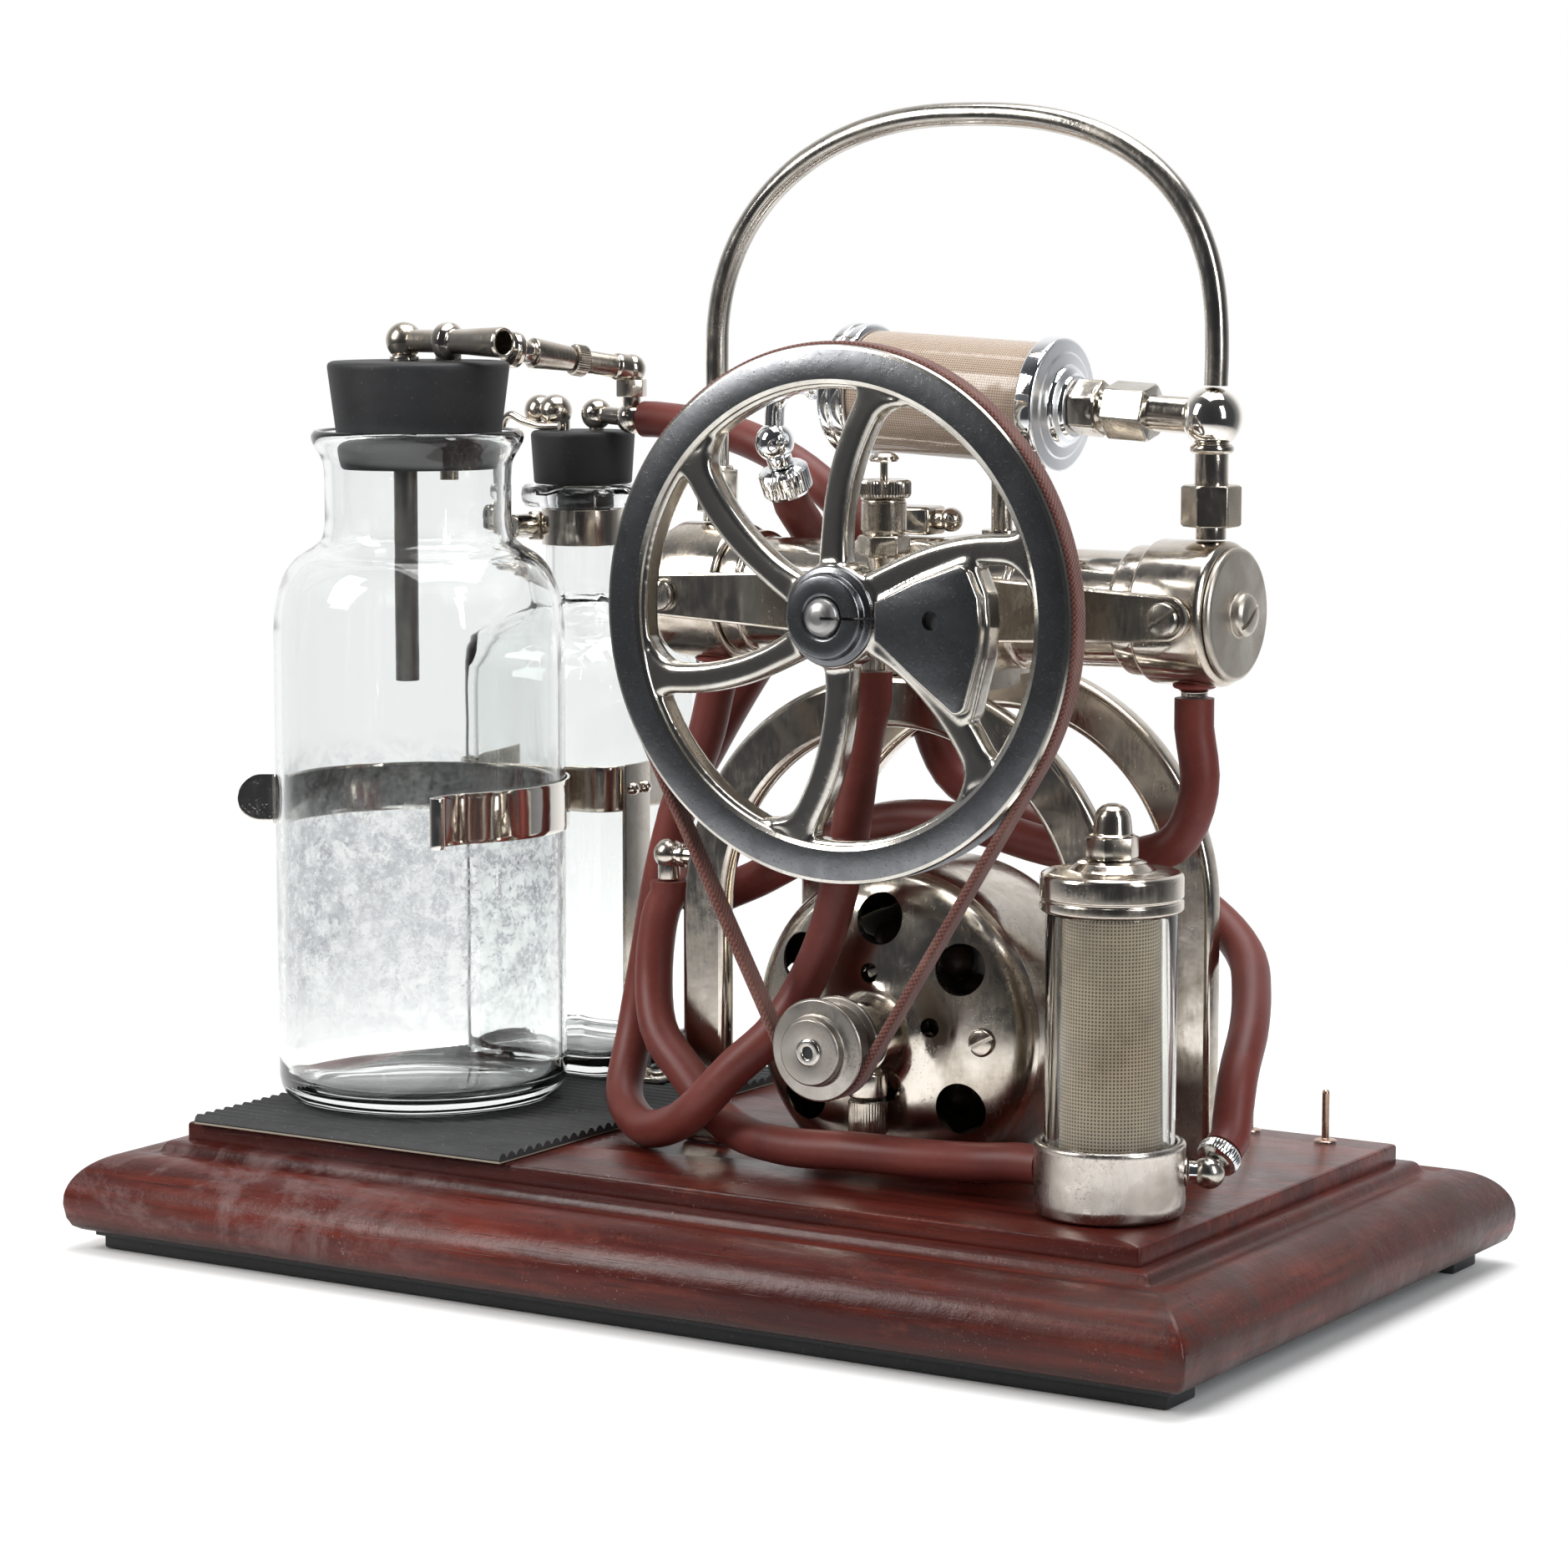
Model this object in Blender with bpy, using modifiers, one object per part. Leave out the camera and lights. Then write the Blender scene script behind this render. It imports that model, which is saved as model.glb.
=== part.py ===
# Portable belt-driven suction and pressure pump on a moulded mahogany base.
#
# The pump stands along X: a flywheel in front (towards -Y) is driven by a flat woven
# belt from an electric motor below it, and works two opposed cylinders through a crank.
# Two bottles stand on a rubber mat at the left, one filter jar stands at the front right
# and a second filter lies across the top under a carrying handle. Rubber hoses join them.
#
# The origin is on the floor under the middle of the base, X along its long side, Z up.
# All driving dimensions are in millimetres and every mesh is made in metres.

import math

import bmesh
import bpy
import numpy as np
from mathutils import Matrix, Vector

MM = 0.001
GAP = 0.3  # clearance between pieces that touch
FACETS = 0.46  # share of each round's nominal number of facets that is built

# ---- driving dimensions (mm) -------------------------------------------------------
BASE_L, BASE_W = 420.0, 241.6  # widest line of the moulding
BASE_Z0 = 7.0  # underside of the wood, above the rubber
STEP_Z = 35.7  # flat on which the cover would stand
PLAT_Z = 41.8  # top of the platform
PLAT_INSET = 30.0
MAT_Z = 45.3  # top of the ribbed bottle mat
MAT_X = (-174.5, -48.9)
MAT_Y = (-93.8, 88.0)

BOTTLE = (-129.9, -25.2)  # suction bottle axis
BOTTLE_R = 49.1
BOTTLE_TOP = 272.5
ETHER = (-121.3, 60.0)  # square bottle axis
ETHER_HALF = 32.5
ETHER_CHAMFER = 9.0
ETHER_TOP = 250.8

PUMP_X, PUMP_Y, PUMP_Z = 64.0, -4.0, 221.5
BARREL_R, BORE_R = 18.2, 14.0
HEAD_R = 22.4
HEAD_IN, HEAD_OUT = 75.5, 100.4  # a head's faces, measured from the middle of the pump
CRANK_THROW = 8.0

WHEEL_Y0, WHEEL_Y1 = -75.5, -64.5
WHEEL_R, WHEEL_IN, WHEEL_GROOVE = 82.7, 70.2, 80.6
SPOKES = 6

MOTOR_X, MOTOR_Z, MOTOR_R = 59.5, 86.8, 51.3
PULLEY_GROOVE = 13.2
BELT_W, BELT_T = 7.0, 2.7
BELT_Y = -70.0

ARCH_FRONT = (-31.0, -24.0)  # front and back faces of each arch
ARCH_REAR = (22.0, 30.0)
FRONT_ARC = (60.3, 119.0, 80.8, 64.0)  # centre x, centre z, outer and inner radius
REAR_ARC = (68.8, 124.1, 76.8, 61.0)

JAR = (150.0, -53.5)
HANDLE_X, HANDLE_Z, HANDLE_A, HANDLE_B = 67.5, 301.0, 90.9, 73.9  # middle, half width and rise of the bow
HANDLE_LEFT, HANDLE_RIGHT = 2.15, 2.53  # how full its left and right shoulders are (2 is an ellipse)
RISER_X = 157.0
ROD_R = 3.7
HOSE_R = 6.2

OIL_X, OIL_Y = 64.0, -44.0  # oil cup on the front bearing
DRIP_Y = -45.5  # oiler under the motor's bearing

# ---- scene -------------------------------------------------------------------------
for o in list(bpy.data.objects):
    bpy.data.objects.remove(o, do_unlink=True)
for c in list(bpy.data.collections):
    bpy.data.collections.remove(c)

PARTS = bpy.data.collections.new("suction_pressure_pump")
CUTTERS = bpy.data.collections.new("cutters")
bpy.context.scene.collection.children.link(PARTS)
bpy.context.scene.collection.children.link(CUTTERS)


def material(name, colour, rough, metal=0.0, alpha=1.0, transmission=0.0):
    m = bpy.data.materials.new(name)
    m.use_nodes = True
    b = m.node_tree.nodes["Principled BSDF"]
    b.inputs["Base Color"].default_value = (*colour, 1.0)
    b.inputs["Roughness"].default_value = rough
    b.inputs["Metallic"].default_value = metal
    b.inputs["Transmission Weight"].default_value = transmission
    m.diffuse_color = (*colour, alpha)
    return m


NICKEL = material("nickel", (0.62, 0.57, 0.50), 0.18, 1.0)
CHROME = material("chrome", (0.78, 0.80, 0.82), 0.08, 1.0)
STEEL = material("steel", (0.42, 0.43, 0.45), 0.25, 1.0)
WOOD = material("mahogany", (0.16, 0.025, 0.015), 0.35)
RUBBER = material("black_rubber", (0.02, 0.02, 0.022), 0.7)
HOSE = material("red_rubber", (0.30, 0.06, 0.045), 0.5)
BELT = material("woven_belt", (0.25, 0.10, 0.08), 0.85)
GLASS = material("glass", (0.9, 0.95, 0.94), 0.05, 0.0, 0.4, 1.0)
GAUZE = material("gauze", (0.50, 0.42, 0.30), 0.9)
COPPER = material("copper", (0.42, 0.27, 0.20), 0.4, 1.0)


def finish(obj, mat, smooth=35.0):
    """Gives an object its material and shades its round faces smooth."""
    if obj.type == "MESH":
        obj.data.materials.clear()
        obj.data.materials.append(mat)
        obj.data.shade_smooth()
        obj.data.set_sharp_from_angle(angle=math.radians(smooth))
    else:
        obj.data.materials.append(mat)
    return obj


def place(obj, collection):
    for c in list(obj.users_collection):
        c.objects.unlink(obj)
    collection.objects.link(obj)
    if collection is CUTTERS:
        obj.hide_render = True
        obj.display_type = "WIRE"
    return obj


def frame_of(origin, axis):
    """A matrix that carries local Z to the axis and the local origin to the point in mm."""
    d = Vector(axis).normalized()
    named = {(1, 0, 0): Matrix.Rotation(math.pi / 2, 4, "Y"), (0, 1, 0): Matrix.Rotation(-math.pi / 2, 4, "X")}
    key = tuple(int(round(v)) for v in d)
    turn = named[key] if key in named and (d - Vector(key)).length < 1e-6 else d.to_track_quat("Z", "Y").to_matrix().to_4x4()
    if abs(d.z - 1) < 1e-9:
        turn = Matrix.Identity(4)
    return Matrix.Translation(Vector(origin) * MM) @ turn


def facets(steps):
    """The number of facets built for a round: six for a hexagon, else a share of the nominal number."""
    return steps if steps <= 6 else max(8, 2 * int(round(steps * FACETS / 2)))


def turned(name, profile, origin=(0, 0, 0), axis=(0, 0, 1), steps=32, closed=False, mat=NICKEL, collection=PARTS, smooth=35.0):
    """A turned solid: (radius, height) points run down the outer side from top to bottom."""
    steps = facets(steps)
    mesh = bpy.data.meshes.new(name)
    pts = [(r * MM, 0.0, h * MM) for r, h in profile]
    n = len(pts)
    edges = [(i, i + 1) for i in range(n - 1)] + ([(n - 1, 0)] if closed else [])
    mesh.from_pydata(pts, edges, [])
    obj = bpy.data.objects.new(name, mesh)
    place(obj, collection)
    s = obj.modifiers.new("screw", "SCREW")
    s.axis, s.angle = "Z", 2 * math.pi
    s.steps = s.render_steps = steps
    s.use_merge_vertices, s.merge_threshold = True, 0.00001
    s.use_smooth_shade = True
    obj.matrix_world = frame_of(origin, axis)
    obj["facets"] = steps
    return finish(obj, mat, smooth)


def rod(name, origin, axis, r, length, steps=24, mat=NICKEL, collection=PARTS):
    """A plain cylinder that starts at the origin and runs along the axis."""
    steps = facets(steps)
    mesh = bpy.data.meshes.new(name)
    bm = bmesh.new()
    bmesh.ops.create_cone(bm, cap_ends=True, segments=steps, radius1=r * MM, radius2=r * MM, depth=length * MM,
                          matrix=Matrix.Translation((0, 0, length * MM / 2)))
    bm.to_mesh(mesh)
    bm.free()
    obj = bpy.data.objects.new(name, mesh)
    place(obj, collection)
    obj.matrix_world = frame_of(origin, axis)
    obj["facets"] = steps
    return finish(obj, mat)


def ball(name, centre, r, mat=NICKEL, collection=CUTTERS, u=20, v=12):
    mesh = bpy.data.meshes.new(name)
    bm = bmesh.new()
    bmesh.ops.create_uvsphere(bm, u_segments=facets(u), v_segments=facets(v), radius=r * MM)
    bm.to_mesh(mesh)
    bm.free()
    obj = bpy.data.objects.new(name, mesh)
    place(obj, collection)
    obj.location = Vector(centre) * MM
    obj.rotation_euler = (0.11, 0.07, 0.19)
    return finish(obj, mat)


def box(name, x, y, z, mat=NICKEL, collection=PARTS, bevel=0.0):
    mesh = bpy.data.meshes.new(name)
    bm = bmesh.new()
    bmesh.ops.create_cube(bm, size=1.0)
    size = Vector((x[1] - x[0], y[1] - y[0], z[1] - z[0])) * MM
    bmesh.ops.scale(bm, vec=size, verts=bm.verts)
    bm.to_mesh(mesh)
    bm.free()
    obj = bpy.data.objects.new(name, mesh)
    place(obj, collection)
    obj.location = Vector(((x[0] + x[1]) / 2, (y[0] + y[1]) / 2, (z[0] + z[1]) / 2)) * MM
    if bevel:
        b = obj.modifiers.new("bevel", "BEVEL")
        b.width, b.segments = bevel * MM, 2
    return finish(obj, mat)


def to_mesh(obj, collection):
    """Turns a curve object into a closed mesh object at the same place."""
    bpy.context.view_layer.update()
    deps = bpy.context.evaluated_depsgraph_get()
    mesh = bpy.data.meshes.new_from_object(obj.evaluated_get(deps))
    bm = bmesh.new()
    bm.from_mesh(mesh)
    bmesh.ops.remove_doubles(bm, verts=bm.verts, dist=0.00001)
    bm.to_mesh(mesh)
    bm.free()
    name, world = obj.name, obj.matrix_world.copy()
    mat = obj.data.materials[0] if obj.data.materials else NICKEL
    bpy.data.objects.remove(obj, do_unlink=True)
    new = bpy.data.objects.new(name, mesh)
    new.name = name
    place(new, collection)
    new.matrix_world = world
    return finish(new, mat)


def flat(name, outlines, y0, y1, mat=NICKEL, collection=PARTS, plane="XZ"):
    """A flat outline (mm), filled and extruded between two levels of the third axis."""
    cu = bpy.data.curves.new(name, "CURVE")
    cu.dimensions, cu.fill_mode = "2D", "BOTH"
    cu.extrude = (y1 - y0) / 2 * MM
    for line in outlines:
        sp = cu.splines.new("POLY")
        sp.points.add(len(line) - 1)
        for p, (a, b) in zip(sp.points, line):
            p.co = (a * MM, b * MM, 0.0, 1.0)
        sp.use_cyclic_u = True
    obj = bpy.data.objects.new(name, cu)
    cu.materials.append(mat)
    PARTS.objects.link(obj)
    mid = (y0 + y1) / 2 * MM
    if plane == "XZ":
        obj.matrix_world = Matrix.Translation((0, mid, 0)) @ Matrix.Rotation(math.pi / 2, 4, "X")
    elif plane == "YZ":
        obj.matrix_world = Matrix(((0, 0, 1, mid), (1, 0, 0, 0), (0, 1, 0, 0), (0, 0, 0, 1)))
    else:
        obj.matrix_world = Matrix.Translation((0, 0, mid))
    return to_mesh(obj, collection)


def smooth_line(points, step):
    """Evenly spaced points on a smooth curve through the given points (centripetal spline)."""
    p = [Vector(q) for q in points]
    p = [p[0] * 2 - p[1]] + p + [p[-1] * 2 - p[-2]]
    out = []
    for i in range(1, len(p) - 2):
        a, b, c, d = p[i - 1], p[i], p[i + 1], p[i + 2]
        t0 = 0.0
        t1 = t0 + max((b - a).length, 1e-6) ** 0.5
        t2 = t1 + max((c - b).length, 1e-6) ** 0.5
        t3 = t2 + max((d - c).length, 1e-6) ** 0.5
        for k in range(24):
            t = t1 + (t2 - t1) * k / 24
            a1 = a * ((t1 - t) / (t1 - t0)) + b * ((t - t0) / (t1 - t0))
            a2 = b * ((t2 - t) / (t2 - t1)) + c * ((t - t1) / (t2 - t1))
            a3 = c * ((t3 - t) / (t3 - t2)) + d * ((t - t2) / (t3 - t2))
            b1 = a1 * ((t2 - t) / (t2 - t0)) + a2 * ((t - t0) / (t2 - t0))
            b2 = a2 * ((t3 - t) / (t3 - t1)) + a3 * ((t - t1) / (t3 - t1))
            out.append(b1 * ((t2 - t) / (t2 - t1)) + b2 * ((t - t1) / (t2 - t1)))
    out.append(p[-2])
    q = np.array([tuple(v) for v in out])
    along = np.concatenate([[0], np.cumsum(np.linalg.norm(np.diff(q, axis=0), axis=1))])
    at = np.linspace(0, along[-1], max(2, int(round(along[-1] / step)) + 1))
    return [tuple(float(np.interp(a, along, q[:, k])) for k in range(3)) for a in at]


def pipe(name, points, r, mat=NICKEL, resolution=2, collection=PARTS, keep_curve=False):
    """A round pipe of radius r (mm) through points (mm)."""
    cu = bpy.data.curves.new(name, "CURVE")
    cu.dimensions = "3D"
    cu.bevel_depth, cu.bevel_resolution, cu.use_fill_caps = r * MM, resolution, True
    sp = cu.splines.new("POLY")
    sp.points.add(len(points) - 1)
    for p, q in zip(sp.points, points):
        p.co = (q[0] * MM, q[1] * MM, q[2] * MM, 1.0)
    cu.materials.append(mat)
    obj = bpy.data.objects.new(name, cu)
    PARTS.objects.link(obj)
    return obj if keep_curve else to_mesh(obj, collection)


def joined(target, *tools):
    for t in tools:
        place(t, CUTTERS)
        m = target.modifiers.new("join", "BOOLEAN")
        m.operation, m.solver, m.object = "UNION", "EXACT", t
    return target


def cut(target, *tools):
    """Cuts the tools out; a round tool is widened until its flats lie on its radius."""
    for t in tools:
        place(t, CUTTERS)
        if t.get("facets", 0) > 6 and not t.modifiers:
            wide = 1.0 / math.cos(math.pi / t["facets"])
            for v in t.data.vertices:
                v.co.x *= wide
                v.co.y *= wide
        m = target.modifiers.new("cut", "BOOLEAN")
        m.operation, m.solver, m.object = "DIFFERENCE", "EXACT", t
    return target


def arc(cx, cy, r, a0, a1, n):
    """Points of a circular arc, angles in degrees."""
    return [(cx + r * math.cos(math.radians(a0 + (a1 - a0) * i / n)), cy + r * math.sin(math.radians(a0 + (a1 - a0) * i / n)))
            for i in range(n + 1)]


def loft_rectangles(name, sections, mat):
    """A stack of centred rectangles (half x, half y, z) from bottom to top, mitred at the corners."""
    verts, faces = [], []
    for hx, hy, z in sections:
        verts += [(sx * hx * MM, sy * hy * MM, z * MM) for sx, sy in ((-1, -1), (1, -1), (1, 1), (-1, 1))]
    for i in range(len(sections) - 1):
        for k in range(4):
            a, b = 4 * i + k, 4 * i + (k + 1) % 4
            faces.append((a, b, b + 4, a + 4))
    top = 4 * (len(sections) - 1)
    faces += [(3, 2, 1, 0), (top, top + 1, top + 2, top + 3)]
    mesh = bpy.data.meshes.new(name)
    mesh.from_pydata(verts, [], faces)
    obj = bpy.data.objects.new(name, mesh)
    place(obj, PARTS)
    return finish(obj, mat)


def hexagon(name, origin, axis, across_corners, length, mat=NICKEL, collection=CUTTERS):
    return rod(name, origin, axis, across_corners / 2, length, steps=6, mat=mat, collection=collection)


# ==== base ==========================================================================
HX, HY = BASE_L / 2, BASE_W / 2
profile = [(4.0, BASE_Z0), (2.0, 8.5), (0.6, 12.0), (0.0, 16.0)]
profile += [(19.0 * (1 - math.cos(math.radians(t))), 16.0 + 16.6 * math.sin(math.radians(t))) for t in (15, 30, 45, 60, 75, 90)]
profile += [(24.0, 32.8), (26.5, 33.8), (27.5, STEP_Z), (PLAT_INSET, STEP_Z), (PLAT_INSET, PLAT_Z - 0.8), (PLAT_INSET + 0.8, PLAT_Z)]
base = loft_rectangles("base_plinth", [(HX - i, HY - i, z) for i, z in profile], WOOD)
cut(base, rod("motor_recess", (MOTOR_X, -38.4, MOTOR_Z), (0, 1, 0), MOTOR_R + 0.4, 64.4, steps=48, collection=CUTTERS))

foot = box("rubber_foot_pad", (-HX + 8, HX - 8), (-HY + 8, HY - 8), (4.6, BASE_Z0 - GAP), RUBBER)
joined(foot, *[box(f"foot_strip_{s}", (-HX + 10, HX - 10), (min(s * (HY - 10), s * (HY - 28)), max(s * (HY - 10), s * (HY - 28))), (0.0, 5.0), RUBBER, CUTTERS)
               for s in (-1, 1)])

box("bottle_mat", MAT_X, MAT_Y, (PLAT_Z + GAP, MAT_Z), RUBBER)

# ==== suction bottle and its stopper ================================================
bx, by = BOTTLE
z0 = MAT_Z + GAP
outer = [(34.6, BOTTLE_TOP), (35.6, BOTTLE_TOP - 1.5), (35.4, 268.8), (32.2, 262.6), (31.4, 258.5), (31.4, 241.0), (32.6, 236.0), (35.6, 233.2), (40.2, 230.4), (44.2, 226.0), (47.0, 219.6), (48.6, 212.0), (BOTTLE_R, 205.0),
         (BOTTLE_R, z0 + 7), (BOTTLE_R - 3, z0 + 1.5), (BOTTLE_R - 8, z0)]
inner = [(0.0, z0 + 4.5), (BOTTLE_R - 9, z0 + 4.5), (BOTTLE_R - 4, z0 + 8), (BOTTLE_R - 2.8, z0 + 14), (BOTTLE_R - 2.8, 204.0), (46.0, 211.4), (44.6, 218.0), (41.8, 223.8),
         (38.4, 227.6), (33.6, 230.6), (29.6, 234.4), (28.2, 240.0), (28.2, 262.0), (28.8, BOTTLE_TOP)]
turned("suction_bottle", outer + [(0.0, z0)], (bx, by, 0), steps=40, mat=GLASS)
# the hollow is cut from the blank by a turned core of the same axis
core = turned("suction_bottle_core", [(0.0, BOTTLE_TOP + 6), (29.2, BOTTLE_TOP + 6)] + inner[::-1], (bx, by, 0), steps=40, collection=CUTTERS)
blank = bpy.data.objects["suction_bottle"]
blank.data.clear_geometry()
pts = [(0.0, BOTTLE_TOP)] + outer + [(0.0, z0)]
blank.data.from_pydata([(r * MM, 0.0, h * MM) for r, h in pts], [(i, i + 1) for i in range(len(pts) - 1)], [])
cut(blank, core)

SX, SY = bx + 0.4, by + 0.3  # the stopper sits a little to one side in the neck
TUBE_X, TUBE_Y = bx - 5.2, by  # inlet tube through the stopper
OUT_X, OUT_Y = bx + 4.3, by + 12.0  # outlet through the stopper
STOP_TOP, STOP_BOT = 295.6, 260.0
stopper = turned("suction_stopper", [(0, STOP_TOP), (29.6, STOP_TOP), (30.6, STOP_TOP - 1.5), (26.4, STOP_BOT + 0.5), (25.8, STOP_BOT), (0, STOP_BOT)], (SX, SY, 0),
                 steps=36, mat=RUBBER)
cut(stopper, rod("inlet_hole", (TUBE_X, TUBE_Y, 255), (0, 0, 1), 4.3, 50, steps=16, collection=CUTTERS),
    rod("outlet_hole", (OUT_X, OUT_Y, 255), (0, 0, 1), 3.5, 50, steps=16, collection=CUTTERS))

# inlet: dip tube, ball and the open nozzle that a patient hose fits
nozzle_dir = Vector((math.cos(math.radians(-10)), math.sin(math.radians(-10)), 0))
ball1 = Vector((TUBE_X, TUBE_Y, 302.3))
inlet = rod("suction_inlet_fitting", (TUBE_X, TUBE_Y, 188.0), (0, 0, 1), 4.0, 112.0, steps=16)
tip = ball1 + nozzle_dir * 43.5
joined(inlet, ball("inlet_ball", ball1, 6.2),
       turned("inlet_nozzle", [(0, 48.0), (4.9, 48.0), (5.0, 47.0), (4.1, 28.0), (4.1, 24.8), (5.8, 23.8), (6.2, 21.3), (5.8, 18.8), (3.8, 17.8), (3.8, 0.5), (0, 0.5)],
              ball1, nozzle_dir, steps=16, collection=CUTTERS))
cut(inlet, rod("nozzle_bore", ball1 + nozzle_dir * 31, nozzle_dir, 3.3, 22, steps=16, collection=CUTTERS))

# outlet: ball on a short stem, with half of the link pipe
ball2 = Vector((OUT_X, OUT_Y, 302.6))
ELBOW = Vector((-96.5, 54.0, 291.6))
link_dir = (ELBOW - ball2).normalized()
link_len = (ELBOW - ball2).length
UNION = 0.745 * link_len
outlet = rod("suction_outlet_fitting", (OUT_X, OUT_Y, 256.0), (0, 0, 1), 3.2, 44.0, steps=16)
joined(outlet, ball("outlet_ball", ball2, 5.5),
       turned("outlet_cone", [(0, UNION - 0.2), (3.0, UNION - 0.2), (3.0, UNION - 6), (4.2, UNION - 6.5), (5.2, UNION - 22), (3.7, UNION - 22.8), (3.7, 28.6), (5.8, 27.8), (6.2, 25.8), (5.8, 23.8), (3.6, 23.0), (3.6, 0.5), (0, 0.5)],
              ball2, link_dir, steps=16, collection=CUTTERS))

turned("union_ring", [(3.4, UNION - 5.6), (3.4, UNION - 0.5), (5.4, UNION - 0.5), (5.4, UNION - 5.6)], ball2, link_dir, steps=24, closed=True)

# link arm: pipe from the union, elbow, hex nut and the two balls over the square bottle
link = turned("link_arm", [(0, link_len - 1), (4.6, link_len - 1), (4.6, link_len - 6.5), (3.9, link_len - 7), (3.9, UNION + 0.1), (0, UNION + 0.1)], ball2, link_dir, steps=16)
ball4 = Vector((ELBOW.x, ELBOW.y, 274.6))
ball3 = Vector((ball4.x - 16.5, ball4.y + 2.5, 275.6))
joined(link, ball("elbow_ball", ELBOW, 5.0, u=16, v=10), rod("elbow_down", (ELBOW.x, ELBOW.y, 276.3), (0, 0, 1), 3.2, 14.4, steps=16, collection=CUTTERS),
       hexagon("elbow_hex", (ELBOW.x, ELBOW.y, 282.0), (0, 0, 1), 11.0, 6.0),
       ball("link_ball_front", ball4, 5.4, u=16, v=10), ball("link_ball_rear", ball3, 5.4, u=16, v=10),
       rod("link_bridge", ball4, ball3 - ball4, 3.0, (ball3 - ball4).length, steps=16, collection=CUTTERS))

# ==== square (ether) bottle =========================================================
ex, ey = ETHER


def square_section(half, chamfer, z):
    c = half - chamfer
    return [(ex + a, ey + b, z) for a, b in ((half, -c), (half, c), (c, half), (-c, half), (-half, c), (-half, -c), (-c, -half), (c, -half))]


def loft(name, rings, mat, collection=PARTS):
    """Joins rings of equally many points, from bottom to top, and closes both ends."""
    verts = [(x * MM, y * MM, z * MM) for ring in rings for x, y, z in ring]
    n = len(rings[0])
    faces = [tuple(reversed(range(n))), tuple(range(n * (len(rings) - 1), n * len(rings)))]
    for i in range(len(rings) - 1):
        for k in range(n):
            a, b = i * n + k, i * n + (k + 1) % n
            faces.append((a, b, b + n, a + n))
    mesh = bpy.data.meshes.new(name)
    mesh.from_pydata(verts, [], faces)
    obj = bpy.data.objects.new(name, mesh)
    place(obj, collection)
    return finish(obj, mat, 25.0)


H, C = ETHER_HALF, ETHER_CHAMFER
ether = loft("ether_bottle", [square_section(H - 3, C, z0), square_section(H, C, z0 + 4), square_section(H, C, 193.0), square_section(H - 2.5, C + 1, 199.0),
                              square_section(H - 9, C + 3, 204.5), square_section(14.5, 8.0, 208.5)], GLASS)
joined(ether, turned("ether_neck", [(0, ETHER_TOP), (21.6, ETHER_TOP), (22.0, ETHER_TOP - 3), (20.5, ETHER_TOP - 7.4), (13.1, ETHER_TOP - 8.0), (13.1, 206.0), (0, 206.0)],
                     (ex, ey, 0), steps=28, collection=CUTTERS))
cavity = loft("ether_cavity", [square_section(H - 5, C, z0 + 6), square_section(H - 3.2, C, z0 + 10), square_section(H - 3.2, C, 191.0),
                               square_section(H - 6.5, C + 1, 196.5), square_section(8.5, 4.5, 203.0)], GLASS, CUTTERS)
cut(ether, cavity, turned("ether_neck_bore", [(0, 256), (11.4, 256), (10.4, ETHER_TOP - 4), (10.4, 200), (0, 200)], (ex, ey, 0), steps=28, collection=CUTTERS))

ether_stopper = turned("ether_stopper", [(0, 269.6), (17.6, 269.6), (18.3, 268.6), (17.2, ETHER_TOP + 0.5), (17.0, ETHER_TOP + GAP), (10.0, ETHER_TOP + GAP), (9.6, 240.0), (0, 240.0)], (ex, ey, 0), steps=28, mat=RUBBER)
EO = Vector((ex - 6.0, ey - 3.0, 0))  # outlet of the square bottle
EI = Vector((ball3.x, ball3.y, 0))
cut(ether_stopper, rod("ether_outlet_hole", (EO.x, EO.y, 236), (0, 0, 1), 2.5, 38, steps=14, collection=CUTTERS))
# the link arm's last ball rests over the stopper and is only seated on it

eo = rod("ether_outlet_fitting", (EO.x, EO.y, 232.0), (0, 0, 1), 2.2, 42.0, steps=14)
EB1 = Vector((EO.x - 3.0, EO.y - 1.0, 276.2))
EB2 = Vector((EB1.x - 6.0, EB1.y - 0.5, 276.4))
joined(eo, ball("ether_ball_a", EB1, 6.0, u=16, v=10), ball("ether_ball_b", EB2, 5.6, u=16, v=10),
       pipe("ether_hook", smooth_line([(EB1.x + 6.5, EB1.y - 7.0, 271.6), (EB1.x - 1.0, EB1.y - 7.5, 271.4), (EB1.x - 8.0, EB1.y - 8.0, 273.0), (EB1.x - 14.0, EB1.y - 7.5, 275.0), (EB1.x - 17.5, EB1.y - 7.0, 272.0), (EB1.x - 18.5, EB1.y - 7.0, 267.0)], 3.0), 1.4, collection=CUTTERS),
       rod("ether_hook_root", (EB1.x, EB1.y - 8.0, 271.8), (0, 1, 0), 1.4, 7.0, steps=10, collection=CUTTERS))

clamp = turned("neck_clamp", [(13.4, 242.5), (14.6, 242.5), (14.6, 229.5), (13.4, 229.5)], (ex, ey, 0), steps=28, closed=True)
joined(clamp, rod("clamp_boss", (ex - 19.6, ey - 15.5, 236.0), (0.25, 1.0, 0), 4.2, 12.0, steps=16, collection=CUTTERS),
       box("clamp_lug", (ex - 18.0, ex - 13.4), (ey - 8.0, ey - 4.0), (231.0, 241.0), collection=CUTTERS))

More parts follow.
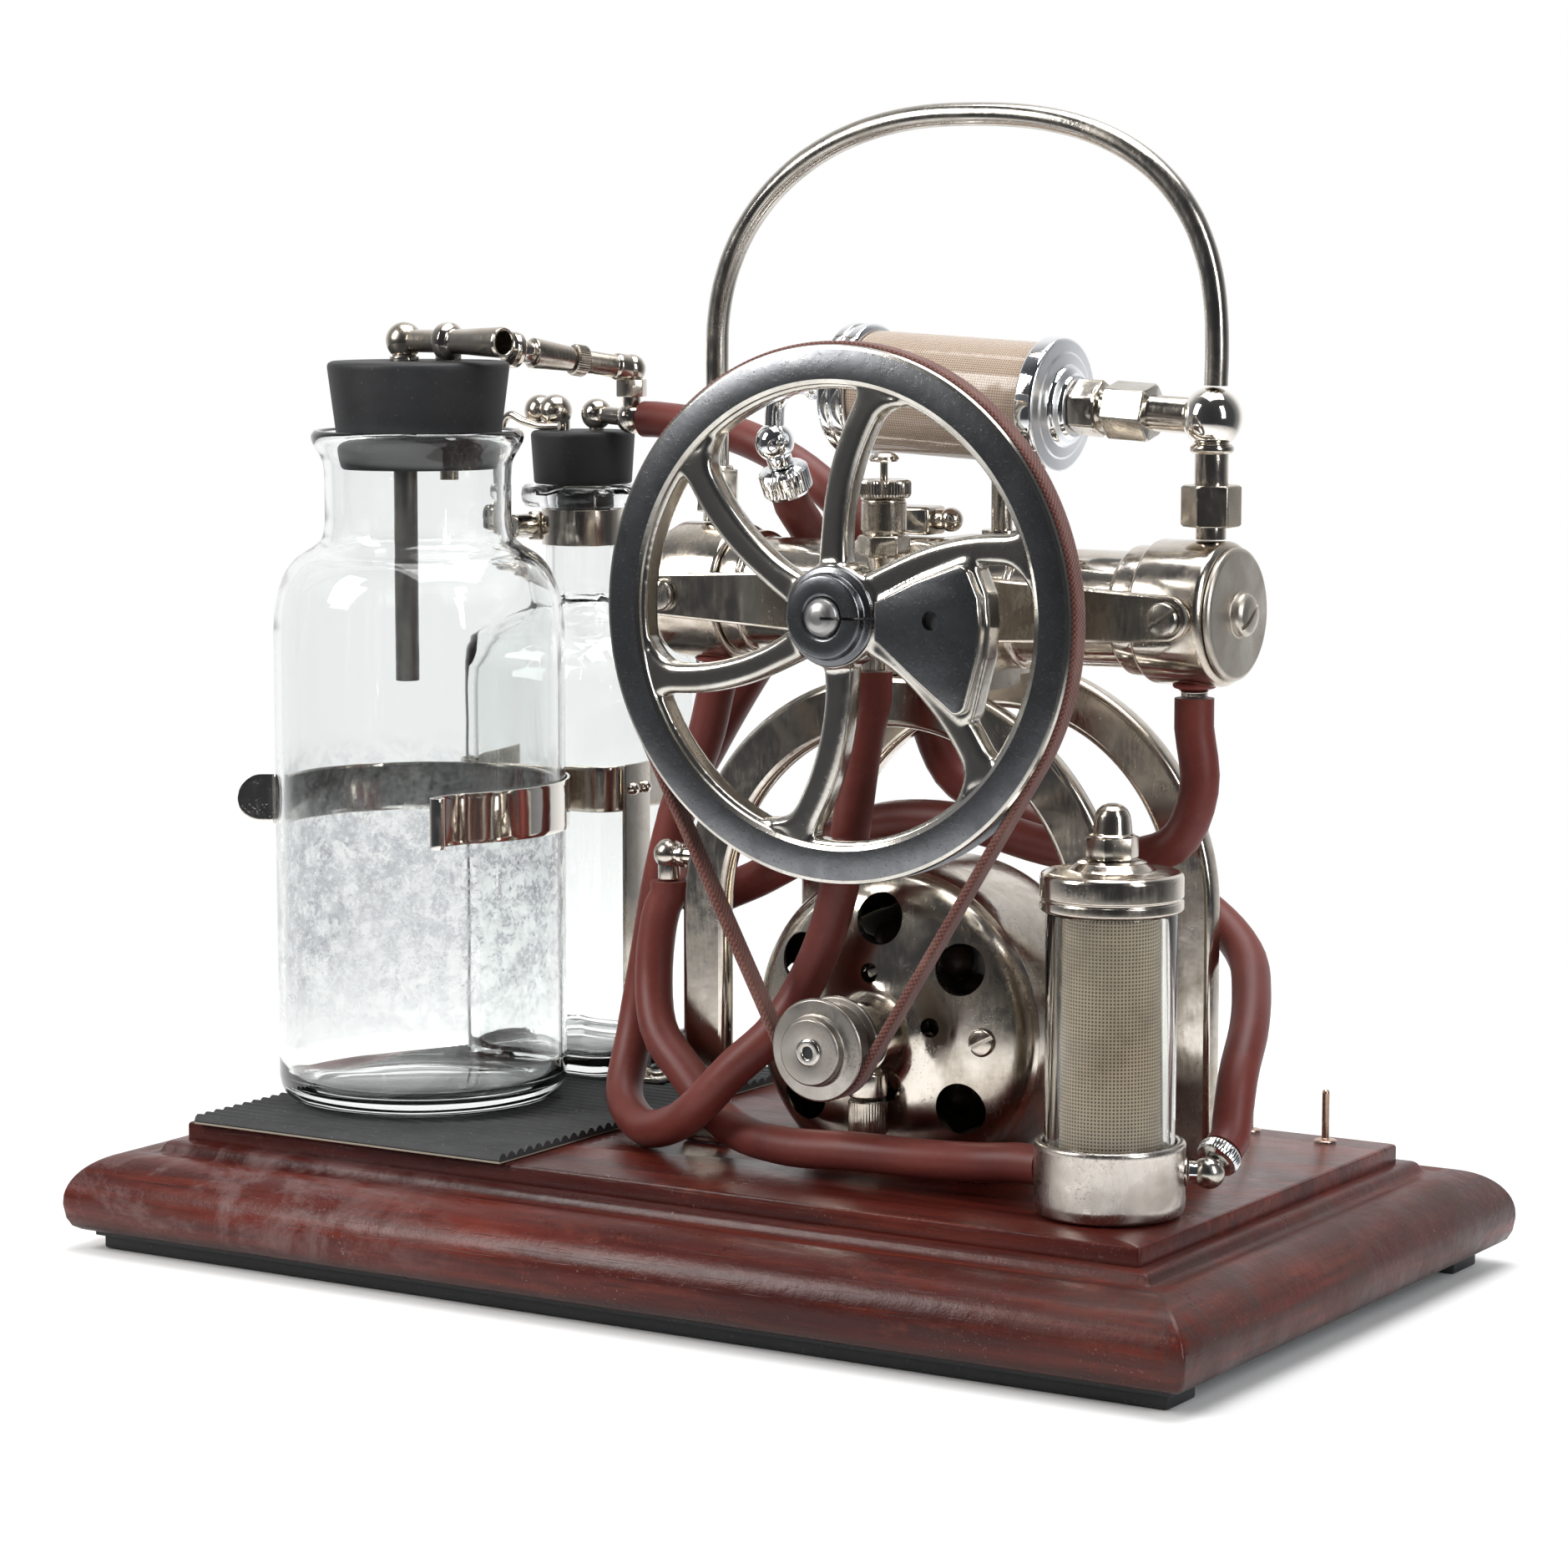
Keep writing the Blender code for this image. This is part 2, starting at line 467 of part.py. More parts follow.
# ==== spring clips and their upright plate ==========================================
CLIP_Z = (139.6, 155.4)  # band of the square bottle
SPRING_Z = (138.2, 155.0)  # band of the suction bottle
PLATE_X = ex + ETHER_HALF + 1.7
plate = box("clip_plate", (PLATE_X, PLATE_X + 1.6), (33.0, 48.5), (PLAT_Z + GAP + 3.7, 156.0))
joined(plate, box("plate_foot", (PLATE_X, PLATE_X + 15.0), (33.0, 48.5), (MAT_Z + GAP, MAT_Z + GAP + 1.8), collection=CUTTERS),
       ball("rivet_a", (PLATE_X + 2.4, 37.0, 147.5), 2.0, u=12, v=8), ball("rivet_b", (PLATE_X + 2.4, 44.5, 147.5), 2.0, u=12, v=8))

# band round three sides of the square bottle, open at the back
E1 = ETHER_HALF + 0.5
E2 = E1 + 0.9


def half_band(half, reach):
    c = half - ETHER_CHAMFER
    return [(ex + half, ey + reach), (ex + half, ey - c), (ex + c, ey - half), (ex - c, ey - half), (ex - half, ey - c), (ex - half, ey + reach)]


flat("ether_clip", [half_band(E2, 14.0) + half_band(E1, 14.0)[::-1]], CLIP_Z[0], CLIP_Z[1], plane="XY")

# C-shaped spring round the suction bottle, its two flared ends towards the front left
C_IN, C_OUT = BOTTLE_R + 0.5, BOTTLE_R + 1.5
A0, A1 = -33.0, 200.0
band_outer = arc(bx, by, C_OUT, A0, A1, 40)
band_inner = arc(bx, by, C_IN, A0, A1, 40)
tl = math.radians(A1)
t0 = math.radians(A0)


def flare(r, a, sign):
    """A tail that leaves the circle outwards at the front end of the spring."""
    u, t = Vector((math.cos(a), math.sin(a))), Vector((-math.sin(a), math.cos(a))) * sign
    return [tuple(Vector((bx, by)) + u * (r + k * k * 7.0) + t * k * 17.5) for k in (0.35, 0.7, 1.0)]


def tab(side):
    """The left end turns out into a tab; side is the distance from the sheet's middle."""
    heading, at = tl + math.pi / 2, Vector((bx, by)) + Vector((math.cos(tl), math.sin(tl))) * (BOTTLE_R + 1.0)
    out = []
    for _ in range(4):
        heading -= math.radians(19.5)
        at = at + Vector((math.cos(heading), math.sin(heading))) * 1.1
        out.append(tuple(at + Vector((math.sin(heading), -math.cos(heading))) * side))
    return out + [tuple(at + Vector((math.cos(heading), math.sin(heading))) * 11.0 + Vector((math.sin(heading), -math.cos(heading))) * side)]


loop = flare(C_OUT, t0, -1)[::-1] + band_outer + tab(0.5) + tab(-0.5)[::-1] + band_inner[::-1] + flare(C_IN, t0, -1)
flat("suction_clip", [loop], SPRING_Z[0], SPRING_Z[1], plane="XY")

# ==== motor =========================================================================
cover_outer = [(9.6, -52.5), (11.4, -51.5), (11.6, -44.0), (13.0, -40.0), (17.0, -37.6), (24.0, -37.0), (40.0, -37.0), (44.5, -36.2), (48.5, -34.0), (50.7, -30.8), (MOTOR_R, -27.2)]
cover_inner = [(MOTOR_R - 1.8, -27.2), (MOTOR_R - 2.6, -30.4), (47.0, -32.6), (43.8, -34.4), (39.6, -35.2), (24.0, -35.2), (17.0, -35.0), (11.0, -34.0), (4.4, -34.0), (4.4, -52.5)]
cover = turned("motor_front_cover", (cover_outer + cover_inner)[::-1], (MOTOR_X, 0, MOTOR_Z), (0, 1, 0), steps=48, closed=True)
for k, a in enumerate((0, 53, 128, -128, -53)):
    t = math.radians(a - 1.0)
    cut(cover, rod(f"vent_{k}", (MOTOR_X + 36.2 * math.sin(t), -42.0, MOTOR_Z + 36.2 * math.cos(t)), (0, 1, 0), 8.2, 16.0, steps=20, collection=CUTTERS))
for k, a in enumerate((-10, 80, 170, 260)):
    t = math.radians(a)
    cut(cover, rod(f"small_vent_{k}", (MOTOR_X + 19.2 * math.sin(t), -42.0, MOTOR_Z + 19.2 * math.cos(t)), (0, 1, 0), 3.1, 16.0, steps=12, collection=CUTTERS))
joined(cover, turned("oiler_neck", [(0, 80.0), (6.3, 80.0), (6.3, 67.2), (5.0, 67.2), (5.0, 66.8), (0, 66.8)], (MOTOR_X, DRIP_Y, 0), steps=20, collection=CUTTERS),
       *[turned(f"cover_screw_{s}", [(4.3, -36.5), (4.3, -38.8), (0, -39.6)][::-1] and [(0, 2.6), (2.8, 2.4), (4.3, 1.4), (4.3, -0.6), (0, -0.6)], (MOTOR_X + s * 36.8, -37.0, MOTOR_Z), (0, -1, 0), steps=16, collection=CUTTERS) for s in (1, -1)])
turned("motor_oiler_cap", [(0, 66.5), (6.2, 66.5), (6.2, 55.5), (5.2, 54.5), (0, 54.5)], (MOTOR_X, DRIP_Y, 0), steps=20)

drum = turned("motor_drum", [(0, 22.0), (0, 22.0)][:0] + [(4.4, 22.0), (44.0, 22.0), (MOTOR_R - 1.5, 19.5), (MOTOR_R, 15.0), (MOTOR_R, -26.9), (MOTOR_R - 2.0, -26.9), (MOTOR_R - 2.0, 14.5), (43.0, 20.0), (4.4, 20.0)],
              (MOTOR_X, 0, MOTOR_Z), (0, 1, 0), steps=48, closed=True)
for k, zz in enumerate((76.0, 97.0)):
    cut(drum, rod(f"side_vent_{k}", (MOTOR_X - 60, -14.0, zz), (1, 0, 0), 5.0, 120.0, steps=16, collection=CUTTERS))

rotor = turned("motor_rotor", [(0, 26.0), (4.0, 26.0), (4.0, 12.0), (38.0, 12.0), (38.0, -22.0), (18.0, -24.0), (18.0, -31.0), (4.0, -31.0), (4.0, -79.8), (3.4, -80.6), (0, -80.6)], (MOTOR_X, 0, MOTOR_Z), (0, 1, 0), steps=28, mat=STEEL)
turned("motor_pulley", [(4.3, -81.0), (10.4, -81.0), (10.6, -76.6), (16.2, -76.6), (16.2, -74.6), (PULLEY_GROOVE, -74.4), (PULLEY_GROOVE, -65.6), (15.4, -65.4), (15.4, -63.4), (7.5, -62.8), (7.5, -57.0), (4.3, -57.0)][::-1],
       (MOTOR_X, 0, MOTOR_Z), (0, 1, 0), steps=36, closed=True)

# ==== frame arches ==================================================================
foot_z = PLAT_Z + GAP


def arch_outline(cx, cz, r_out, r_in):
    top = arc(cx, cz, r_out, 0, 180, 26)
    under = arc(cx, cz, r_in, 180, 0, 26)
    return [(cx + r_out, foot_z)] + top + [(cx - r_out, foot_z), (cx - r_in, foot_z)] + under + [(cx + r_in, foot_z)]


for name, (ya, yb), shape in (("arch_front", ARCH_FRONT, FRONT_ARC), ("arch_rear", ARCH_REAR, REAR_ARC)):
    flat(name, [arch_outline(*shape)], ya, yb)

# hose elbow screwed into the left leg of the front arch
DX, DY, DZ = -27.4, -27.5, 136.4
arch = bpy.data.objects["arch_front"]
joined(arch, rod("elbow_stub", (DX, DY, DZ), (1, 0, 0), 3.2, 14.0, steps=16, collection=CUTTERS), ball("elbow_ball_d", (DX, DY, DZ), 5.0, u=16, v=10),
       rod("elbow_barb", (DX, DY, DZ - 8.5), (0, 0, 1), 3.6, 8.0, steps=16, collection=CUTTERS))

# ==== pump ==========================================================================
px, py, pz = PUMP_X, PUMP_Y, PUMP_Z
body = rod("pump_body", (px - HEAD_IN + GAP, py, pz), (1, 0, 0), BARREL_R, 2 * (HEAD_IN - GAP), steps=40)
saddle = box("saddle", (px - 24, px + 24), (ARCH_FRONT[0], ARCH_REAR[1]), (190.0, 204.8), collection=CUTTERS)
cut(saddle, rod("front_arch_clearance", (FRONT_ARC[0], -60, FRONT_ARC[1]), (0, 1, 0), FRONT_ARC[2] + 0.4, 61, steps=128, collection=CUTTERS),
    rod("rear_arch_clearance", (REAR_ARC[0], 0.5, REAR_ARC[1]), (0, 1, 0), REAR_ARC[2] + 0.4, 60, steps=128, collection=CUTTERS))
joined(body, rod("crankcase_tube", (px - 30, py, pz), (1, 0, 0), 20.2, 60, steps=40, collection=CUTTERS),
       rod("crankcase_drum", (px, -22.5, pz), (0, 1, 0), 20.4, 38.5, steps=40, collection=CUTTERS), saddle,
       rod("collar_left", (px - HEAD_IN + GAP, py, pz), (1, 0, 0), 20.2, 7.0, steps=40, collection=CUTTERS),
       rod("collar_right", (px + HEAD_IN - GAP - 7, py, pz), (1, 0, 0), 20.2, 7.0, steps=40, collection=CUTTERS),
       rod("filter_post", (83.5, py, pz + 12), (0, 0, 1), 3.4, 31.3, steps=16, collection=CUTTERS))
cut(body, rod("cylinder_bore", (px - 90, py, pz), (1, 0, 0), BORE_R, 180, steps=32, collection=CUTTERS),
    rod("crank_bore", (px, py - 17, pz), (0, 1, 0), 18.0, 34, steps=32, collection=CUTTERS),
    rod("shaft_bore", (px, py - 24, pz), (0, 1, 0), 5.3, 12, steps=20, collection=CUTTERS))

for name, s in (("head_right", 1), ("head_left", -1)):
    h = turned(name, [(0, HEAD_OUT), (HEAD_R - 1, HEAD_OUT), (HEAD_R, HEAD_OUT - 1), (HEAD_R, HEAD_IN), (0, HEAD_IN)], (px, py, pz), (s, 0, 0), steps=40)
    joined(h, turned(name + "_nipple", [(0, -20), (5.6, -20), (5.6, -23.4), (4.2, -24.4), (4.2, -26.0), (0, -26.0)], (px + s * 88.0, py, pz), (0, 0, 1), steps=20, collection=CUTTERS))
    cut(h, rod(name + "_bore", (px + s * (HEAD_IN - 2), py, pz), (s, 0, 0), BORE_R, 17.0, steps=32, collection=CUTTERS))
    c = turned("cap_" + name[5:], [(0, HEAD_OUT + 7.3), (3.0, HEAD_OUT + 7.3), (3.4, HEAD_OUT + 5.4), (8.0, HEAD_OUT + 4.9), (8.5, HEAD_OUT + 3.2), (19.6, HEAD_OUT + 2.6), (20.6, HEAD_OUT + 1.8), (20.6, HEAD_OUT + GAP), (0, HEAD_OUT + GAP)], (px, py, pz), (s, 0, 0), steps=40)

bracket_out = arc(px - 91.4, pz, 7.0, 100, 260, 8) + [(px - 20, pz - 10.5)] + arc(px, pz, 16.0, 225, 315, 6) + [(px + 20, pz - 10.5)] + arc(px + 91.4, pz, 7.0, -80, 80, 8) + [(px + 20, pz + 10.5)] + arc(px, pz, 16.0, 45, 135, 6) + [(px - 20, pz + 10.5)]
bracket = flat("bearing_bracket", [bracket_out], -31.6, -27.0)
joined(bracket, turned("bearing_boss", [(0, -26.0), (0, -26.0)][:0] + [(0, -58.0), (9.5, -58.0), (11.0, -56.5), (11.0, -34.0), (14.5, -31.0), (14.5, -24.4), (0, -24.4)][::-1], (px, 0, pz), (0, 1, 0), steps=32, collection=CUTTERS),
       turned("crank_nipple", [(0, pz - 7), (4.6, pz - 7), (4.6, pz - 13.5), (3.8, pz - 14), (3.8, pz - 19), (0, pz - 19)], (px - 3.0, -45.5, 0), steps=16, collection=CUTTERS))
cut(bracket, rod("bearing_bore", (px, -60, pz), (0, 1, 0), 5.3, 40, steps=24, collection=CUTTERS))
for name, s in (("bracket_screw_left", -1), ("bracket_screw_right", 1)):
    screw = turned(name, [(0, 2.9), (2.6, 2.6), (4.4, 1.4), (4.8, 0.0), (0, 0)], (px + s * 91.4, -31.6 - GAP, pz), (0, -1, 0), steps=20)
    cut(screw, box(name + "_slot", (px + s * 91.4 - 6, px + s * 91.4 + 6), (-36.0, -33.4), (pz - 0.5, pz + 0.5), collection=CUTTERS))

# crankshaft with its disc and pin; the pin stops just short of the piston yoke
crank = turned("crankshaft", [(0, -84.0), (3.0, -83.6), (5.2, -82.4), (6.2, -80.4), (6.2, -60.5), (5.0, -60.5), (5.0, -19.8), (13.0, -19.8), (13.0, -15.0), (0, -15.0)][::-1], (px, 0, pz), (0, 1, 0), steps=24, mat=STEEL)
joined(crank, rod("crank_pin", (px, -15.5, pz + CRANK_THROW), (0, 1, 0), 2.5, 5.7, steps=14, mat=STEEL, collection=CUTTERS))

piston = rod("double_piston", (px - 49, py, pz), (1, 0, 0), 4.0, 98.0, steps=20, mat=STEEL)
joined(piston, rod("piston_left", (px - 49, py, pz), (1, 0, 0), BORE_R - 0.4, 12, steps=32, collection=CUTTERS),
       rod("piston_right", (px + 37, py, pz), (1, 0, 0), BORE_R - 0.4, 12, steps=32, collection=CUTTERS),
       box("yoke", (px - 6, px + 6), (-9.2, -1.0), (pz - 11.5, pz + 11.5), STEEL, CUTTERS))
cut(piston, box("yoke_slot", (px - 2.9, px + 2.9), (-10.0, -5.2), (pz - 9.5, pz + 9.5), STEEL, CUTTERS))

# ==== flywheel ======================================================================
half = (WHEEL_Y1 - WHEEL_Y0) / 2
wy = (WHEEL_Y0 + WHEEL_Y1) / 2
wheel = turned("flywheel", [(WHEEL_IN, wy + half), (WHEEL_R, wy + half), (WHEEL_R, wy + 4.0), (WHEEL_GROOVE, wy + 3.8), (WHEEL_GROOVE, wy - 3.8), (WHEEL_R, wy - 4.0),
                            (WHEEL_R, wy - half), (WHEEL_IN, wy - half)],
               (px, 0, pz), (0, 1, 0), steps=80, closed=True, mat=STEEL)


def spoke_points(k):
    pts = []
    for r in (9.0, 20.0, 30.0, 40.0, 50.0, 60.0, 66.0, 72.5):
        a = math.radians(94.5 + 60.0 * k - 16.0 * ((r - 9.0) / 60.0) ** 1.35)
        pts.append((px + r * math.cos(a), wy, pz + r * math.sin(a)))
    return pts


hub = turned("wheel_hub", [(0, -80.6), (10.5, -80.6), (13.0, -79.6), (13.2, -77.0), (15.6, -76.4), (16.2, -75.0), (16.2, -64.0), (14.0, -63.0), (0, -63.0)][::-1], (px, 0, pz), (0, 1, 0), steps=32, collection=CUTTERS)
joined(wheel, hub, *[pipe(f"spoke_{k}", spoke_points(k), 4.7, collection=CUTTERS) for k in range(SPOKES)])
# counterweight: a sector with straight sides between two spokes
weight = [(px + 15.0, pz + 6.0), (px + 30.0, pz + 13.5), (px + 47.5, pz + 19.5), (px + 51.8, pz + 17.5), (px + 54.4, pz + 6.0), (px + 54.6, pz - 5.0), (px + 52.0, pz - 17.0),
          (px + 46.8, pz - 30.0), (px + 43.0, pz - 30.4), (px + 30.0, pz - 19.5), (px + 15.0, pz - 7.0)]
joined(wheel, flat("counterweight", [weight], -77.2, -67.0, collection=CUTTERS))
cut(wheel, rod("wheel_bore", (px, -84, pz), (0, 1, 0), 6.5, 30, steps=24, collection=CUTTERS),
    rod("weight_hole", (px + 36.8, -80, pz + 0.4), (0, 1, 0), 2.8, 20, steps=12, collection=CUTTERS))


# ==== belt ==========================================================================
def belt_loop(offset):
    """Outline of an open belt over both wheels, offset from the groove floors."""
    r1, r2 = WHEEL_GROOVE + offset, PULLEY_GROOVE + offset
    c1, c2 = Vector((PUMP_X, PUMP_Z)), Vector((MOTOR_X, MOTOR_Z))
    d = c1 - c2
    base_a = math.atan2(d.y, d.x)
    lean = math.acos((r2 - r1) / d.length)  # angle of the contact points from the centre line
    pts = []
    n1, n2 = 44, 14
    for i in range(n1 + 1):
        a = base_a - lean + (2 * lean) * i / n1
        pts.append((c1.x + r1 * math.cos(a), c1.y + r1 * math.sin(a)))
    for i in range(n2 + 1):
        a = base_a + lean + (2 * math.pi - 2 * lean) * i / n2
        pts.append((c2.x + r2 * math.cos(a), c2.y + r2 * math.sin(a)))
    return pts


flat("drive_belt", [belt_loop(GAP + BELT_T + 0.1), belt_loop(GAP + 0.1)], BELT_Y - BELT_W / 2, BELT_Y + BELT_W / 2, BELT)

# ==== oil cup on the front bearing ==================================================
oil = turned("oil_cup_body", [(0, 256.0), (6.9, 256.0), (6.9, 245.4), (6.4, 244.6), (6.4, 238.6), (5.6, 238.0), (4.6, 233.0), (0, 233.0)], (OIL_X, OIL_Y, 0), steps=24)
joined(oil, hexagon("oil_hex", (OIL_X, OIL_Y, 238.6), (0, 0, 1), 16.4, 6.0))
cut(oil, rod("oil_well", (OIL_X, OIL_Y, 241.0), (0, 0, 1), 4.6, 16.0, steps=16, collection=CUTTERS))
turned("oil_cup_cap", [(1.5, 261.9), (7.6, 261.9), (8.5, 261.1), (8.5, 257.2), (7.6, 256.3), (1.5, 256.3)], (OIL_X, OIL_Y, 0), steps=24, closed=True)
turned("oil_cup_plunger", [(0, 270.6), (2.8, 270.2), (4.5, 269.2), (4.7, 268.2), (1.2, 267.6), (1.2, 247.0), (3.6, 246.6), (3.6, 245.2), (0, 245.2)], (OIL_X, OIL_Y, 0), steps=16)

# small clamp block with a round-headed screw on the crankcase
block = box("top_clamp_block", (46.0, 60.0), (-10.0, 2.0), (242.5, 251.5), bevel=0.8)
joined(block, rod("clamp_screw_stem", (59.0, -4.0, 247.4), (1, 0, 0), 3.4, 4.5, steps=16, collection=CUTTERS), ball("clamp_screw_head", (65.0, -4.0, 247.4), 3.9, u=14, v=10))

# ==== upper filter ==================================================================
RISER = Vector((RISER_X, py, 281.6))
fdir = Vector((-math.cos(math.radians(3.0)), 0, math.sin(math.radians(3.0))))


def along(x):
    """Distance from the riser ball, along the filter's axis, of the point at x."""
    return (RISER.x - x) / math.cos(math.radians(3.0))


turned("filter_tube", [(19.4, along(98.2)), (19.4, along(37.2)), (17.2, along(37.2)), (17.2, along(98.2))][::-1], RISER, fdir, steps=36, closed=True, mat=GAUZE)
turned("filter_cap_right", [(0, along(98.5)), (19.8, along(98.5)), (21.2, along(99.3)), (21.2, along(104.6)), (20.4, along(105.4)), (12.6, along(106.4)), (12.0, along(107.8)), (10.4, along(109.2)), (9.4, along(110.2)), (0, along(110.2))], RISER, fdir, steps=36, mat=CHROME)
turned("filter_cap_left", [(0, along(26.0)), (9.0, along(26.0)), (20.6, along(27.4)), (21.2, along(28.4)), (21.2, along(36.2)), (19.8, along(36.9)), (0, along(36.9))], RISER, fdir, steps=36, mat=CHROME)

fl = RISER + fdir * along(18.0)
elbow_line = [RISER + fdir * along(22.0), RISER + fdir * along(14.0), RISER + fdir * along(8.0)]
elbow_pts = smooth_line([tuple(v) for v in elbow_line] + [(2.6, py, 287.6), (-0.6, py, 283.0), (-1.2, py, 277.0), (-1.3, py, 270.0)], 3.2)
elbow = pipe("filter_elbow", elbow_pts, 3.2, CHROME)
NUT_DIR = Vector((0.04, 0.42, -0.90)).normalized()
BULGE = Vector((-1.3, py, 270.5))
joined(elbow, hexagon("elbow_hexnut", RISER + fdir * along(19.0), fdir * -1.0, 17.0, 6.5), ball("elbow_bulge", BULGE, 6.4, u=18, v=12),
       rod("elbow_tail", BULGE, NUT_DIR, 4.2, 8.4, steps=16, collection=CUTTERS))
turned("filter_hose_nut", [(0, 18.6), (6.9, 18.6), (7.8, 17.8), (8.3, 16.0), (8.3, 10.2), (5.5, 8.7), (0, 8.7)], BULGE, NUT_DIR, steps=24)

riser = ball("riser_pipe", RISER, 9.4, collection=PARTS, u=24, v=16)
joined(riser, rod("riser_tube", (RISER.x, py, 259.0), (0, 0, 1), 5.2, 20.0, steps=20, collection=CUTTERS), rod("riser_collar", (RISER.x, py, 270.6), (0, 0, 1), 6.6, 3.0, steps=20, collection=CUTTERS),
       hexagon("riser_nut", (RISER.x, py, 248.0), (0, 0, 1), 18.7, 13.0), rod("riser_stub", (RISER.x, py, 244.3), (0, 0, 1), 4.7, 5.0, steps=20, collection=CUTTERS),
       turned("side_pipe", [(0, along(110.6)), (8.0, along(110.6)), (8.7, along(111.0)), (8.7, along(118.6)), (5.4, along(121.6)), (5.4, along(122.2)), (7.8, along(122.4)), (8.8, along(123.2)), (8.8, along(135.0)), (7.8, along(136.4)), (5.6, along(136.6)), (5.6, along(152.0)), (0, along(152.0))],
              RISER, fdir, steps=20, collection=CUTTERS))

# ==== handle ========================================================================
LEG_X = HANDLE_X - HANDLE_A  # foot of the left leg


def bow_point(degrees):
    """A point of the bow: 0 at the left leg, 180 at the right one."""
    t = math.radians(degrees)
    c, k = math.cos(t), 2.0 / (HANDLE_LEFT if degrees < 90 else HANDLE_RIGHT)
    return (HANDLE_X - math.copysign(abs(c) ** k, c) * HANDLE_A, py, HANDLE_Z + math.sin(t) ** k * HANDLE_B)


handle_pts = [(LEG_X, py, 258.0), (LEG_X, py, 272.0), (LEG_X, py, 286.0)] + [bow_point(d) for d in [2] + list(range(9, 172, 9)) + [178]]
handle_pts += [(HANDLE_X + HANDLE_A, py, HANDLE_Z - 2.0), (HANDLE_X + HANDLE_A - 0.2, py, RISER.z + 9.8)]
handle = pipe("handle", handle_pts, ROD_R, resolution=2)
joined(handle, hexagon("handle_nut", (LEG_X, py, 247.5), (0, 0, 1), 15.0, 13.5), rod("handle_stub", (LEG_X, py, pz + HEAD_R + GAP), (0, 0, 1), 4.7, 6.0, steps=20, collection=CUTTERS))

# ==== filter jar ====================================================================
jx, jy = JAR
jar_base = turned("jar_base", [(0, 52.0), (20.4, 52.0), (20.4, 64.6), (22.6, 64.6), (23.2, 63.8), (23.2, foot_z + 1.0), (22.4, foot_z), (0, foot_z)], (jx, jy, 0), steps=40)
port = rod("jar_port", (jx - 28.5, jy, 54.0), (1, 0, 0), 3.6, 7.5, steps=16, collection=CUTTERS)
JSIDE = Vector((0.90, 0.436, 0.0)).normalized()  # the right port leaves the cup this way
JP = Vector((jx, jy, 55.0))
JBALL = JP + JSIDE * 30.0
JDIR = Vector((0.08, 0.80, 0.59)).normalized()  # and its elbow turns the hose this way
joined(jar_base, port, rod("jar_boss", JP + JSIDE * 21.5, JSIDE, 4.4, 2.0, steps=20, collection=CUTTERS))
# the left port is a barb that the hose slides over up to the cup
turned("jar_glass", [(17.6, 134.6), (19.9, 134.6), (19.9, 52.4), (17.6, 52.4)], (jx, jy, 0), steps=40, closed=True, mat=GLASS)
turned("jar_gauze", [(14.2, 133.0), (15.4, 133.0), (15.4, 53.0), (14.2, 53.0)], (jx, jy, 0), steps=32, closed=True, mat=GAUZE)
turned("jar_cap", [(2.9, 150.3), (9.0, 150.3), (11.5, 149.0), (12.8, 147.2), (20.6, 146.8), (21.8, 145.8), (21.8, 134.9), (20.3, 134.9), (20.3, 136.0)][:8] + [(2.9, 134.9)], (jx, jy, 0), steps=40, closed=True)
nut = turned("jar_nut", [(0, 167.4), (3.0, 166.9), (5.0, 165.2), (5.7, 162.5), (6.2, 158.0), (7.0, 157.6), (7.0, 150.7), (2.5, 150.7), (2.5, 54.0), (0, 54.0)], (jx, jy, 0), steps=24)
joined(nut, hexagon("jar_hex", (jx, jy, 150.8), (0, 0, 1), 16.6, 6.6))

elbow_j = turned("jar_elbow", [(0, 9.6), (3.6, 9.6), (6.6, 8.8), (6.8, 8.0), (6.8, 5.2), (6.2, 4.6), (5.2, 4.2), (0, 4.2)], JBALL, JDIR, steps=24, mat=CHROME)
joined(elbow_j, ball("jar_elbow_ball", JBALL, 6.2, u=20, v=12), rod("jar_elbow_stem", JP + JSIDE * 24.8, JSIDE, 3.6, 4.0, steps=16, collection=CUTTERS))

# ==== contact pins ==================================================================
for name, (cx, cy) in (("contact_pin_left", (130.0, 83.5)), ("contact_pin_right", (158.9, 80.6))):
    turned(name, [(0, 59.4), (0.8, 59.3), (1.25, 58.8), (1.25, PLAT_Z + 1.3), (3.6, PLAT_Z + 1.1), (3.8, PLAT_Z + GAP), (0, PLAT_Z + GAP)], (cx, cy, 0), steps=14, mat=COPPER)

# ==== hoses =========================================================================
floor = PLAT_Z + HOSE_R + 0.4


def hose(name, pts):
    """A rubber hose along a smooth line; its first and last steps are straight, so it meets its nipples squarely."""
    line = [pts[0]] + smooth_line(pts[1:-1], 15.0) + [pts[-1]]
    return pipe(name, line, HOSE_R, HOSE, resolution=2, keep_curve=True)


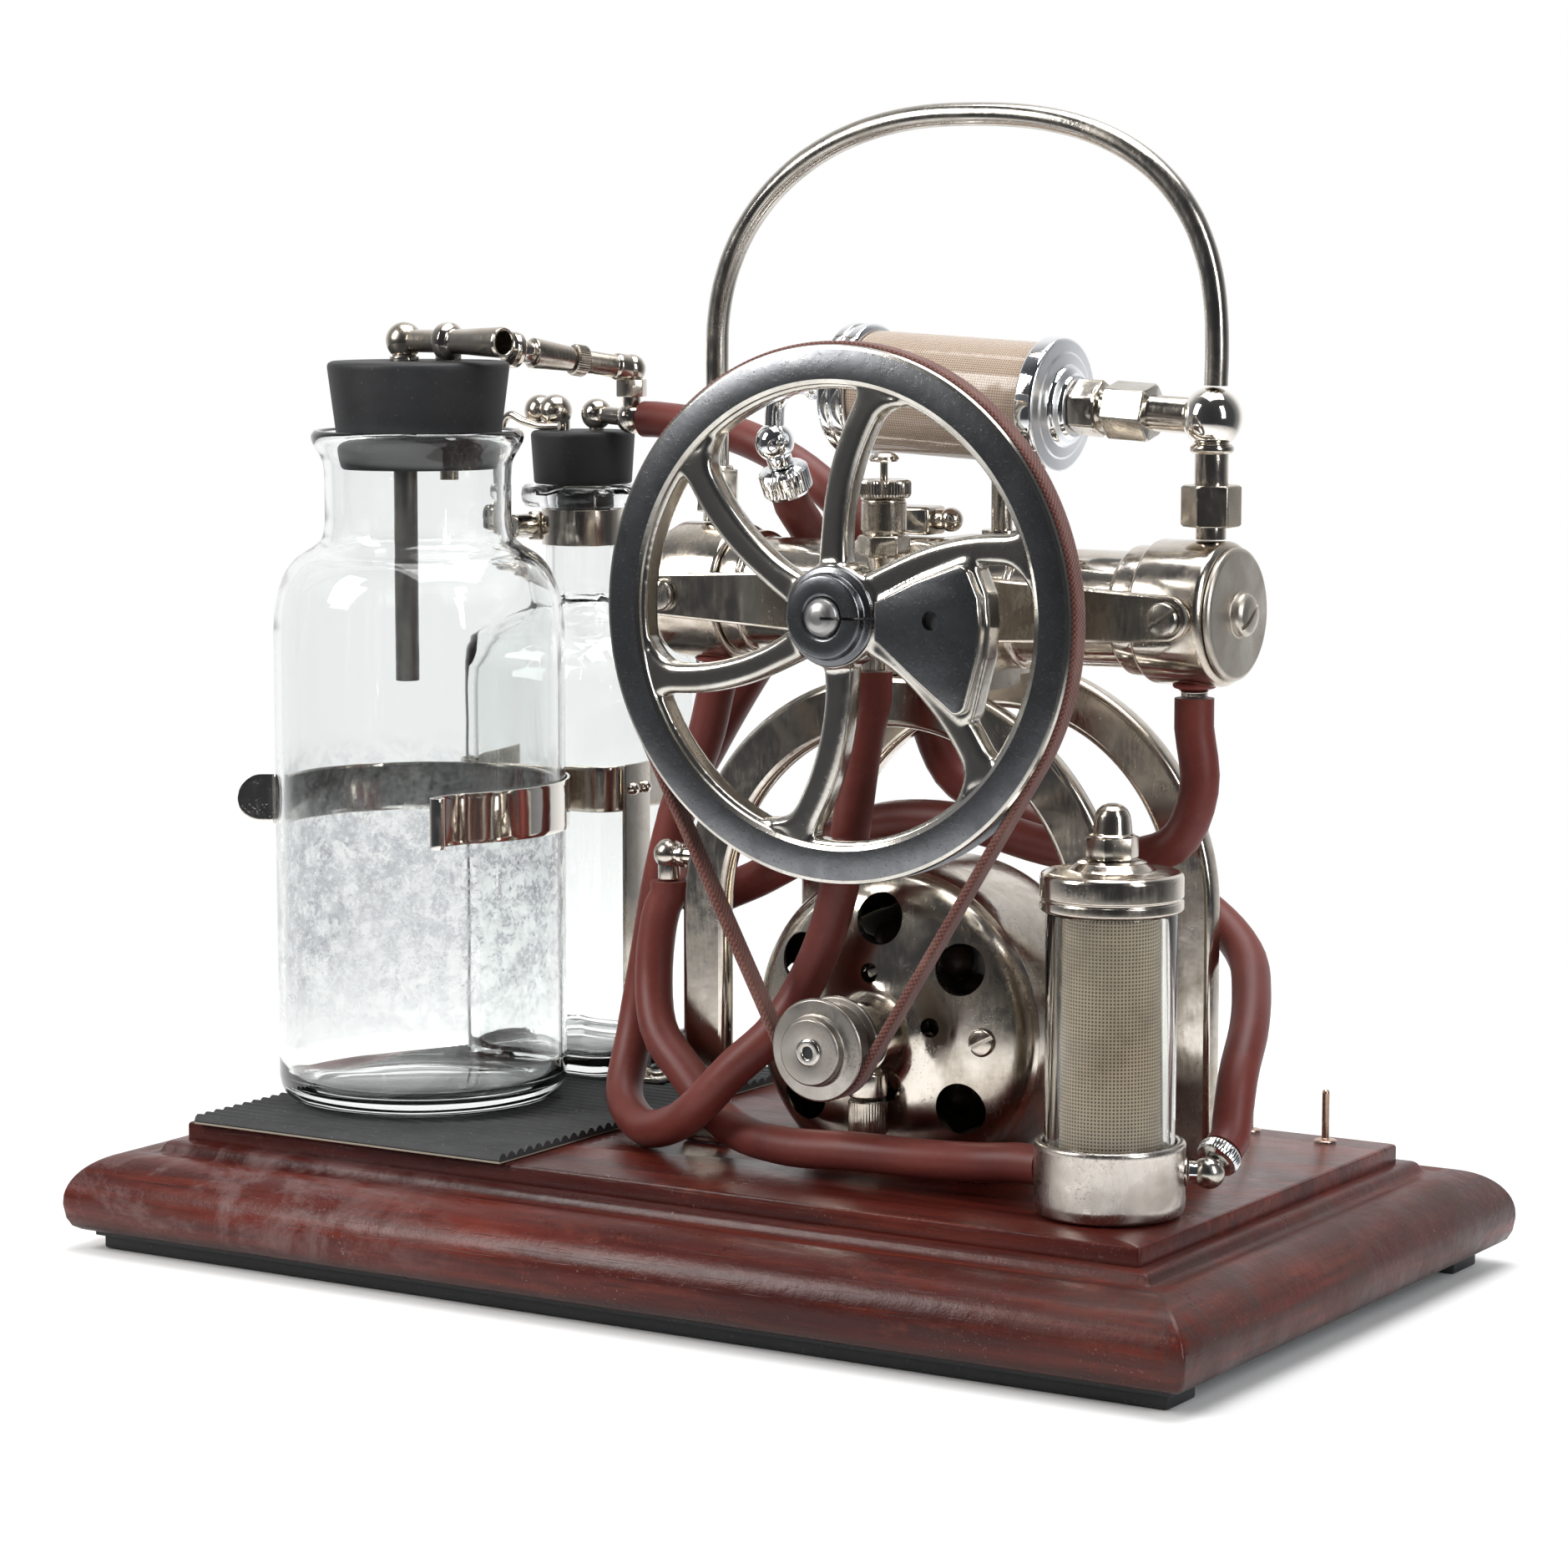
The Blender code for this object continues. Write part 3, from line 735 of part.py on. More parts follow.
HOSE_D = [(DX, DY, DZ - 8.9), (DX, DY, DZ - 13.0), (-30.0, -28.5, 117.0), (-30.5, -32.0, 96.0), (-24.0, -38.5, 79.5), (-10.7, -43.0, 68.0), (8.5, -48.5, 54.0), (34.0, -56.5, 50.9), (64.0, -59.6, 52.6),
          (88.0, -58.0, 52.6), (105.0, -54.8, 52.8), (115.0, jy, 54.0), (jx - 28.9, jy, 54.0)]
HOSE_C = [(px - 88.0, py, pz - 26.4), (px - 88.0, py, 189.0), (-28.0, -5.0, 172.0), (-36.0, -8.0, 150.0), (-42.0, -10.0, 126.0), (-46.0, -12.5, 98.0), (-47.5, -18.0, 74.0), (-43.0, -31.0, 55.0), (-26.0, -44.0, floor),
          (-8.0, -55.0, 53.0), (6.0, -62.5, 61.0), (19.6, -61.5, 75.0), (31.5, -57.0, 86.8), (38.5, -51.5, 100.0), (45.8, -50.0, 115.7), (50.6, -50.0, 130.0), (55.0, -50.0, 148.0), (58.5, -48.0, 177.0), (px - 3.0, -45.5, 194.0), (px - 3.0, -45.5, pz - 19.4)]
HOSE_A = [(px + 88.0, py, pz - 26.4), (px + 88.0, py, 186.0), (154.0, py, 167.0), (147.0, -5.0, 150.0), (128.0, -6.0, 143.5), (102.0, -6.0, 145.5), (72.0, -6.0, 151.0), (42.0, -6.0, 149.5), (14.0, -6.0, 138.0), (-12.0, -4.0, 125.0),
          (-36.0, 3.0, 118.0), (-53.0, 12.0, 126.0), (-55.0, 19.0, 144.0), (-45.0, 24.0, 166.0), (-31.0, 27.0, 190.0), (-18.0, 27.5, 208.0), (-7.0, 25.0, 224.0), (-1.0, 18.0, 238.0)]
NUT_END = BULGE + NUT_DIR * 18.9
HOSE_A += [tuple(NUT_END + NUT_DIR * 4.0), tuple(NUT_END)]
RING_END = JBALL + JDIR * 9.9
HOSE_B = [tuple(RING_END), tuple(RING_END + JDIR * 5.0), (175.0, -17.0, 81.0), (170.5, -1.0, 92.0), (163.0, 16.0, 101.0), (154.0, 31.0, 109.0), (142.0, 39.5, 117.0), (120.0, 43.0, 129.0), (88.0, 43.5, 140.0), (60.0, 42.5, 149.0), (40.0, 41.0, 160.0), (32.0, 38.5, 178.0),
          (26.0, 37.5, 200.0), (17.0, 36.0, 222.0), (5.0, 36.0, 243.0), (-12.0, 37.0, 257.0), (-34.0, 40.0, 267.0), (-56.0, 46.0, 272.0), (-72.0, 50.0, 273.6), (ball4.x + 11.0, ball4.y - 1.0, 274.4), (ball4.x + 5.9, ball4.y - 1.0, 274.4)]
for n, line in (("hose_d", HOSE_D), ("hose_c", HOSE_C), ("hose_a", HOSE_A), ("hose_b", HOSE_B)):
    hose(n, line)
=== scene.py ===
# Portable suction and pressure pump: looks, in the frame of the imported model.
#
# Every visible node gets a finely built piece in its place. All driving dimensions are in
# millimetres and every mesh is made in metres, as in the model's own source.

import math

import bmesh
import bpy
import numpy as np
from mathutils import Matrix, Vector


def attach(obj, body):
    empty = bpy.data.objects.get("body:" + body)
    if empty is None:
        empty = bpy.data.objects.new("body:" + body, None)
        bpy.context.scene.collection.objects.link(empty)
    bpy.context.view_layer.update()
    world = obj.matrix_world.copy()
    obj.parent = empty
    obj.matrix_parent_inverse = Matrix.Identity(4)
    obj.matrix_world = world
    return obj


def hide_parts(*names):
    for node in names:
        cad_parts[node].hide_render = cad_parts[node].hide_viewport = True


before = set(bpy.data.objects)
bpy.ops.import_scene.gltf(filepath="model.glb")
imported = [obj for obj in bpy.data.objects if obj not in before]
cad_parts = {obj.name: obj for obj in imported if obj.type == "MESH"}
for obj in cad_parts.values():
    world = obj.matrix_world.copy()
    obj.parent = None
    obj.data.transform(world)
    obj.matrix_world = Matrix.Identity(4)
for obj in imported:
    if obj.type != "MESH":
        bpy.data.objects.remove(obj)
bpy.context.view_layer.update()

MM = 0.001
GAP = 0.3
FINE = 1.5  # facets per nominal facet

BASE_L, BASE_W, BASE_Z0, STEP_Z, PLAT_Z, PLAT_INSET = 420.0, 241.6, 7.0, 35.7, 41.8, 30.0
MAT_Z, MAT_X, MAT_Y = 45.3, (-174.5, -48.9), (-93.8, 88.0)
BOTTLE, BOTTLE_R, BOTTLE_TOP = (-129.9, -25.2), 49.1, 272.5
ETHER, ETHER_HALF, ETHER_CHAMFER, ETHER_TOP = (-121.3, 60.0), 32.5, 9.0, 250.8
PUMP_X, PUMP_Y, PUMP_Z = 64.0, -4.0, 221.5
BARREL_R, BORE_R, HEAD_R, HEAD_IN, HEAD_OUT = 18.2, 14.0, 22.4, 75.5, 100.4
WHEEL_Y0, WHEEL_Y1, WHEEL_R, WHEEL_IN, WHEEL_GROOVE = -75.5, -64.5, 82.7, 70.2, 80.6
MOTOR_X, MOTOR_Z, MOTOR_R, PULLEY_GROOVE = 59.5, 86.8, 51.3, 13.2
BELT_W, BELT_T, BELT_Y = 7.0, 2.7, -70.0
ARCH_FRONT, ARCH_REAR = (-31.0, -24.0), (22.0, 30.0)
FRONT_ARC, REAR_ARC = (60.3, 119.0, 80.8, 64.0), (68.8, 124.1, 76.8, 61.0)
JAR = (150.0, -53.5)
HANDLE_X, HANDLE_Z, HANDLE_A, HANDLE_B, RISER_X, ROD_R, HOSE_R = 67.5, 301.0, 90.9, 73.9, 157.0, 3.7, 6.2
OIL_X, OIL_Y, DRIP_Y = 64.0, -44.0, -45.5
px, py, pz = PUMP_X, PUMP_Y, PUMP_Z
bx, by = BOTTLE
ex, ey = ETHER
jx, jy = JAR
foot_z = PLAT_Z + GAP
z0 = MAT_Z + GAP

# ==== camera ========================================================================
cam_data = bpy.data.cameras.new("camera")
cam = bpy.data.objects.new("camera", cam_data)
bpy.context.scene.collection.objects.link(cam)
turn, tilt = math.radians(32.10), math.radians(6.82)
forward = Vector((-math.sin(turn) * math.cos(tilt), math.cos(turn) * math.cos(tilt), -math.sin(tilt)))
cam.location = (0.7745, -1.2350, 0.3326)
cam.rotation_euler = forward.to_track_quat("-Z", "Y").to_euler()
cam_data.sensor_width = 36.0
cam_data.lens = 5350.0 / 1878.0 * 36.0
cam_data.clip_start, cam_data.clip_end = 0.01, 50.0
bpy.context.scene.camera = cam


# ==== materials =====================================================================
class Nodes:
    """A small helper that builds one Principled material from procedural nodes."""

    def __init__(self, name):
        self.mat = bpy.data.materials.new(name)
        self.mat.use_nodes = True
        self.t = self.mat.node_tree
        self.b = self.t.nodes["Principled BSDF"]
        self.coord = self.t.nodes.new("ShaderNodeTexCoord")

    def new(self, kind, **inputs):
        n = self.t.nodes.new(kind)
        for k, v in inputs.items():
            if k in ("operation", "blend_type", "data_type", "wave_type", "bands_direction", "wave_profile", "feature", "distance", "musgrave_type", "noise_dimensions", "clamp"):
                setattr(n, k, v)
        return n

    def link(self, a, b):
        self.t.links.new(a, b)

    def mapped(self, scale=(1, 1, 1), offset=(0, 0, 0), rotation=(0, 0, 0), source="Object"):
        m = self.t.nodes.new("ShaderNodeMapping")
        m.inputs["Scale"].default_value = scale
        m.inputs["Location"].default_value = offset
        m.inputs["Rotation"].default_value = rotation
        self.link(self.coord.outputs[source], m.inputs["Vector"])
        return m.outputs["Vector"]

    def noise(self, scale, detail=4.0, rough=0.55, vector=None, distortion=0.0):
        n = self.t.nodes.new("ShaderNodeTexNoise")
        n.inputs["Scale"].default_value = scale
        n.inputs["Detail"].default_value = detail
        n.inputs["Roughness"].default_value = rough
        n.inputs["Distortion"].default_value = distortion
        self.link(vector or self.coord.outputs["Object"], n.inputs["Vector"])
        return n.outputs["Fac"]

    def ramp(self, value, stops):
        """Linear ramp from value to colour or grey; stops are (position, colour or grey)."""
        r = self.t.nodes.new("ShaderNodeValToRGB")
        e = r.color_ramp.elements
        while len(e) < len(stops):
            e.new(0.5)
        for el, (p, c) in zip(e, stops):
            el.position = p
            el.color = (c, c, c, 1.0) if isinstance(c, (int, float)) else (*c, 1.0)
        self.link(value, r.inputs["Fac"])
        return r.outputs["Color"]

    def maths(self, op, a, b=None, c=None, clamp=False):
        n = self.t.nodes.new("ShaderNodeMath")
        n.operation, n.use_clamp = op, clamp
        for i, v in enumerate((a, b, c)):
            if v is None:
                continue
            if isinstance(v, (int, float)):
                n.inputs[i].default_value = v
            else:
                self.link(v, n.inputs[i])
        return n.outputs[0]

    def mix(self, fac, a, b, kind="MIX"):
        n = self.t.nodes.new("ShaderNodeMix")
        n.data_type, n.blend_type = "RGBA", kind
        ins = {"fac": n.inputs[0], "a": n.inputs[6], "b": n.inputs[7]}
        for key, v in (("fac", fac), ("a", a), ("b", b)):
            if isinstance(v, (int, float)):
                ins[key].default_value = v
            elif isinstance(v, tuple):
                ins[key].default_value = (*v, 1.0)
            else:
                self.link(v, ins[key])
        return n.outputs[2]

    def bump(self, height, strength, distance, normal=None):
        n = self.t.nodes.new("ShaderNodeBump")
        n.inputs["Strength"].default_value = strength
        n.inputs["Distance"].default_value = distance
        self.link(height, n.inputs["Height"])
        if normal is not None:
            self.link(normal, n.inputs["Normal"])
        return n.outputs["Normal"]

    def xyz(self, source="Object"):
        n = self.t.nodes.new("ShaderNodeSeparateXYZ")
        self.link(self.coord.outputs[source], n.inputs[0])
        return n.outputs

    def set(self, **values):
        names = {"colour": "Base Color", "rough": "Roughness", "metal": "Metallic", "normal": "Normal", "coat": "Coat Weight", "coat_rough": "Coat Roughness", "spec": "Specular IOR Level",
                 "ior": "IOR", "trans": "Transmission Weight", "sheen": "Sheen Weight", "sheen_rough": "Sheen Roughness", "alpha": "Alpha", "aniso": "Anisotropic"}
        for k, v in values.items():
            s = self.b.inputs[names[k]]
            if isinstance(v, (int, float)):
                s.default_value = v
            elif isinstance(v, tuple):
                s.default_value = (*v, 1.0)
            else:
                self.link(v, s)
        return self.mat


def plated(name, bright, dull, dark, dull_at=(0.50, 0.66), speck=0.60, rough=(0.10, 0.30), grime=1.0):
    """Polished plate with cloudy tarnish, small dark pits and fine wiping marks."""
    n = Nodes(name)
    cloud = n.noise(34.0, 6.0, 0.62, distortion=0.6)
    cloud2 = n.noise(120.0, 5.0, 0.6)
    tarnish = n.ramp(n.maths("ADD", n.maths("MULTIPLY", cloud, 0.7), n.maths("MULTIPLY", cloud2, 0.3)), [(dull_at[0], 0.0), (dull_at[1], 1.0)])
    pits = n.ramp(n.noise(1150.0, 2.0, 0.5), [(speck, 0.0), (speck + 0.10, 1.0)])
    pits2 = n.ramp(n.noise(48.0, 3.0, 0.5), [(0.52, 0.0), (0.70, 1.0)])
    spots = n.maths("MULTIPLY", n.maths("MULTIPLY", pits, pits2), 0.8)
    colour = n.mix(n.maths("MULTIPLY", tarnish, 0.75 * grime), bright, dull)
    colour = n.mix(n.maths("MULTIPLY", spots, 0.6), colour, dark)
    r = n.maths("ADD", n.maths("MULTIPLY", tarnish, rough[1] - rough[0]), rough[0])
    r = n.maths("ADD", r, n.maths("MULTIPLY", spots, 0.10))
    fine = n.noise(1.0, 3.0, 0.6, vector=n.mapped(scale=(900, 900, 140)))
    r = n.maths("ADD", r, n.maths("MULTIPLY", n.ramp(fine, [(0.45, 0.0), (0.75, 1.0)]), 0.07))
    nrm = n.bump(n.noise(75.0, 3.0, 0.5), 0.06, 0.0016)
    nrm = n.bump(spots, 0.15, 0.0002, nrm)
    return n.set(colour=colour, rough=r, metal=1.0, normal=nrm)


NICKEL = plated("nickel_plate", (0.66, 0.61, 0.545), (0.42, 0.36, 0.285), (0.15, 0.12, 0.09), dull_at=(0.42, 0.62), rough=(0.09, 0.29))
SATIN = plated("satin_nickel", (0.60, 0.565, 0.51), (0.42, 0.375, 0.32), (0.20, 0.17, 0.13), dull_at=(0.40, 0.60), rough=(0.24, 0.44))
NICKEL_OLD = plated("nickel_worn", (0.58, 0.55, 0.50), (0.34, 0.31, 0.27), (0.10, 0.085, 0.07), dull_at=(0.42, 0.62), speck=0.58, rough=(0.12, 0.30))
CHROME = plated("chrome_plate", (0.86, 0.87, 0.88), (0.74, 0.74, 0.74), (0.30, 0.28, 0.26), dull_at=(0.58, 0.75), speck=0.68, rough=(0.04, 0.12), grime=0.5)
TOP_METAL = plated("bright_nickel", (0.84, 0.80, 0.74), (0.62, 0.56, 0.48), (0.20, 0.16, 0.12), dull_at=(0.54, 0.72), speck=0.62, rough=(0.07, 0.22), grime=0.8)
# painted highlight: a brighter, bluer copy of the chrome for the right filter cap's end face, rougher there as a faced
# finish
FACED_CHROME_HIGHLIGHT = plated("faced_chrome_painted_highlight", (0.93, 0.95, 0.98), (0.80, 0.82, 0.86), (0.40, 0.40, 0.42), dull_at=(0.55, 0.75), speck=0.68, rough=(0.30, 0.40), grime=0.5)
SHAFT = plated("shaft_steel", (0.46, 0.46, 0.465), (0.32, 0.315, 0.31), (0.10, 0.10, 0.10), dull_at=(0.42, 0.62), rough=(0.24, 0.38))
PULLEY = plated("pulley_steel", (0.40, 0.375, 0.345), (0.28, 0.25, 0.22), (0.10, 0.085, 0.07), dull_at=(0.42, 0.62), speck=0.56, rough=(0.26, 0.42))
CUP = plated("cup_nickel", (0.56, 0.52, 0.475), (0.38, 0.33, 0.28), (0.17, 0.14, 0.11), dull_at=(0.44, 0.62), speck=0.57, rough=(0.24, 0.42))
COPPER = plated("copper_pin", (0.55, 0.38, 0.30), (0.30, 0.20, 0.16), (0.10, 0.07, 0.06), rough=(0.25, 0.45))


def ground_steel():
    """The wheel's ground flat faces: blue grey, scratched and pitted."""
    n = Nodes("ground_steel")
    cloud = n.noise(42.0, 6.0, 0.65, distortion=0.4)
    pits = n.ramp(n.noise(1050.0, 2.0, 0.5), [(0.62, 0.0), (0.72, 1.0)])
    big = n.ramp(n.noise(150.0, 4.0, 0.6), [(0.60, 0.0), (0.72, 1.0)])
    colour = n.mix(n.ramp(cloud, [(0.35, 0.0), (0.7, 1.0)]), (0.225, 0.23, 0.24), (0.13, 0.135, 0.145))
    colour = n.mix(n.maths("MULTIPLY", pits, 0.35), colour, (0.07, 0.072, 0.08))
    colour = n.mix(n.maths("MULTIPLY", big, 0.4), colour, (0.11, 0.11, 0.112))
    r = n.maths("ADD", n.maths("MULTIPLY", cloud, 0.26), 0.13)
    r = n.maths("ADD", r, n.maths("MULTIPLY", pits, 0.05))
    nrm = n.bump(n.noise(120.0, 4.0, 0.6), 0.08, 0.0010)
    nrm = n.bump(pits, 0.1, 0.0002, nrm)
    return n.set(colour=colour, rough=r, metal=1.0, normal=nrm)


def cast_plate():
    """The wheel's rounded parts: nickel over a cast surface, brighter on the crowns."""
    n = Nodes("cast_plate")
    cloud = n.noise(55.0, 6.0, 0.65, distortion=0.4)
    pits = n.ramp(n.noise(1000.0, 2.0, 0.5), [(0.64, 0.0), (0.74, 1.0)])
    colour = n.mix(n.ramp(cloud, [(0.38, 0.0), (0.72, 1.0)]), (0.62, 0.60, 0.555), (0.40, 0.375, 0.335))
    colour = n.mix(n.maths("MULTIPLY", pits, 0.4), colour, (0.13, 0.115, 0.10))
    r = n.maths("ADD", n.maths("MULTIPLY", cloud, 0.20), 0.08)
    r = n.maths("ADD", r, n.maths("MULTIPLY", pits, 0.06))
    nrm = n.bump(n.noise(90.0, 3.0, 0.5), 0.07, 0.0014)
    nrm = n.bump(pits, 0.1, 0.0002, nrm)
    return n.set(colour=colour, rough=r, metal=1.0, normal=nrm)


GROUND, CAST = ground_steel(), cast_plate()


def mahogany(name, along_y=False):
    """French-polished mahogany: dark red, fine pores along the grain, scuffs, dust, grey patches that are partly bloom
    and partly painted sheen, and painted shade along the foot.
    """
    n = Nodes(name)
    s = (60.0, 4.0, 60.0) if along_y else (4.0, 60.0, 60.0)
    pore_s = (1500.0, 40.0, 1500.0) if along_y else (40.0, 1500.0, 1500.0)
    grain = n.noise(1.0, 8.0, 0.62, vector=n.mapped(scale=s), distortion=0.8)
    streak = n.noise(1.0, 5.0, 0.6, vector=n.mapped(scale=tuple(v * 5 for v in s)))
    pores = n.ramp(n.noise(1.0, 2.0, 0.5, vector=n.mapped(scale=pore_s)), [(0.62, 0.0), (0.72, 1.0)])
    colour = n.ramp(grain, [(0.26, (0.024, 0.0038, 0.0030)), (0.42, (0.060, 0.0088, 0.0062)), (0.58, (0.112, 0.0165, 0.0100)), (0.76, (0.180, 0.030, 0.0165))])
    colour = n.mix(n.maths("MULTIPLY", n.ramp(streak, [(0.42, 0.0), (0.66, 1.0)]), 0.62), colour, (0.032, 0.0050, 0.0040))
    flame = n.noise(1.0, 5.0, 0.65, vector=n.mapped(scale=tuple(v * 3.1 for v in s), offset=(0.4, 1.7, 0.9)))
    colour = n.mix(n.maths("MULTIPLY", n.ramp(flame, [(0.55, 0.0), (0.75, 1.0)]), 0.40), colour, (0.235, 0.040, 0.019))
    colour = n.mix(n.maths("MULTIPLY", pores, 0.6), colour, (0.03, 0.004, 0.003))
    x, y, z = n.xyz()
    # grey towards the ends, on the moulding: partly bloom and partly a painted sheen where light reflects; a lighter
    # grey of dust and painted sheen on the left end, darker patches on the right end
    ends = n.maths("MULTIPLY", n.maths("SUBTRACT", n.maths("ABSOLUTE", x), 0.125), 11.0, clamp=True)
    low = n.maths("MULTIPLY", n.maths("SUBTRACT", 0.0375, z), 300.0, clamp=True)
    # bloom mask: grey towards both ends of the moulding, partly bloom and partly painted sheen
    bloom = n.ramp(n.noise(16.0, 7.0, 0.68, distortion=0.8), [(0.42, 0.0), (0.60, 1.0)])
    bloom = n.maths("MULTIPLY", n.maths("MULTIPLY", bloom, ends), low)
    # painted sheen with dust: a lighter grey on the left end of the moulding
    left = n.maths("MULTIPLY", n.maths("SUBTRACT", -0.03, x), 12.0, clamp=True)
    dust_and_sheen = n.ramp(n.noise(34.0, 8.0, 0.75, distortion=0.5), [(0.46, 0.0), (0.58, 1.0)])
    dust_and_sheen = n.maths("MULTIPLY", n.maths("MULTIPLY", dust_and_sheen, left), low)
    colour = n.mix(n.maths("MULTIPLY", dust_and_sheen, 0.50), colour, (0.190, 0.120, 0.115))
    right = n.maths("MULTIPLY", n.maths("SUBTRACT", x, 0.10), 9.0, clamp=True)
    patch = n.ramp(n.noise(27.0, 7.0, 0.72, distortion=0.6), [(0.47, 0.0), (0.58, 1.0)])
    patch = n.maths("MULTIPLY", n.maths("MULTIPLY", patch, right), low)
    colour = n.mix(n.maths("MULTIPLY", patch, 0.72), colour, (0.040, 0.022, 0.019))
    colour = n.mix(n.maths("MULTIPLY", bloom, 0.45), colour, (0.060, 0.038, 0.032))
    # painted shade: the wood below 12.5 mm, under the moulding's overhang, darkened towards the floor
    foot = n.maths("MULTIPLY", n.maths("SUBTRACT", 0.0125, z), 260.0, clamp=True)
    colour = n.mix(n.maths("MULTIPLY", foot, 0.75), colour, (0.022, 0.010, 0.008))
    # dark knocks and rubbed patches
    knocks = n.ramp(n.noise(44.0, 5.0, 0.7), [(0.66, 0.0), (0.72, 1.0)])
    colour = n.mix(n.maths("MULTIPLY", knocks, 0.7), colour, (0.035, 0.008, 0.006))
    rub = n.ramp(n.noise(1.0, 6.0, 0.7, vector=n.mapped(scale=(38, 38, 90), offset=(3.1, 0.7, 1.9))), [(0.60, 0.0), (0.74, 1.0)])
    colour = n.mix(n.maths("MULTIPLY", rub, 0.35), colour, (0.24, 0.050, 0.028))
    dust = n.ramp(n.noise(1000.0, 2.0, 0.5), [(0.66, 0.0), (0.71, 1.0)])
    dust = n.maths("MULTIPLY", dust, n.ramp(n.noise(30.0, 4.0, 0.6), [(0.48, 0.0), (0.68, 1.0)]))
    colour = n.mix(n.maths("MULTIPLY", dust, 0.55), colour, (0.30, 0.21, 0.18))
    r = n.maths("ADD", n.maths("MULTIPLY", n.noise(60.0, 6.0, 0.7), 0.36), 0.14)
    r = n.maths("ADD", r, n.maths("MULTIPLY", bloom, 0.22))
    r = n.maths("ADD", r, n.maths("MULTIPLY", dust, 0.3))
    nrm = n.bump(grain, 0.06, 0.0012)
    nrm = n.bump(pores, 0.25, -0.0002, nrm)
    nrm = n.bump(n.noise(85.0, 6.0, 0.68), 0.34, 0.0012, nrm)
    nrm = n.bump(knocks, 0.5, -0.0004, nrm)
    return n.set(colour=colour, rough=r, normal=nrm, coat=0.05, coat_rough=0.16, spec=0.22)


WOOD_X, WOOD_Y = mahogany("mahogany_long"), mahogany("mahogany_cross", True)


def black_rubber(name, colour=(0.018, 0.019, 0.021), rough=0.52, dust=0.35):
    n = Nodes(name)
    cloud = n.noise(50.0, 6.0, 0.65)
    grain = n.noise(1400.0, 3.0, 0.6)
    c = n.mix(n.ramp(cloud, [(0.35, 0.0), (0.75, 1.0)]), colour, tuple(v * 1.9 + 0.004 for v in colour))
    specks = n.ramp(n.noise(900.0, 2.0, 0.5), [(0.66, 0.0), (0.76, 1.0)])
    c = n.mix(n.maths("MULTIPLY", specks, dust), c, (0.16, 0.15, 0.14))
    r = n.maths("ADD", n.maths("MULTIPLY", cloud, 0.25), rough - 0.1)
    nrm = n.bump(grain, 0.18, 0.0003)
    return n.set(colour=c, rough=r, normal=nrm, spec=0.45)


BLACK = black_rubber("stopper_rubber", (0.0105, 0.011, 0.0125), 0.56, 0.25)
RIBBED = black_rubber("ribbed_rubber", (0.024, 0.025, 0.026), 0.66, 0.6)


def red_rubber():
    n = Nodes("red_tube_rubber")
    cloud = n.noise(30.0, 6.0, 0.62, distortion=0.5)
    cloud2 = n.noise(170.0, 4.0, 0.6)
    c = n.mix(n.ramp(cloud, [(0.32, 0.0), (0.74, 1.0)]), (0.105, 0.018, 0.0135), (0.175, 0.033, 0.024))
    c = n.mix(n.maths("MULTIPLY", n.ramp(cloud2, [(0.5, 0.0), (0.8, 1.0)]), 0.35), c, (0.095, 0.019, 0.016))
    bloom = n.ramp(n.noise(620.0, 3.0, 0.6), [(0.58, 0.0), (0.80, 1.0)])
    c = n.mix(n.maths("MULTIPLY", bloom, 0.14), c, (0.36, 0.15, 0.12))
    r = n.maths("ADD", n.maths("MULTIPLY", cloud, 0.22), 0.36)
    nrm = n.bump(n.noise(900.0, 3.0, 0.6), 0.07, 0.0003)
    return n.set(colour=c, rough=r, normal=nrm, spec=0.36, sheen=0.03, sheen_rough=0.5)


RED = red_rubber()


def woven(name, ground, thread, light, pitch_u, pitch_v, twill=True, rough=0.85):
    """Cloth from the mesh's own flat coordinates (in metres): threads over and under, or a diagonal twill."""
    n = Nodes(name)
    uv = n.coord.outputs["UV"]
    sep = n.t.nodes.new("ShaderNodeSeparateXYZ")
    n.link(uv, sep.inputs[0])
    u, v = sep.outputs[0], sep.outputs[1]
    if twill:
        a = n.maths("SINE", n.maths("MULTIPLY", n.maths("ADD", u, v), 2 * math.pi / pitch_u))
        b = n.maths("SINE", n.maths("MULTIPLY", n.maths("SUBTRACT", u, v), 2 * math.pi / pitch_v))
        h = n.maths("MULTIPLY", n.maths("ADD", n.maths("MULTIPLY", a, 0.6), n.maths("MULTIPLY", b, 0.4)), 1.0)
    else:
        a = n.maths("SINE", n.maths("MULTIPLY", u, 2 * math.pi / pitch_u))
        b = n.maths("SINE", n.maths("MULTIPLY", v, 2 * math.pi / pitch_v))
        h = n.maths("MAXIMUM", a, b)
    h01 = n.maths("ADD", n.maths("MULTIPLY", h, 0.5), 0.5)
    blotch = n.noise(70.0, 5.0, 0.65)
    c = n.mix(n.ramp(h01, [(0.25, 0.0), (0.9, 1.0)]), ground, thread)
    c = n.mix(n.maths("MULTIPLY", n.ramp(blotch, [(0.45, 0.0), (0.75, 1.0)]), 0.5), c, light)
    nrm = n.bump(h01, 0.55, 0.0004)
    nrm = n.bump(n.noise(1500.0, 2.0, 0.6), 0.2, 0.0002, nrm)
    return n.set(colour=c, rough=rough, normal=nrm, spec=0.25, sheen=0.2, sheen_rough=0.6)


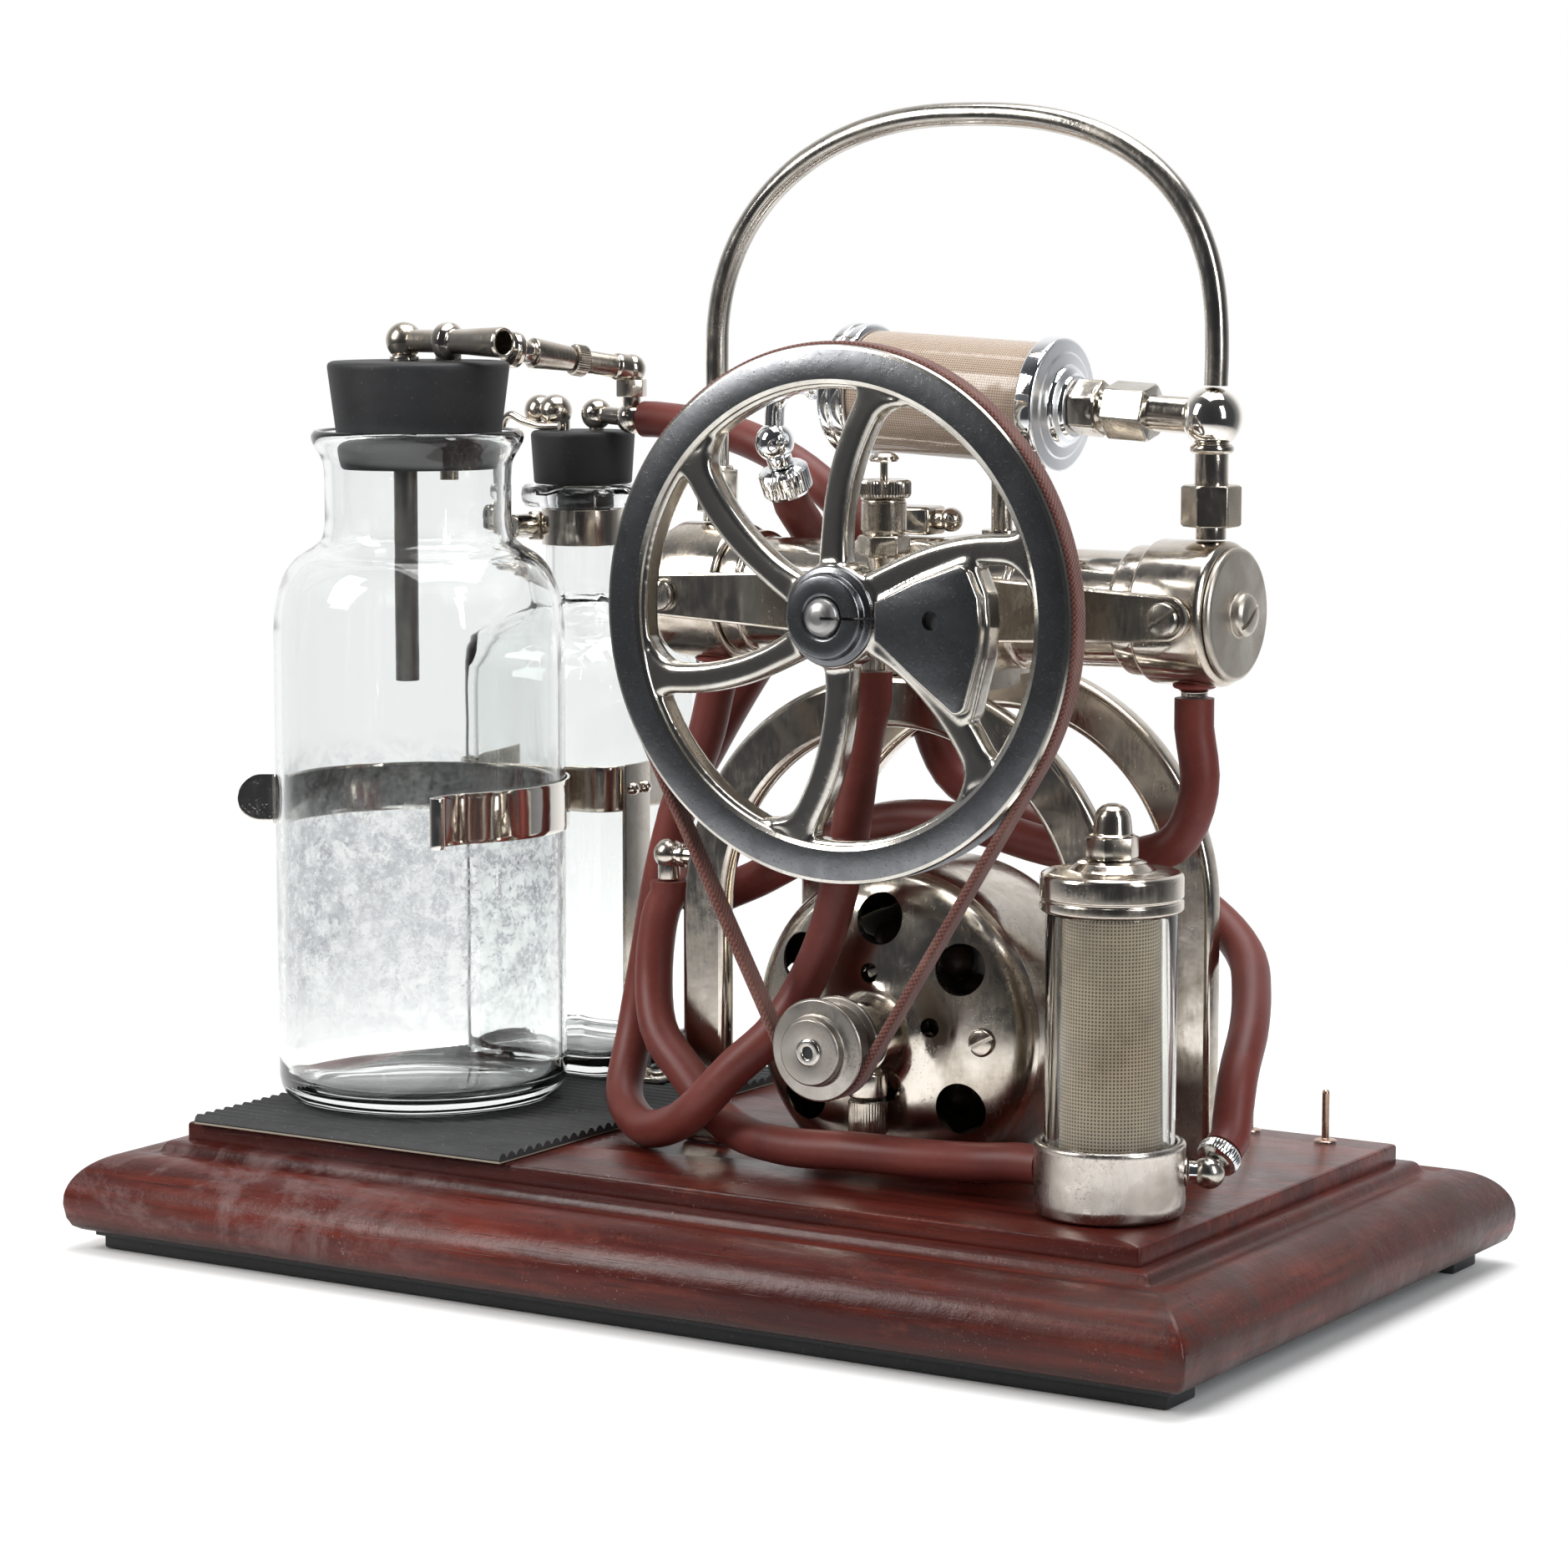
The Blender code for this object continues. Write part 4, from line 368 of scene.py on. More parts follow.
BELT = woven("woven_belt", (0.060, 0.017, 0.013), (0.20, 0.066, 0.048), (0.24, 0.13, 0.10), 0.0017, 0.0017, True)
GAUZE = woven("beige_gauze", (0.20, 0.140, 0.100), (0.50, 0.385, 0.295), (0.38, 0.27, 0.20), 0.00085, 0.00085, False)
GAUZE.node_tree.nodes["Principled BSDF"].inputs["Coat Weight"].default_value = 0.6
GAUZE.node_tree.nodes["Principled BSDF"].inputs["Coat Roughness"].default_value = 0.10
GAUZE_IN = woven("jar_gauze_cloth", (0.10, 0.074, 0.045), (0.66, 0.53, 0.385), (0.155, 0.112, 0.070), 0.00110, 0.00110, False)


def clear_glass(name, tint=(0.975, 0.99, 0.985), rough=0.015):
    n = Nodes(name)
    wob = n.noise(28.0, 2.0, 0.5)
    nrm = n.bump(wob, 0.05, 0.003)
    smear = n.ramp(n.noise(60.0, 5.0, 0.65), [(0.45, 0.0), (0.8, 1.0)])
    r = n.maths("ADD", n.maths("MULTIPLY", smear, 0.035), rough)
    return n.set(colour=tint, rough=r, trans=1.0, ior=1.47, normal=nrm)


GLASS = clear_glass("bottle_glass")
JAR_GLASS = clear_glass("jar_glass_clear", (0.93, 0.94, 0.91), 0.04)


def stained_glass():
    """The inside wall of the suction bottle: a patchy pale bluish deposit dried on clear glass."""
    n = Nodes("stained_glass")
    x, y, z = n.xyz()
    fade_low = n.maths("MULTIPLY", n.maths("SUBTRACT", z, 0.062), 30.0, clamp=True)
    fade_high = n.maths("MULTIPLY", n.maths("SUBTRACT", 0.168, z), 26.0, clamp=True)
    height = n.maths("MULTIPLY", fade_low, fade_high)
    side = n.ramp(n.noise(9.0, 3.0, 0.5), [(0.34, 0.15), (0.6, 1.0)])
    patch = n.ramp(n.noise(150.0, 7.0, 0.75, distortion=0.3), [(0.44, 0.0), (0.56, 1.0)])
    fine = n.ramp(n.noise(620.0, 4.0, 0.7), [(0.38, 0.25), (0.58, 1.0)])
    mask = n.maths("MULTIPLY", n.maths("MULTIPLY", n.maths("MULTIPLY", height, side), patch), fine)
    mask = n.maths("MULTIPLY", mask, 0.62)
    colour = n.mix(mask, (0.975, 0.99, 0.985), (0.47, 0.50, 0.64))
    trans = n.maths("SUBTRACT", 1.0, mask)
    r = n.maths("ADD", n.maths("MULTIPLY", mask, 0.5), 0.015)
    return n.set(colour=colour, rough=r, trans=trans, ior=1.47)


STAINED = stained_glass()


# ==== shapes ========================================================================
SCENE = bpy.context.scene.collection


def finish(obj, mat, smooth=32.0):
    if obj.type == "MESH":
        obj.data.materials.clear()
        obj.data.materials.append(mat)
        obj.data.shade_smooth()
        obj.data.set_sharp_from_angle(angle=math.radians(smooth))
    else:
        obj.data.materials.append(mat)
    return obj


def frame_of(origin, axis):
    d = Vector(axis).normalized()
    named = {(1, 0, 0): Matrix.Rotation(math.pi / 2, 4, "Y"), (0, 1, 0): Matrix.Rotation(-math.pi / 2, 4, "X")}
    key = tuple(int(round(v)) for v in d)
    m = named[key] if key in named and (d - Vector(key)).length < 1e-6 else d.to_track_quat("Z", "Y").to_matrix().to_4x4()
    if abs(d.z - 1) < 1e-9:
        m = Matrix.Identity(4)
    return Matrix.Translation(Vector(origin) * MM) @ m


def facets(steps):
    return steps if steps <= 6 else max(12, 2 * int(round(steps * FINE / 2)))


def round_off(points, r, closed=False, parts=3):
    """Rounds the corners of a profile; points on the axis stay."""
    n = len(points)
    out = []
    for i, (a, h) in enumerate(points):
        if a < 1e-6 or (not closed and i in (0, n - 1)):
            out.append((a, h))
            continue
        p0, p1, p2 = Vector(points[i - 1]), Vector((a, h)), Vector(points[(i + 1) % n])
        d0, d2 = p0 - p1, p2 - p1
        if d0.length < 1e-6 or d2.length < 1e-6:
            out.append((a, h))
            continue
        bend = d0.angle(d2)
        if bend > math.radians(168):
            out.append((a, h))
            continue
        k = min(r, d0.length * 0.45, d2.length * 0.45)
        s, e = p1 + d0.normalized() * k, p1 + d2.normalized() * k
        for j in range(parts + 1):
            t = j / parts
            q = s.lerp(p1, t).lerp(p1.lerp(e, t), t)
            out.append((q.x, q.y))
    return out


def lathe_mesh(name, profile, steps, closed=False, wave=None):
    """Turns (radius, height) points round Z. wave = (lowest, highest, teeth, depth, least radius) cuts a knurl."""
    verts, rings = [], []
    ang = np.linspace(0, 2 * math.pi, steps, endpoint=False)
    for r, h in profile:
        if r < 1e-6:
            rings.append([len(verts)])
            verts.append((0.0, 0.0, h * MM))
            continue
        rr = np.full(steps, r)
        if wave and wave[0] <= h <= wave[1] and r >= wave[4]:
            rr = rr - wave[3] * (0.5 + 0.5 * np.cos(ang * wave[2]))
        rings.append(list(range(len(verts), len(verts) + steps)))
        verts += [(q * math.cos(t) * MM, q * math.sin(t) * MM, h * MM) for q, t in zip(rr, ang)]
    faces = []
    pairs = list(zip(rings[:-1], rings[1:])) + ([(rings[-1], rings[0])] if closed else [])
    for a, b in pairs:
        for i in range(steps):
            j = (i + 1) % steps
            if len(a) == 1 and len(b) == 1:
                break
            if len(a) == 1:
                faces.append((a[0], b[i], b[j]))
            elif len(b) == 1:
                faces.append((a[i], b[0], a[j]))
            else:
                faces.append((a[i], b[i], b[j], a[j]))
    mesh = bpy.data.meshes.new(name)
    mesh.from_pydata(verts, [], faces)
    bm = bmesh.new()
    bm.from_mesh(mesh)
    bmesh.ops.recalc_face_normals(bm, faces=bm.faces)
    bm.to_mesh(mesh)
    bm.free()
    return mesh


def turned(profile, origin=(0, 0, 0), axis=(0, 0, 1), steps=48, closed=False, mat=None, soft=0.35, wave=None, smooth=32.0):
    steps = wave[2] * 6 if wave else facets(steps)
    pts = round_off(profile, soft, closed) if soft else profile
    obj = bpy.data.objects.new("shape", lathe_mesh("shape", pts, steps, closed, wave))
    SCENE.objects.link(obj)
    obj.matrix_world = frame_of(origin, axis)
    obj["facets"] = steps
    return finish(obj, mat or NICKEL, smooth)


def rod(origin, axis, r, length, steps=32, mat=None, soft=0.3):
    return turned([(0, length), (r, length), (r, 0), (0, 0)], origin, axis, steps, mat=mat, soft=soft)


def cutter(origin, axis, r, length, steps=32):
    o = turned([(0, length), (r, length), (r, 0), (0, 0)], origin, axis, steps, soft=0)
    return o


def ball(centre, r, mat=None, u=48, v=32):
    mesh = bpy.data.meshes.new("ball")
    bm = bmesh.new()
    bmesh.ops.create_uvsphere(bm, u_segments=u, v_segments=v, radius=r * MM)
    bm.to_mesh(mesh)
    bm.free()
    obj = bpy.data.objects.new("ball", mesh)
    SCENE.objects.link(obj)
    obj.location = Vector(centre) * MM
    return finish(obj, mat or NICKEL, 180)


def box(x, y, z, mat=None, bevel=0.4, segments=2):
    mesh = bpy.data.meshes.new("box")
    bm = bmesh.new()
    bmesh.ops.create_cube(bm, size=1.0)
    bmesh.ops.scale(bm, vec=Vector((x[1] - x[0], y[1] - y[0], z[1] - z[0])) * MM, verts=bm.verts)
    if bevel:
        bmesh.ops.bevel(bm, geom=list(bm.edges), offset=bevel * MM, segments=segments, affect="EDGES", profile=0.5)
    bm.to_mesh(mesh)
    bm.free()
    obj = bpy.data.objects.new("box", mesh)
    SCENE.objects.link(obj)
    obj.location = Vector(((x[0] + x[1]) / 2, (y[0] + y[1]) / 2, (z[0] + z[1]) / 2)) * MM
    return finish(obj, mat or NICKEL, 40)


def hexagon(origin, axis, across, length, mat=None, turn_by=0.0):
    """A chamfered hexagon nut body."""
    mesh = bpy.data.meshes.new("hex")
    bm = bmesh.new()
    bmesh.ops.create_cone(bm, cap_ends=True, segments=6, radius1=across / 2 * MM, radius2=across / 2 * MM, depth=length * MM,
                          matrix=Matrix.Translation((0, 0, length * MM / 2)) @ Matrix.Rotation(turn_by, 4, "Z"))
    bmesh.ops.bevel(bm, geom=list(bm.edges), offset=min(0.45, length * 0.1) * MM, segments=2, affect="EDGES", profile=0.5)
    bm.to_mesh(mesh)
    bm.free()
    obj = bpy.data.objects.new("hex", mesh)
    SCENE.objects.link(obj)
    obj.matrix_world = frame_of(origin, axis)
    return finish(obj, mat or NICKEL, 30)


def nut(origin, axis, corners, length, corner_at, mat=None, bore=0.0):
    """A hexagon nut with turned-off corners at both ends; one corner points corner_at degrees round the axis (from -Y upwards when the axis lies flat)."""
    m = frame_of(origin, axis)
    want = Vector((math.cos(math.radians(corner_at + 30.0)), math.sin(math.radians(corner_at + 30.0)), 0)) if abs(Vector(axis).normalized().z) > 0.9 else Vector((0, -math.cos(math.radians(corner_at)), math.sin(math.radians(corner_at))))
    local = m.to_3x3().transposed() @ want
    r = corners / 2
    hexa = hexagon(origin, axis, corners, length, mat, math.atan2(local.y, local.x) - math.pi / 2)
    round_ends = turned([(0, length), (r * 0.90, length), (r * 0.985, length - r * 0.075), (r * 1.01, length - r * 0.16), (r * 1.01, r * 0.16), (r * 0.985, r * 0.075), (r * 0.90, 0), (0, 0)], origin, axis, steps=64, mat=mat, soft=0)
    both = hexa.modifiers.new("ends", "BOOLEAN")
    both.operation, both.solver, both.object = "INTERSECT", "EXACT", round_ends
    new = bpy.data.objects.new("nut", baked(hexa))
    SCENE.objects.link(new)
    drop(hexa, round_ends)
    new = finish(new, mat or NICKEL, 30)
    return cut(new, cutter(Vector(origin) - Vector(axis).normalized() * 2.0, axis, bore, length + 4.0)) if bore else new


def baked(obj):
    """The object with its modifiers or curve turned into a plain mesh in world coordinates."""
    bpy.context.view_layer.update()
    deps = bpy.context.evaluated_depsgraph_get()
    mesh = bpy.data.meshes.new_from_object(obj.evaluated_get(deps), preserve_all_data_layers=True, depsgraph=deps)
    mesh.transform(obj.matrix_world)
    return mesh


def drop(*objs):
    for o in objs:
        bpy.data.objects.remove(o, do_unlink=True)


def flat(outlines, lo, hi, mat=None, plane="XZ", edge=0.4, smooth=32.0, parts=1):
    """A flat outline (mm) with rounded edges, between two levels of the third axis."""
    cu = bpy.data.curves.new("flat", "CURVE")
    cu.dimensions, cu.fill_mode = "2D", "BOTH"
    cu.extrude = ((hi - lo) / 2 - edge) * MM
    if edge:
        cu.bevel_depth, cu.bevel_resolution, cu.offset = edge * MM, parts, -edge * MM
    for line in outlines:
        sp = cu.splines.new("POLY")
        sp.points.add(len(line) - 1)
        for p, (a, b) in zip(sp.points, line):
            p.co = (a * MM, b * MM, 0.0, 1.0)
        sp.use_cyclic_u = True
    obj = bpy.data.objects.new("flat", cu)
    SCENE.objects.link(obj)
    mid = (lo + hi) / 2 * MM
    if plane == "XZ":
        obj.matrix_world = Matrix.Translation((0, mid, 0)) @ Matrix.Rotation(math.pi / 2, 4, "X")
    elif plane == "YZ":
        obj.matrix_world = Matrix(((0, 0, 1, mid), (1, 0, 0, 0), (0, 1, 0, 0), (0, 0, 0, 1)))
    else:
        obj.matrix_world = Matrix.Translation((0, 0, mid))
    mesh = baked(obj)
    drop(obj)
    new = bpy.data.objects.new("flat", mesh)
    SCENE.objects.link(new)
    return finish(new, mat or NICKEL, smooth)


def smooth_line(points, step):
    """Evenly spaced points on a smooth curve through the given points (centripetal spline)."""
    p = [Vector(q) for q in points]
    p = [p[0] * 2 - p[1]] + p + [p[-1] * 2 - p[-2]]
    out = []
    for i in range(1, len(p) - 2):
        a, b, c, d = p[i - 1], p[i], p[i + 1], p[i + 2]
        t0 = 0.0
        t1 = t0 + max((b - a).length, 1e-6) ** 0.5
        t2 = t1 + max((c - b).length, 1e-6) ** 0.5
        t3 = t2 + max((d - c).length, 1e-6) ** 0.5
        for k in range(24):
            t = t1 + (t2 - t1) * k / 24
            a1 = a * ((t1 - t) / (t1 - t0)) + b * ((t - t0) / (t1 - t0))
            a2 = b * ((t2 - t) / (t2 - t1)) + c * ((t - t1) / (t2 - t1))
            a3 = c * ((t3 - t) / (t3 - t2)) + d * ((t - t2) / (t3 - t2))
            b1 = a1 * ((t2 - t) / (t2 - t0)) + a2 * ((t - t0) / (t2 - t0))
            b2 = a2 * ((t3 - t) / (t3 - t1)) + a3 * ((t - t1) / (t3 - t1))
            out.append(b1 * ((t2 - t) / (t2 - t1)) + b2 * ((t - t1) / (t2 - t1)))
    out.append(p[-2])
    q = np.array([tuple(v) for v in out])
    along_q = np.concatenate([[0], np.cumsum(np.linalg.norm(np.diff(q, axis=0), axis=1))])
    at = np.linspace(0, along_q[-1], max(2, int(round(along_q[-1] / step)) + 1))
    return [tuple(float(np.interp(a, along_q, q[:, k])) for k in range(3)) for a in at]


def pipe(points, r, mat=None, resolution=8, keep=False, radii=None):
    cu = bpy.data.curves.new("pipe", "CURVE")
    cu.dimensions = "3D"
    cu.bevel_depth, cu.bevel_resolution, cu.use_fill_caps = r * MM, resolution, True
    sp = cu.splines.new("POLY")
    sp.points.add(len(points) - 1)
    for i, (p, q) in enumerate(zip(sp.points, points)):
        p.co = (q[0] * MM, q[1] * MM, q[2] * MM, 1.0)
        if radii is not None:
            p.radius = radii[i]
    sp.use_smooth = True
    cu.materials.append(mat or NICKEL)
    obj = bpy.data.objects.new("pipe", cu)
    SCENE.objects.link(obj)
    if keep:
        return obj
    mesh = baked(obj)
    drop(obj)
    new = bpy.data.objects.new("pipe", mesh)
    SCENE.objects.link(new)
    return finish(new, mat or NICKEL, 50)


def cut(target, *tools):
    """Cuts the tools out of the target at once and removes them."""
    for t in tools:
        m = target.modifiers.new("cut", "BOOLEAN")
        m.operation, m.solver, m.object = "DIFFERENCE", "EXACT", t
    mats = list(target.data.materials)
    mesh = baked(target)
    new = bpy.data.objects.new("cut", mesh)
    SCENE.objects.link(new)
    drop(target, *tools)
    keep = mats[0]
    mesh.materials.clear()
    mesh.materials.append(keep)
    mesh.polygons.foreach_set("material_index", [0] * len(mesh.polygons))
    mesh.shade_smooth()
    mesh.set_sharp_from_angle(angle=math.radians(32))
    return new


def piece(node, body, slot, *parts, name=None):
    """Puts finished shapes together as the piece that stands for a node and rides on a body."""
    mats = []
    bm = bmesh.new()
    for p in parts:
        mesh = baked(p)
        start = len(bm.faces)
        index = []
        for m in mesh.materials:
            if m not in mats:
                mats.append(m)
            index.append(mats.index(m))
        bm.from_mesh(mesh)
        bm.faces.ensure_lookup_table()
        for f in bm.faces[start:]:
            f.material_index = index[min(f.material_index, len(index) - 1)] if index else 0
        bpy.data.meshes.remove(mesh)
    mesh = bpy.data.meshes.new(name or node + "_fine")
    bm.to_mesh(mesh)
    bm.free()
    for m in mats:
        mesh.materials.append(m)
    obj = bpy.data.objects.new(name or node + "_fine", mesh)
    SCENE.objects.link(obj)
    drop(*parts)
    if node:
        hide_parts(node)
    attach(obj, body)
    return obj


def arc(cx, cy, r, a0, a1, n):
    return [(cx + r * math.cos(math.radians(a0 + (a1 - a0) * i / n)), cy + r * math.sin(math.radians(a0 + (a1 - a0) * i / n))) for i in range(n + 1)]


# ==== hoses =========================================================================
DX, DY, DZ = -27.4, -27.5, 136.4
floor_z = PLAT_Z + HOSE_R + 0.4
ball2 = Vector((bx + 4.3, by + 12.0, 302.6))
ELBOW = Vector((-96.5, 54.0, 291.6))
ball4 = Vector((-96.5, 54.0, 274.6))
ball3 = Vector((ball4.x - 16.5, ball4.y + 2.5, 275.6))
NUT_DIR = Vector((0.04, 0.42, -0.90)).normalized()
BULGE = Vector((-1.3, py, 270.5))
NUT_END = BULGE + NUT_DIR * 18.9
JSIDE = Vector((0.90, 0.436, 0.0)).normalized()
JP = Vector((jx, jy, 55.0))
JBALL = JP + JSIDE * 30.0
JDIR = Vector((0.08, 0.80, 0.59)).normalized()
RING_END = JBALL + JDIR * 9.9

HOSES = {
    "hose_d": [(DX, DY, DZ - 8.9), (DX, DY, DZ - 13.0), (-30.0, -28.5, 117.0), (-30.5, -32.0, 96.0), (-24.0, -38.5, 79.5), (-10.7, -43.0, 68.0), (8.5, -48.5, 54.0), (34.0, -56.5, 50.9),
               (64.0, -59.6, 52.6), (88.0, -58.0, 52.6), (105.0, -54.8, 52.8), (118.0, jy, 54.0), (jx - 23.6, jy, 54.0)],
    "hose_c": [(px - 88.0, py, pz - 26.4), (px - 88.0, py, 189.0), (-28.0, -5.0, 172.0), (-36.0, -8.0, 150.0), (-42.0, -10.0, 126.0), (-46.0, -12.5, 98.0), (-47.5, -18.0, 74.0),
               (-43.0, -31.0, 55.0), (-26.0, -44.0, floor_z), (-8.0, -55.0, 53.0), (6.0, -62.5, 61.0), (19.6, -61.5, 75.0), (31.5, -57.0, 86.8), (38.5, -51.5, 100.0), (45.8, -50.0, 115.7),
               (50.6, -50.0, 130.0), (55.0, -50.0, 148.0), (58.5, -48.0, 177.0), (px - 3.0, -45.5, 194.0), (px - 3.0, -45.5, pz - 19.4)],
    "hose_a": [(px + 88.0, py, pz - 26.4), (px + 88.0, py, 186.0), (154.0, py, 167.0), (147.0, -5.0, 150.0), (128.0, -6.0, 143.5), (102.0, -6.0, 145.5), (72.0, -6.0, 151.0), (42.0, -6.0, 149.5),
               (14.0, -6.0, 138.0), (-12.0, -4.0, 125.0), (-36.0, 3.0, 118.0), (-53.0, 12.0, 126.0), (-55.0, 19.0, 144.0), (-45.0, 24.0, 166.0), (-31.0, 27.0, 190.0), (-18.0, 27.5, 208.0),
               (-7.0, 25.0, 224.0), (-1.0, 18.0, 238.0), tuple(NUT_END + NUT_DIR * 4.0), tuple(NUT_END)],
    "hose_b": [tuple(RING_END), tuple(RING_END + JDIR * 5.0), (175.0, -17.0, 81.0), (170.5, -1.0, 92.0), (163.0, 16.0, 101.0), (154.0, 31.0, 109.0), (142.0, 39.5, 117.0), (120.0, 43.0, 129.0),
               (88.0, 43.5, 140.0), (60.0, 42.5, 149.0), (40.0, 41.0, 160.0), (32.0, 38.5, 178.0), (26.0, 37.5, 200.0), (17.0, 36.0, 222.0), (5.0, 36.0, 243.0), (-12.0, 37.0, 257.0),
               (-34.0, 40.0, 267.0), (-56.0, 46.0, 272.0), (-72.0, 50.0, 273.6), (ball4.x + 11.0, ball4.y - 1.0, 274.4), (ball4.x + 5.9, ball4.y - 1.0, 274.4)],
}
HOSE_LENGTHS = {}
for node, pts in HOSES.items():
    line = [pts[0]] + smooth_line(pts[1:-1], 5.0) + [pts[-1]]
    tube = pipe(line, HOSE_R, RED, resolution=9, keep=True)
    tube.name = node + "_fine"
    length = sum((Vector(b) - Vector(a)).length for a, b in zip(line[:-1], line[1:])) * MM
    HOSE_LENGTHS[node] = round(length * 1000, 1)
    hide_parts(node)
    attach(tube, "base")


# ==== base ==========================================================================
def rounded_rectangle(hx, hy, r, n=4):
    pts = []
    for sx, sy, a0 in ((1, 1, 0), (-1, 1, 90), (-1, -1, 180), (1, -1, 270)):
        pts += arc(sx * (hx - r), sy * (hy - r), r, a0, a0 + 90, n)
    return pts


def rings_mesh(rings, caps=True):
    verts = [(x * MM, y * MM, z * MM) for ring in rings for x, y, z in ring]
    n = len(rings[0])
    faces = []
    if caps:
        faces += [tuple(reversed(range(n))), tuple(range(n * (len(rings) - 1), n * len(rings)))]
    for i in range(len(rings) - 1):
        for k in range(n):
            a, b = i * n + k, i * n + (k + 1) % n
            faces.append((a, b, b + n, a + n))
    mesh = bpy.data.meshes.new("rings")
    mesh.from_pydata(verts, [], faces)
    obj = bpy.data.objects.new("rings", mesh)
    SCENE.objects.link(obj)
    return obj


HX, HY = BASE_L / 2, BASE_W / 2
edge_profile = [(4.0, BASE_Z0), (2.0, 8.3), (0.7, 11.0), (0.0, 15.4), (0.0, 16.4)]
edge_profile += [(19.0 * (1 - math.cos(math.radians(t))), 16.4 + 16.2 * math.sin(math.radians(t))) for t in range(8, 91, 6)]
edge_profile += [(19.6, 32.0), (21.0, 32.1)] + [(22.6, 32.2), (23.4, 32.8)]
edge_profile += [(24.0, 34.2), (24.6, STEP_Z - 0.6), (25.6, STEP_Z), (PLAT_INSET, STEP_Z), (PLAT_INSET, PLAT_Z - 1.0), (PLAT_INSET + 0.3, PLAT_Z - 0.3), (PLAT_INSET + 1.0, PLAT_Z)]
rings = [[(x, y, z) for x, y in rounded_rectangle(HX - i, HY - i, 1.6 if i < 25 else 1.2)] for i, z in edge_profile]
plinth = finish(rings_mesh(rings), WOOD_X, 28)
plinth = cut(plinth, cutter((MOTOR_X, -38.4, MOTOR_Z), (0, 1, 0), MOTOR_R + 0.4, 64.4, 96))
plinth.data.materials.append(WOOD_Y)
for poly in plinth.data.polygons:
    c = poly.center
    across = (HX * MM - abs(c.x)) < (HY * MM - abs(c.y)) and c.z < STEP_Z * MM + 0.0005 and abs(c.x) > (HX - PLAT_INSET - 0.2) * MM
    poly.material_index = 1 if across else 0
piece("base_plinth", "base", "mahogany", plinth)

strips = [box((-HX + 10, HX - 10), (min(s * (HY - 10), s * (HY - 28)), max(s * (HY - 10), s * (HY - 28))), (0.0, 5.2), BLACK, 1.0) for s in (-1, 1)]
piece("rubber_foot_pad", "base", "black_rubber", box((-HX + 8, HX - 8), (-HY + 8, HY - 8), (4.6, BASE_Z0 - GAP), BLACK, 0.3), *strips)

# ribbed mat: a saw of rounded ribs along X on a cloth back
ribs = [(MAT_Y[0] + 0.4, PLAT_Z + GAP + 0.5), (MAT_Y[0], 43.2), (MAT_Y[0] + 0.5, 44.5), (MAT_Y[0] + 1.6, MAT_Z), (MAT_Y[0] + 3.0, MAT_Z - 0.2)]
y = MAT_Y[0] + 4.0
while y + 5.0 < MAT_Y[1]:
    ribs += [(y, 43.7), (y + 0.4, 43.65), (y + 1.3, 44.7), (y + 2.0, MAT_Z - 0.08), (y + 2.7, MAT_Z), (y + 3.5, MAT_Z - 0.15), (y + 4.3, 44.6)]
    y += 5.0
ribs += [(y, 43.7), (MAT_Y[1] - 0.2, 43.7), (MAT_Y[1], PLAT_Z + GAP + 0.5)]
mat_top = flat([ribs], MAT_X[0] + 0.2, MAT_X[1], RIBBED, "YZ", edge=0, smooth=50)
CLOTH = woven("mat_cloth", (0.20, 0.17, 0.13), (0.46, 0.41, 0.33), (0.35, 0.31, 0.25), 0.0011, 0.0011, False)
piece("bottle_mat", "base", "black_rubber", mat_top, box(MAT_X, (MAT_Y[0] + 0.1, MAT_Y[1] - 0.1), (PLAT_Z + GAP, PLAT_Z + GAP + 0.7), CLOTH, 0.2))


# ==== suction bottle ================================================================
def curve2(points, step=1.6):
    return [(a, b) for a, b, _ in smooth_line([(q[0], q[1], 0.0) for q in points], step)]


R = BOTTLE_R
outside = [(0.0, z0 + 2.2), (R - 16, z0 + 1.6), (R - 12, z0 + 0.2), (R - 8, z0)] + curve2([(R - 7.6, z0), (R - 3.6, z0 + 1.4), (R - 0.9, z0 + 4.6), (R, z0 + 9.0)], 1.0)[1:]
outside += [(R, 120.0), (R, 200.0)] + curve2([(R, 205.0), (R - 0.5, 212.0), (47.0, 219.6), (44.2, 226.0), (40.2, 230.4), (35.6, 233.2), (32.6, 236.0), (31.4, 241.0)], 1.4)
outside += [(31.4, 256.0)] + curve2([(31.4, 258.5), (32.2, 262.6), (34.2, 266.2), (35.5, 268.8), (35.7, 271.0), (34.6, BOTTLE_TOP)], 0.9)[1:]
inside = curve2([(33.2, BOTTLE_TOP), (31.8, 270.2), (30.0, 266.4), (28.4, 261.0), (28.2, 256.0)], 0.9) + [(28.2, 248.0), (28.2, 243.0)] + curve2([(28.2, 240.0), (29.6, 234.4), (33.6, 230.6), (38.4, 227.6), (41.8, 223.8), (44.6, 218.0), (46.0, 211.4), (R - 2.8, 204.0)], 1.4)
inside += [(R - 2.8, 120.0), (R - 2.8, z0 + 16.0)] + curve2([(R - 2.9, z0 + 14.0), (R - 4.2, z0 + 9.0), (R - 8.6, z0 + 6.4), (R - 15.0, z0 + 6.2)], 1.2) + [(0.0, z0 + 7.2)]
glass = turned(outside + inside, (bx, by, 0), steps=96, mat=GLASS, soft=0, smooth=60)
glass.data.materials.append(STAINED)
for poly in glass.data.polygons:
    c = poly.center
    if c.z < 0.205 and math.hypot(c.x, c.y) < (R - 1.6) * MM and c.z > (z0 + 5) * MM and (poly.normal.x * c.x + poly.normal.y * c.y) < 0:
        poly.material_index = 1
piece("suction_bottle", "suction_bottle", "glass", glass)

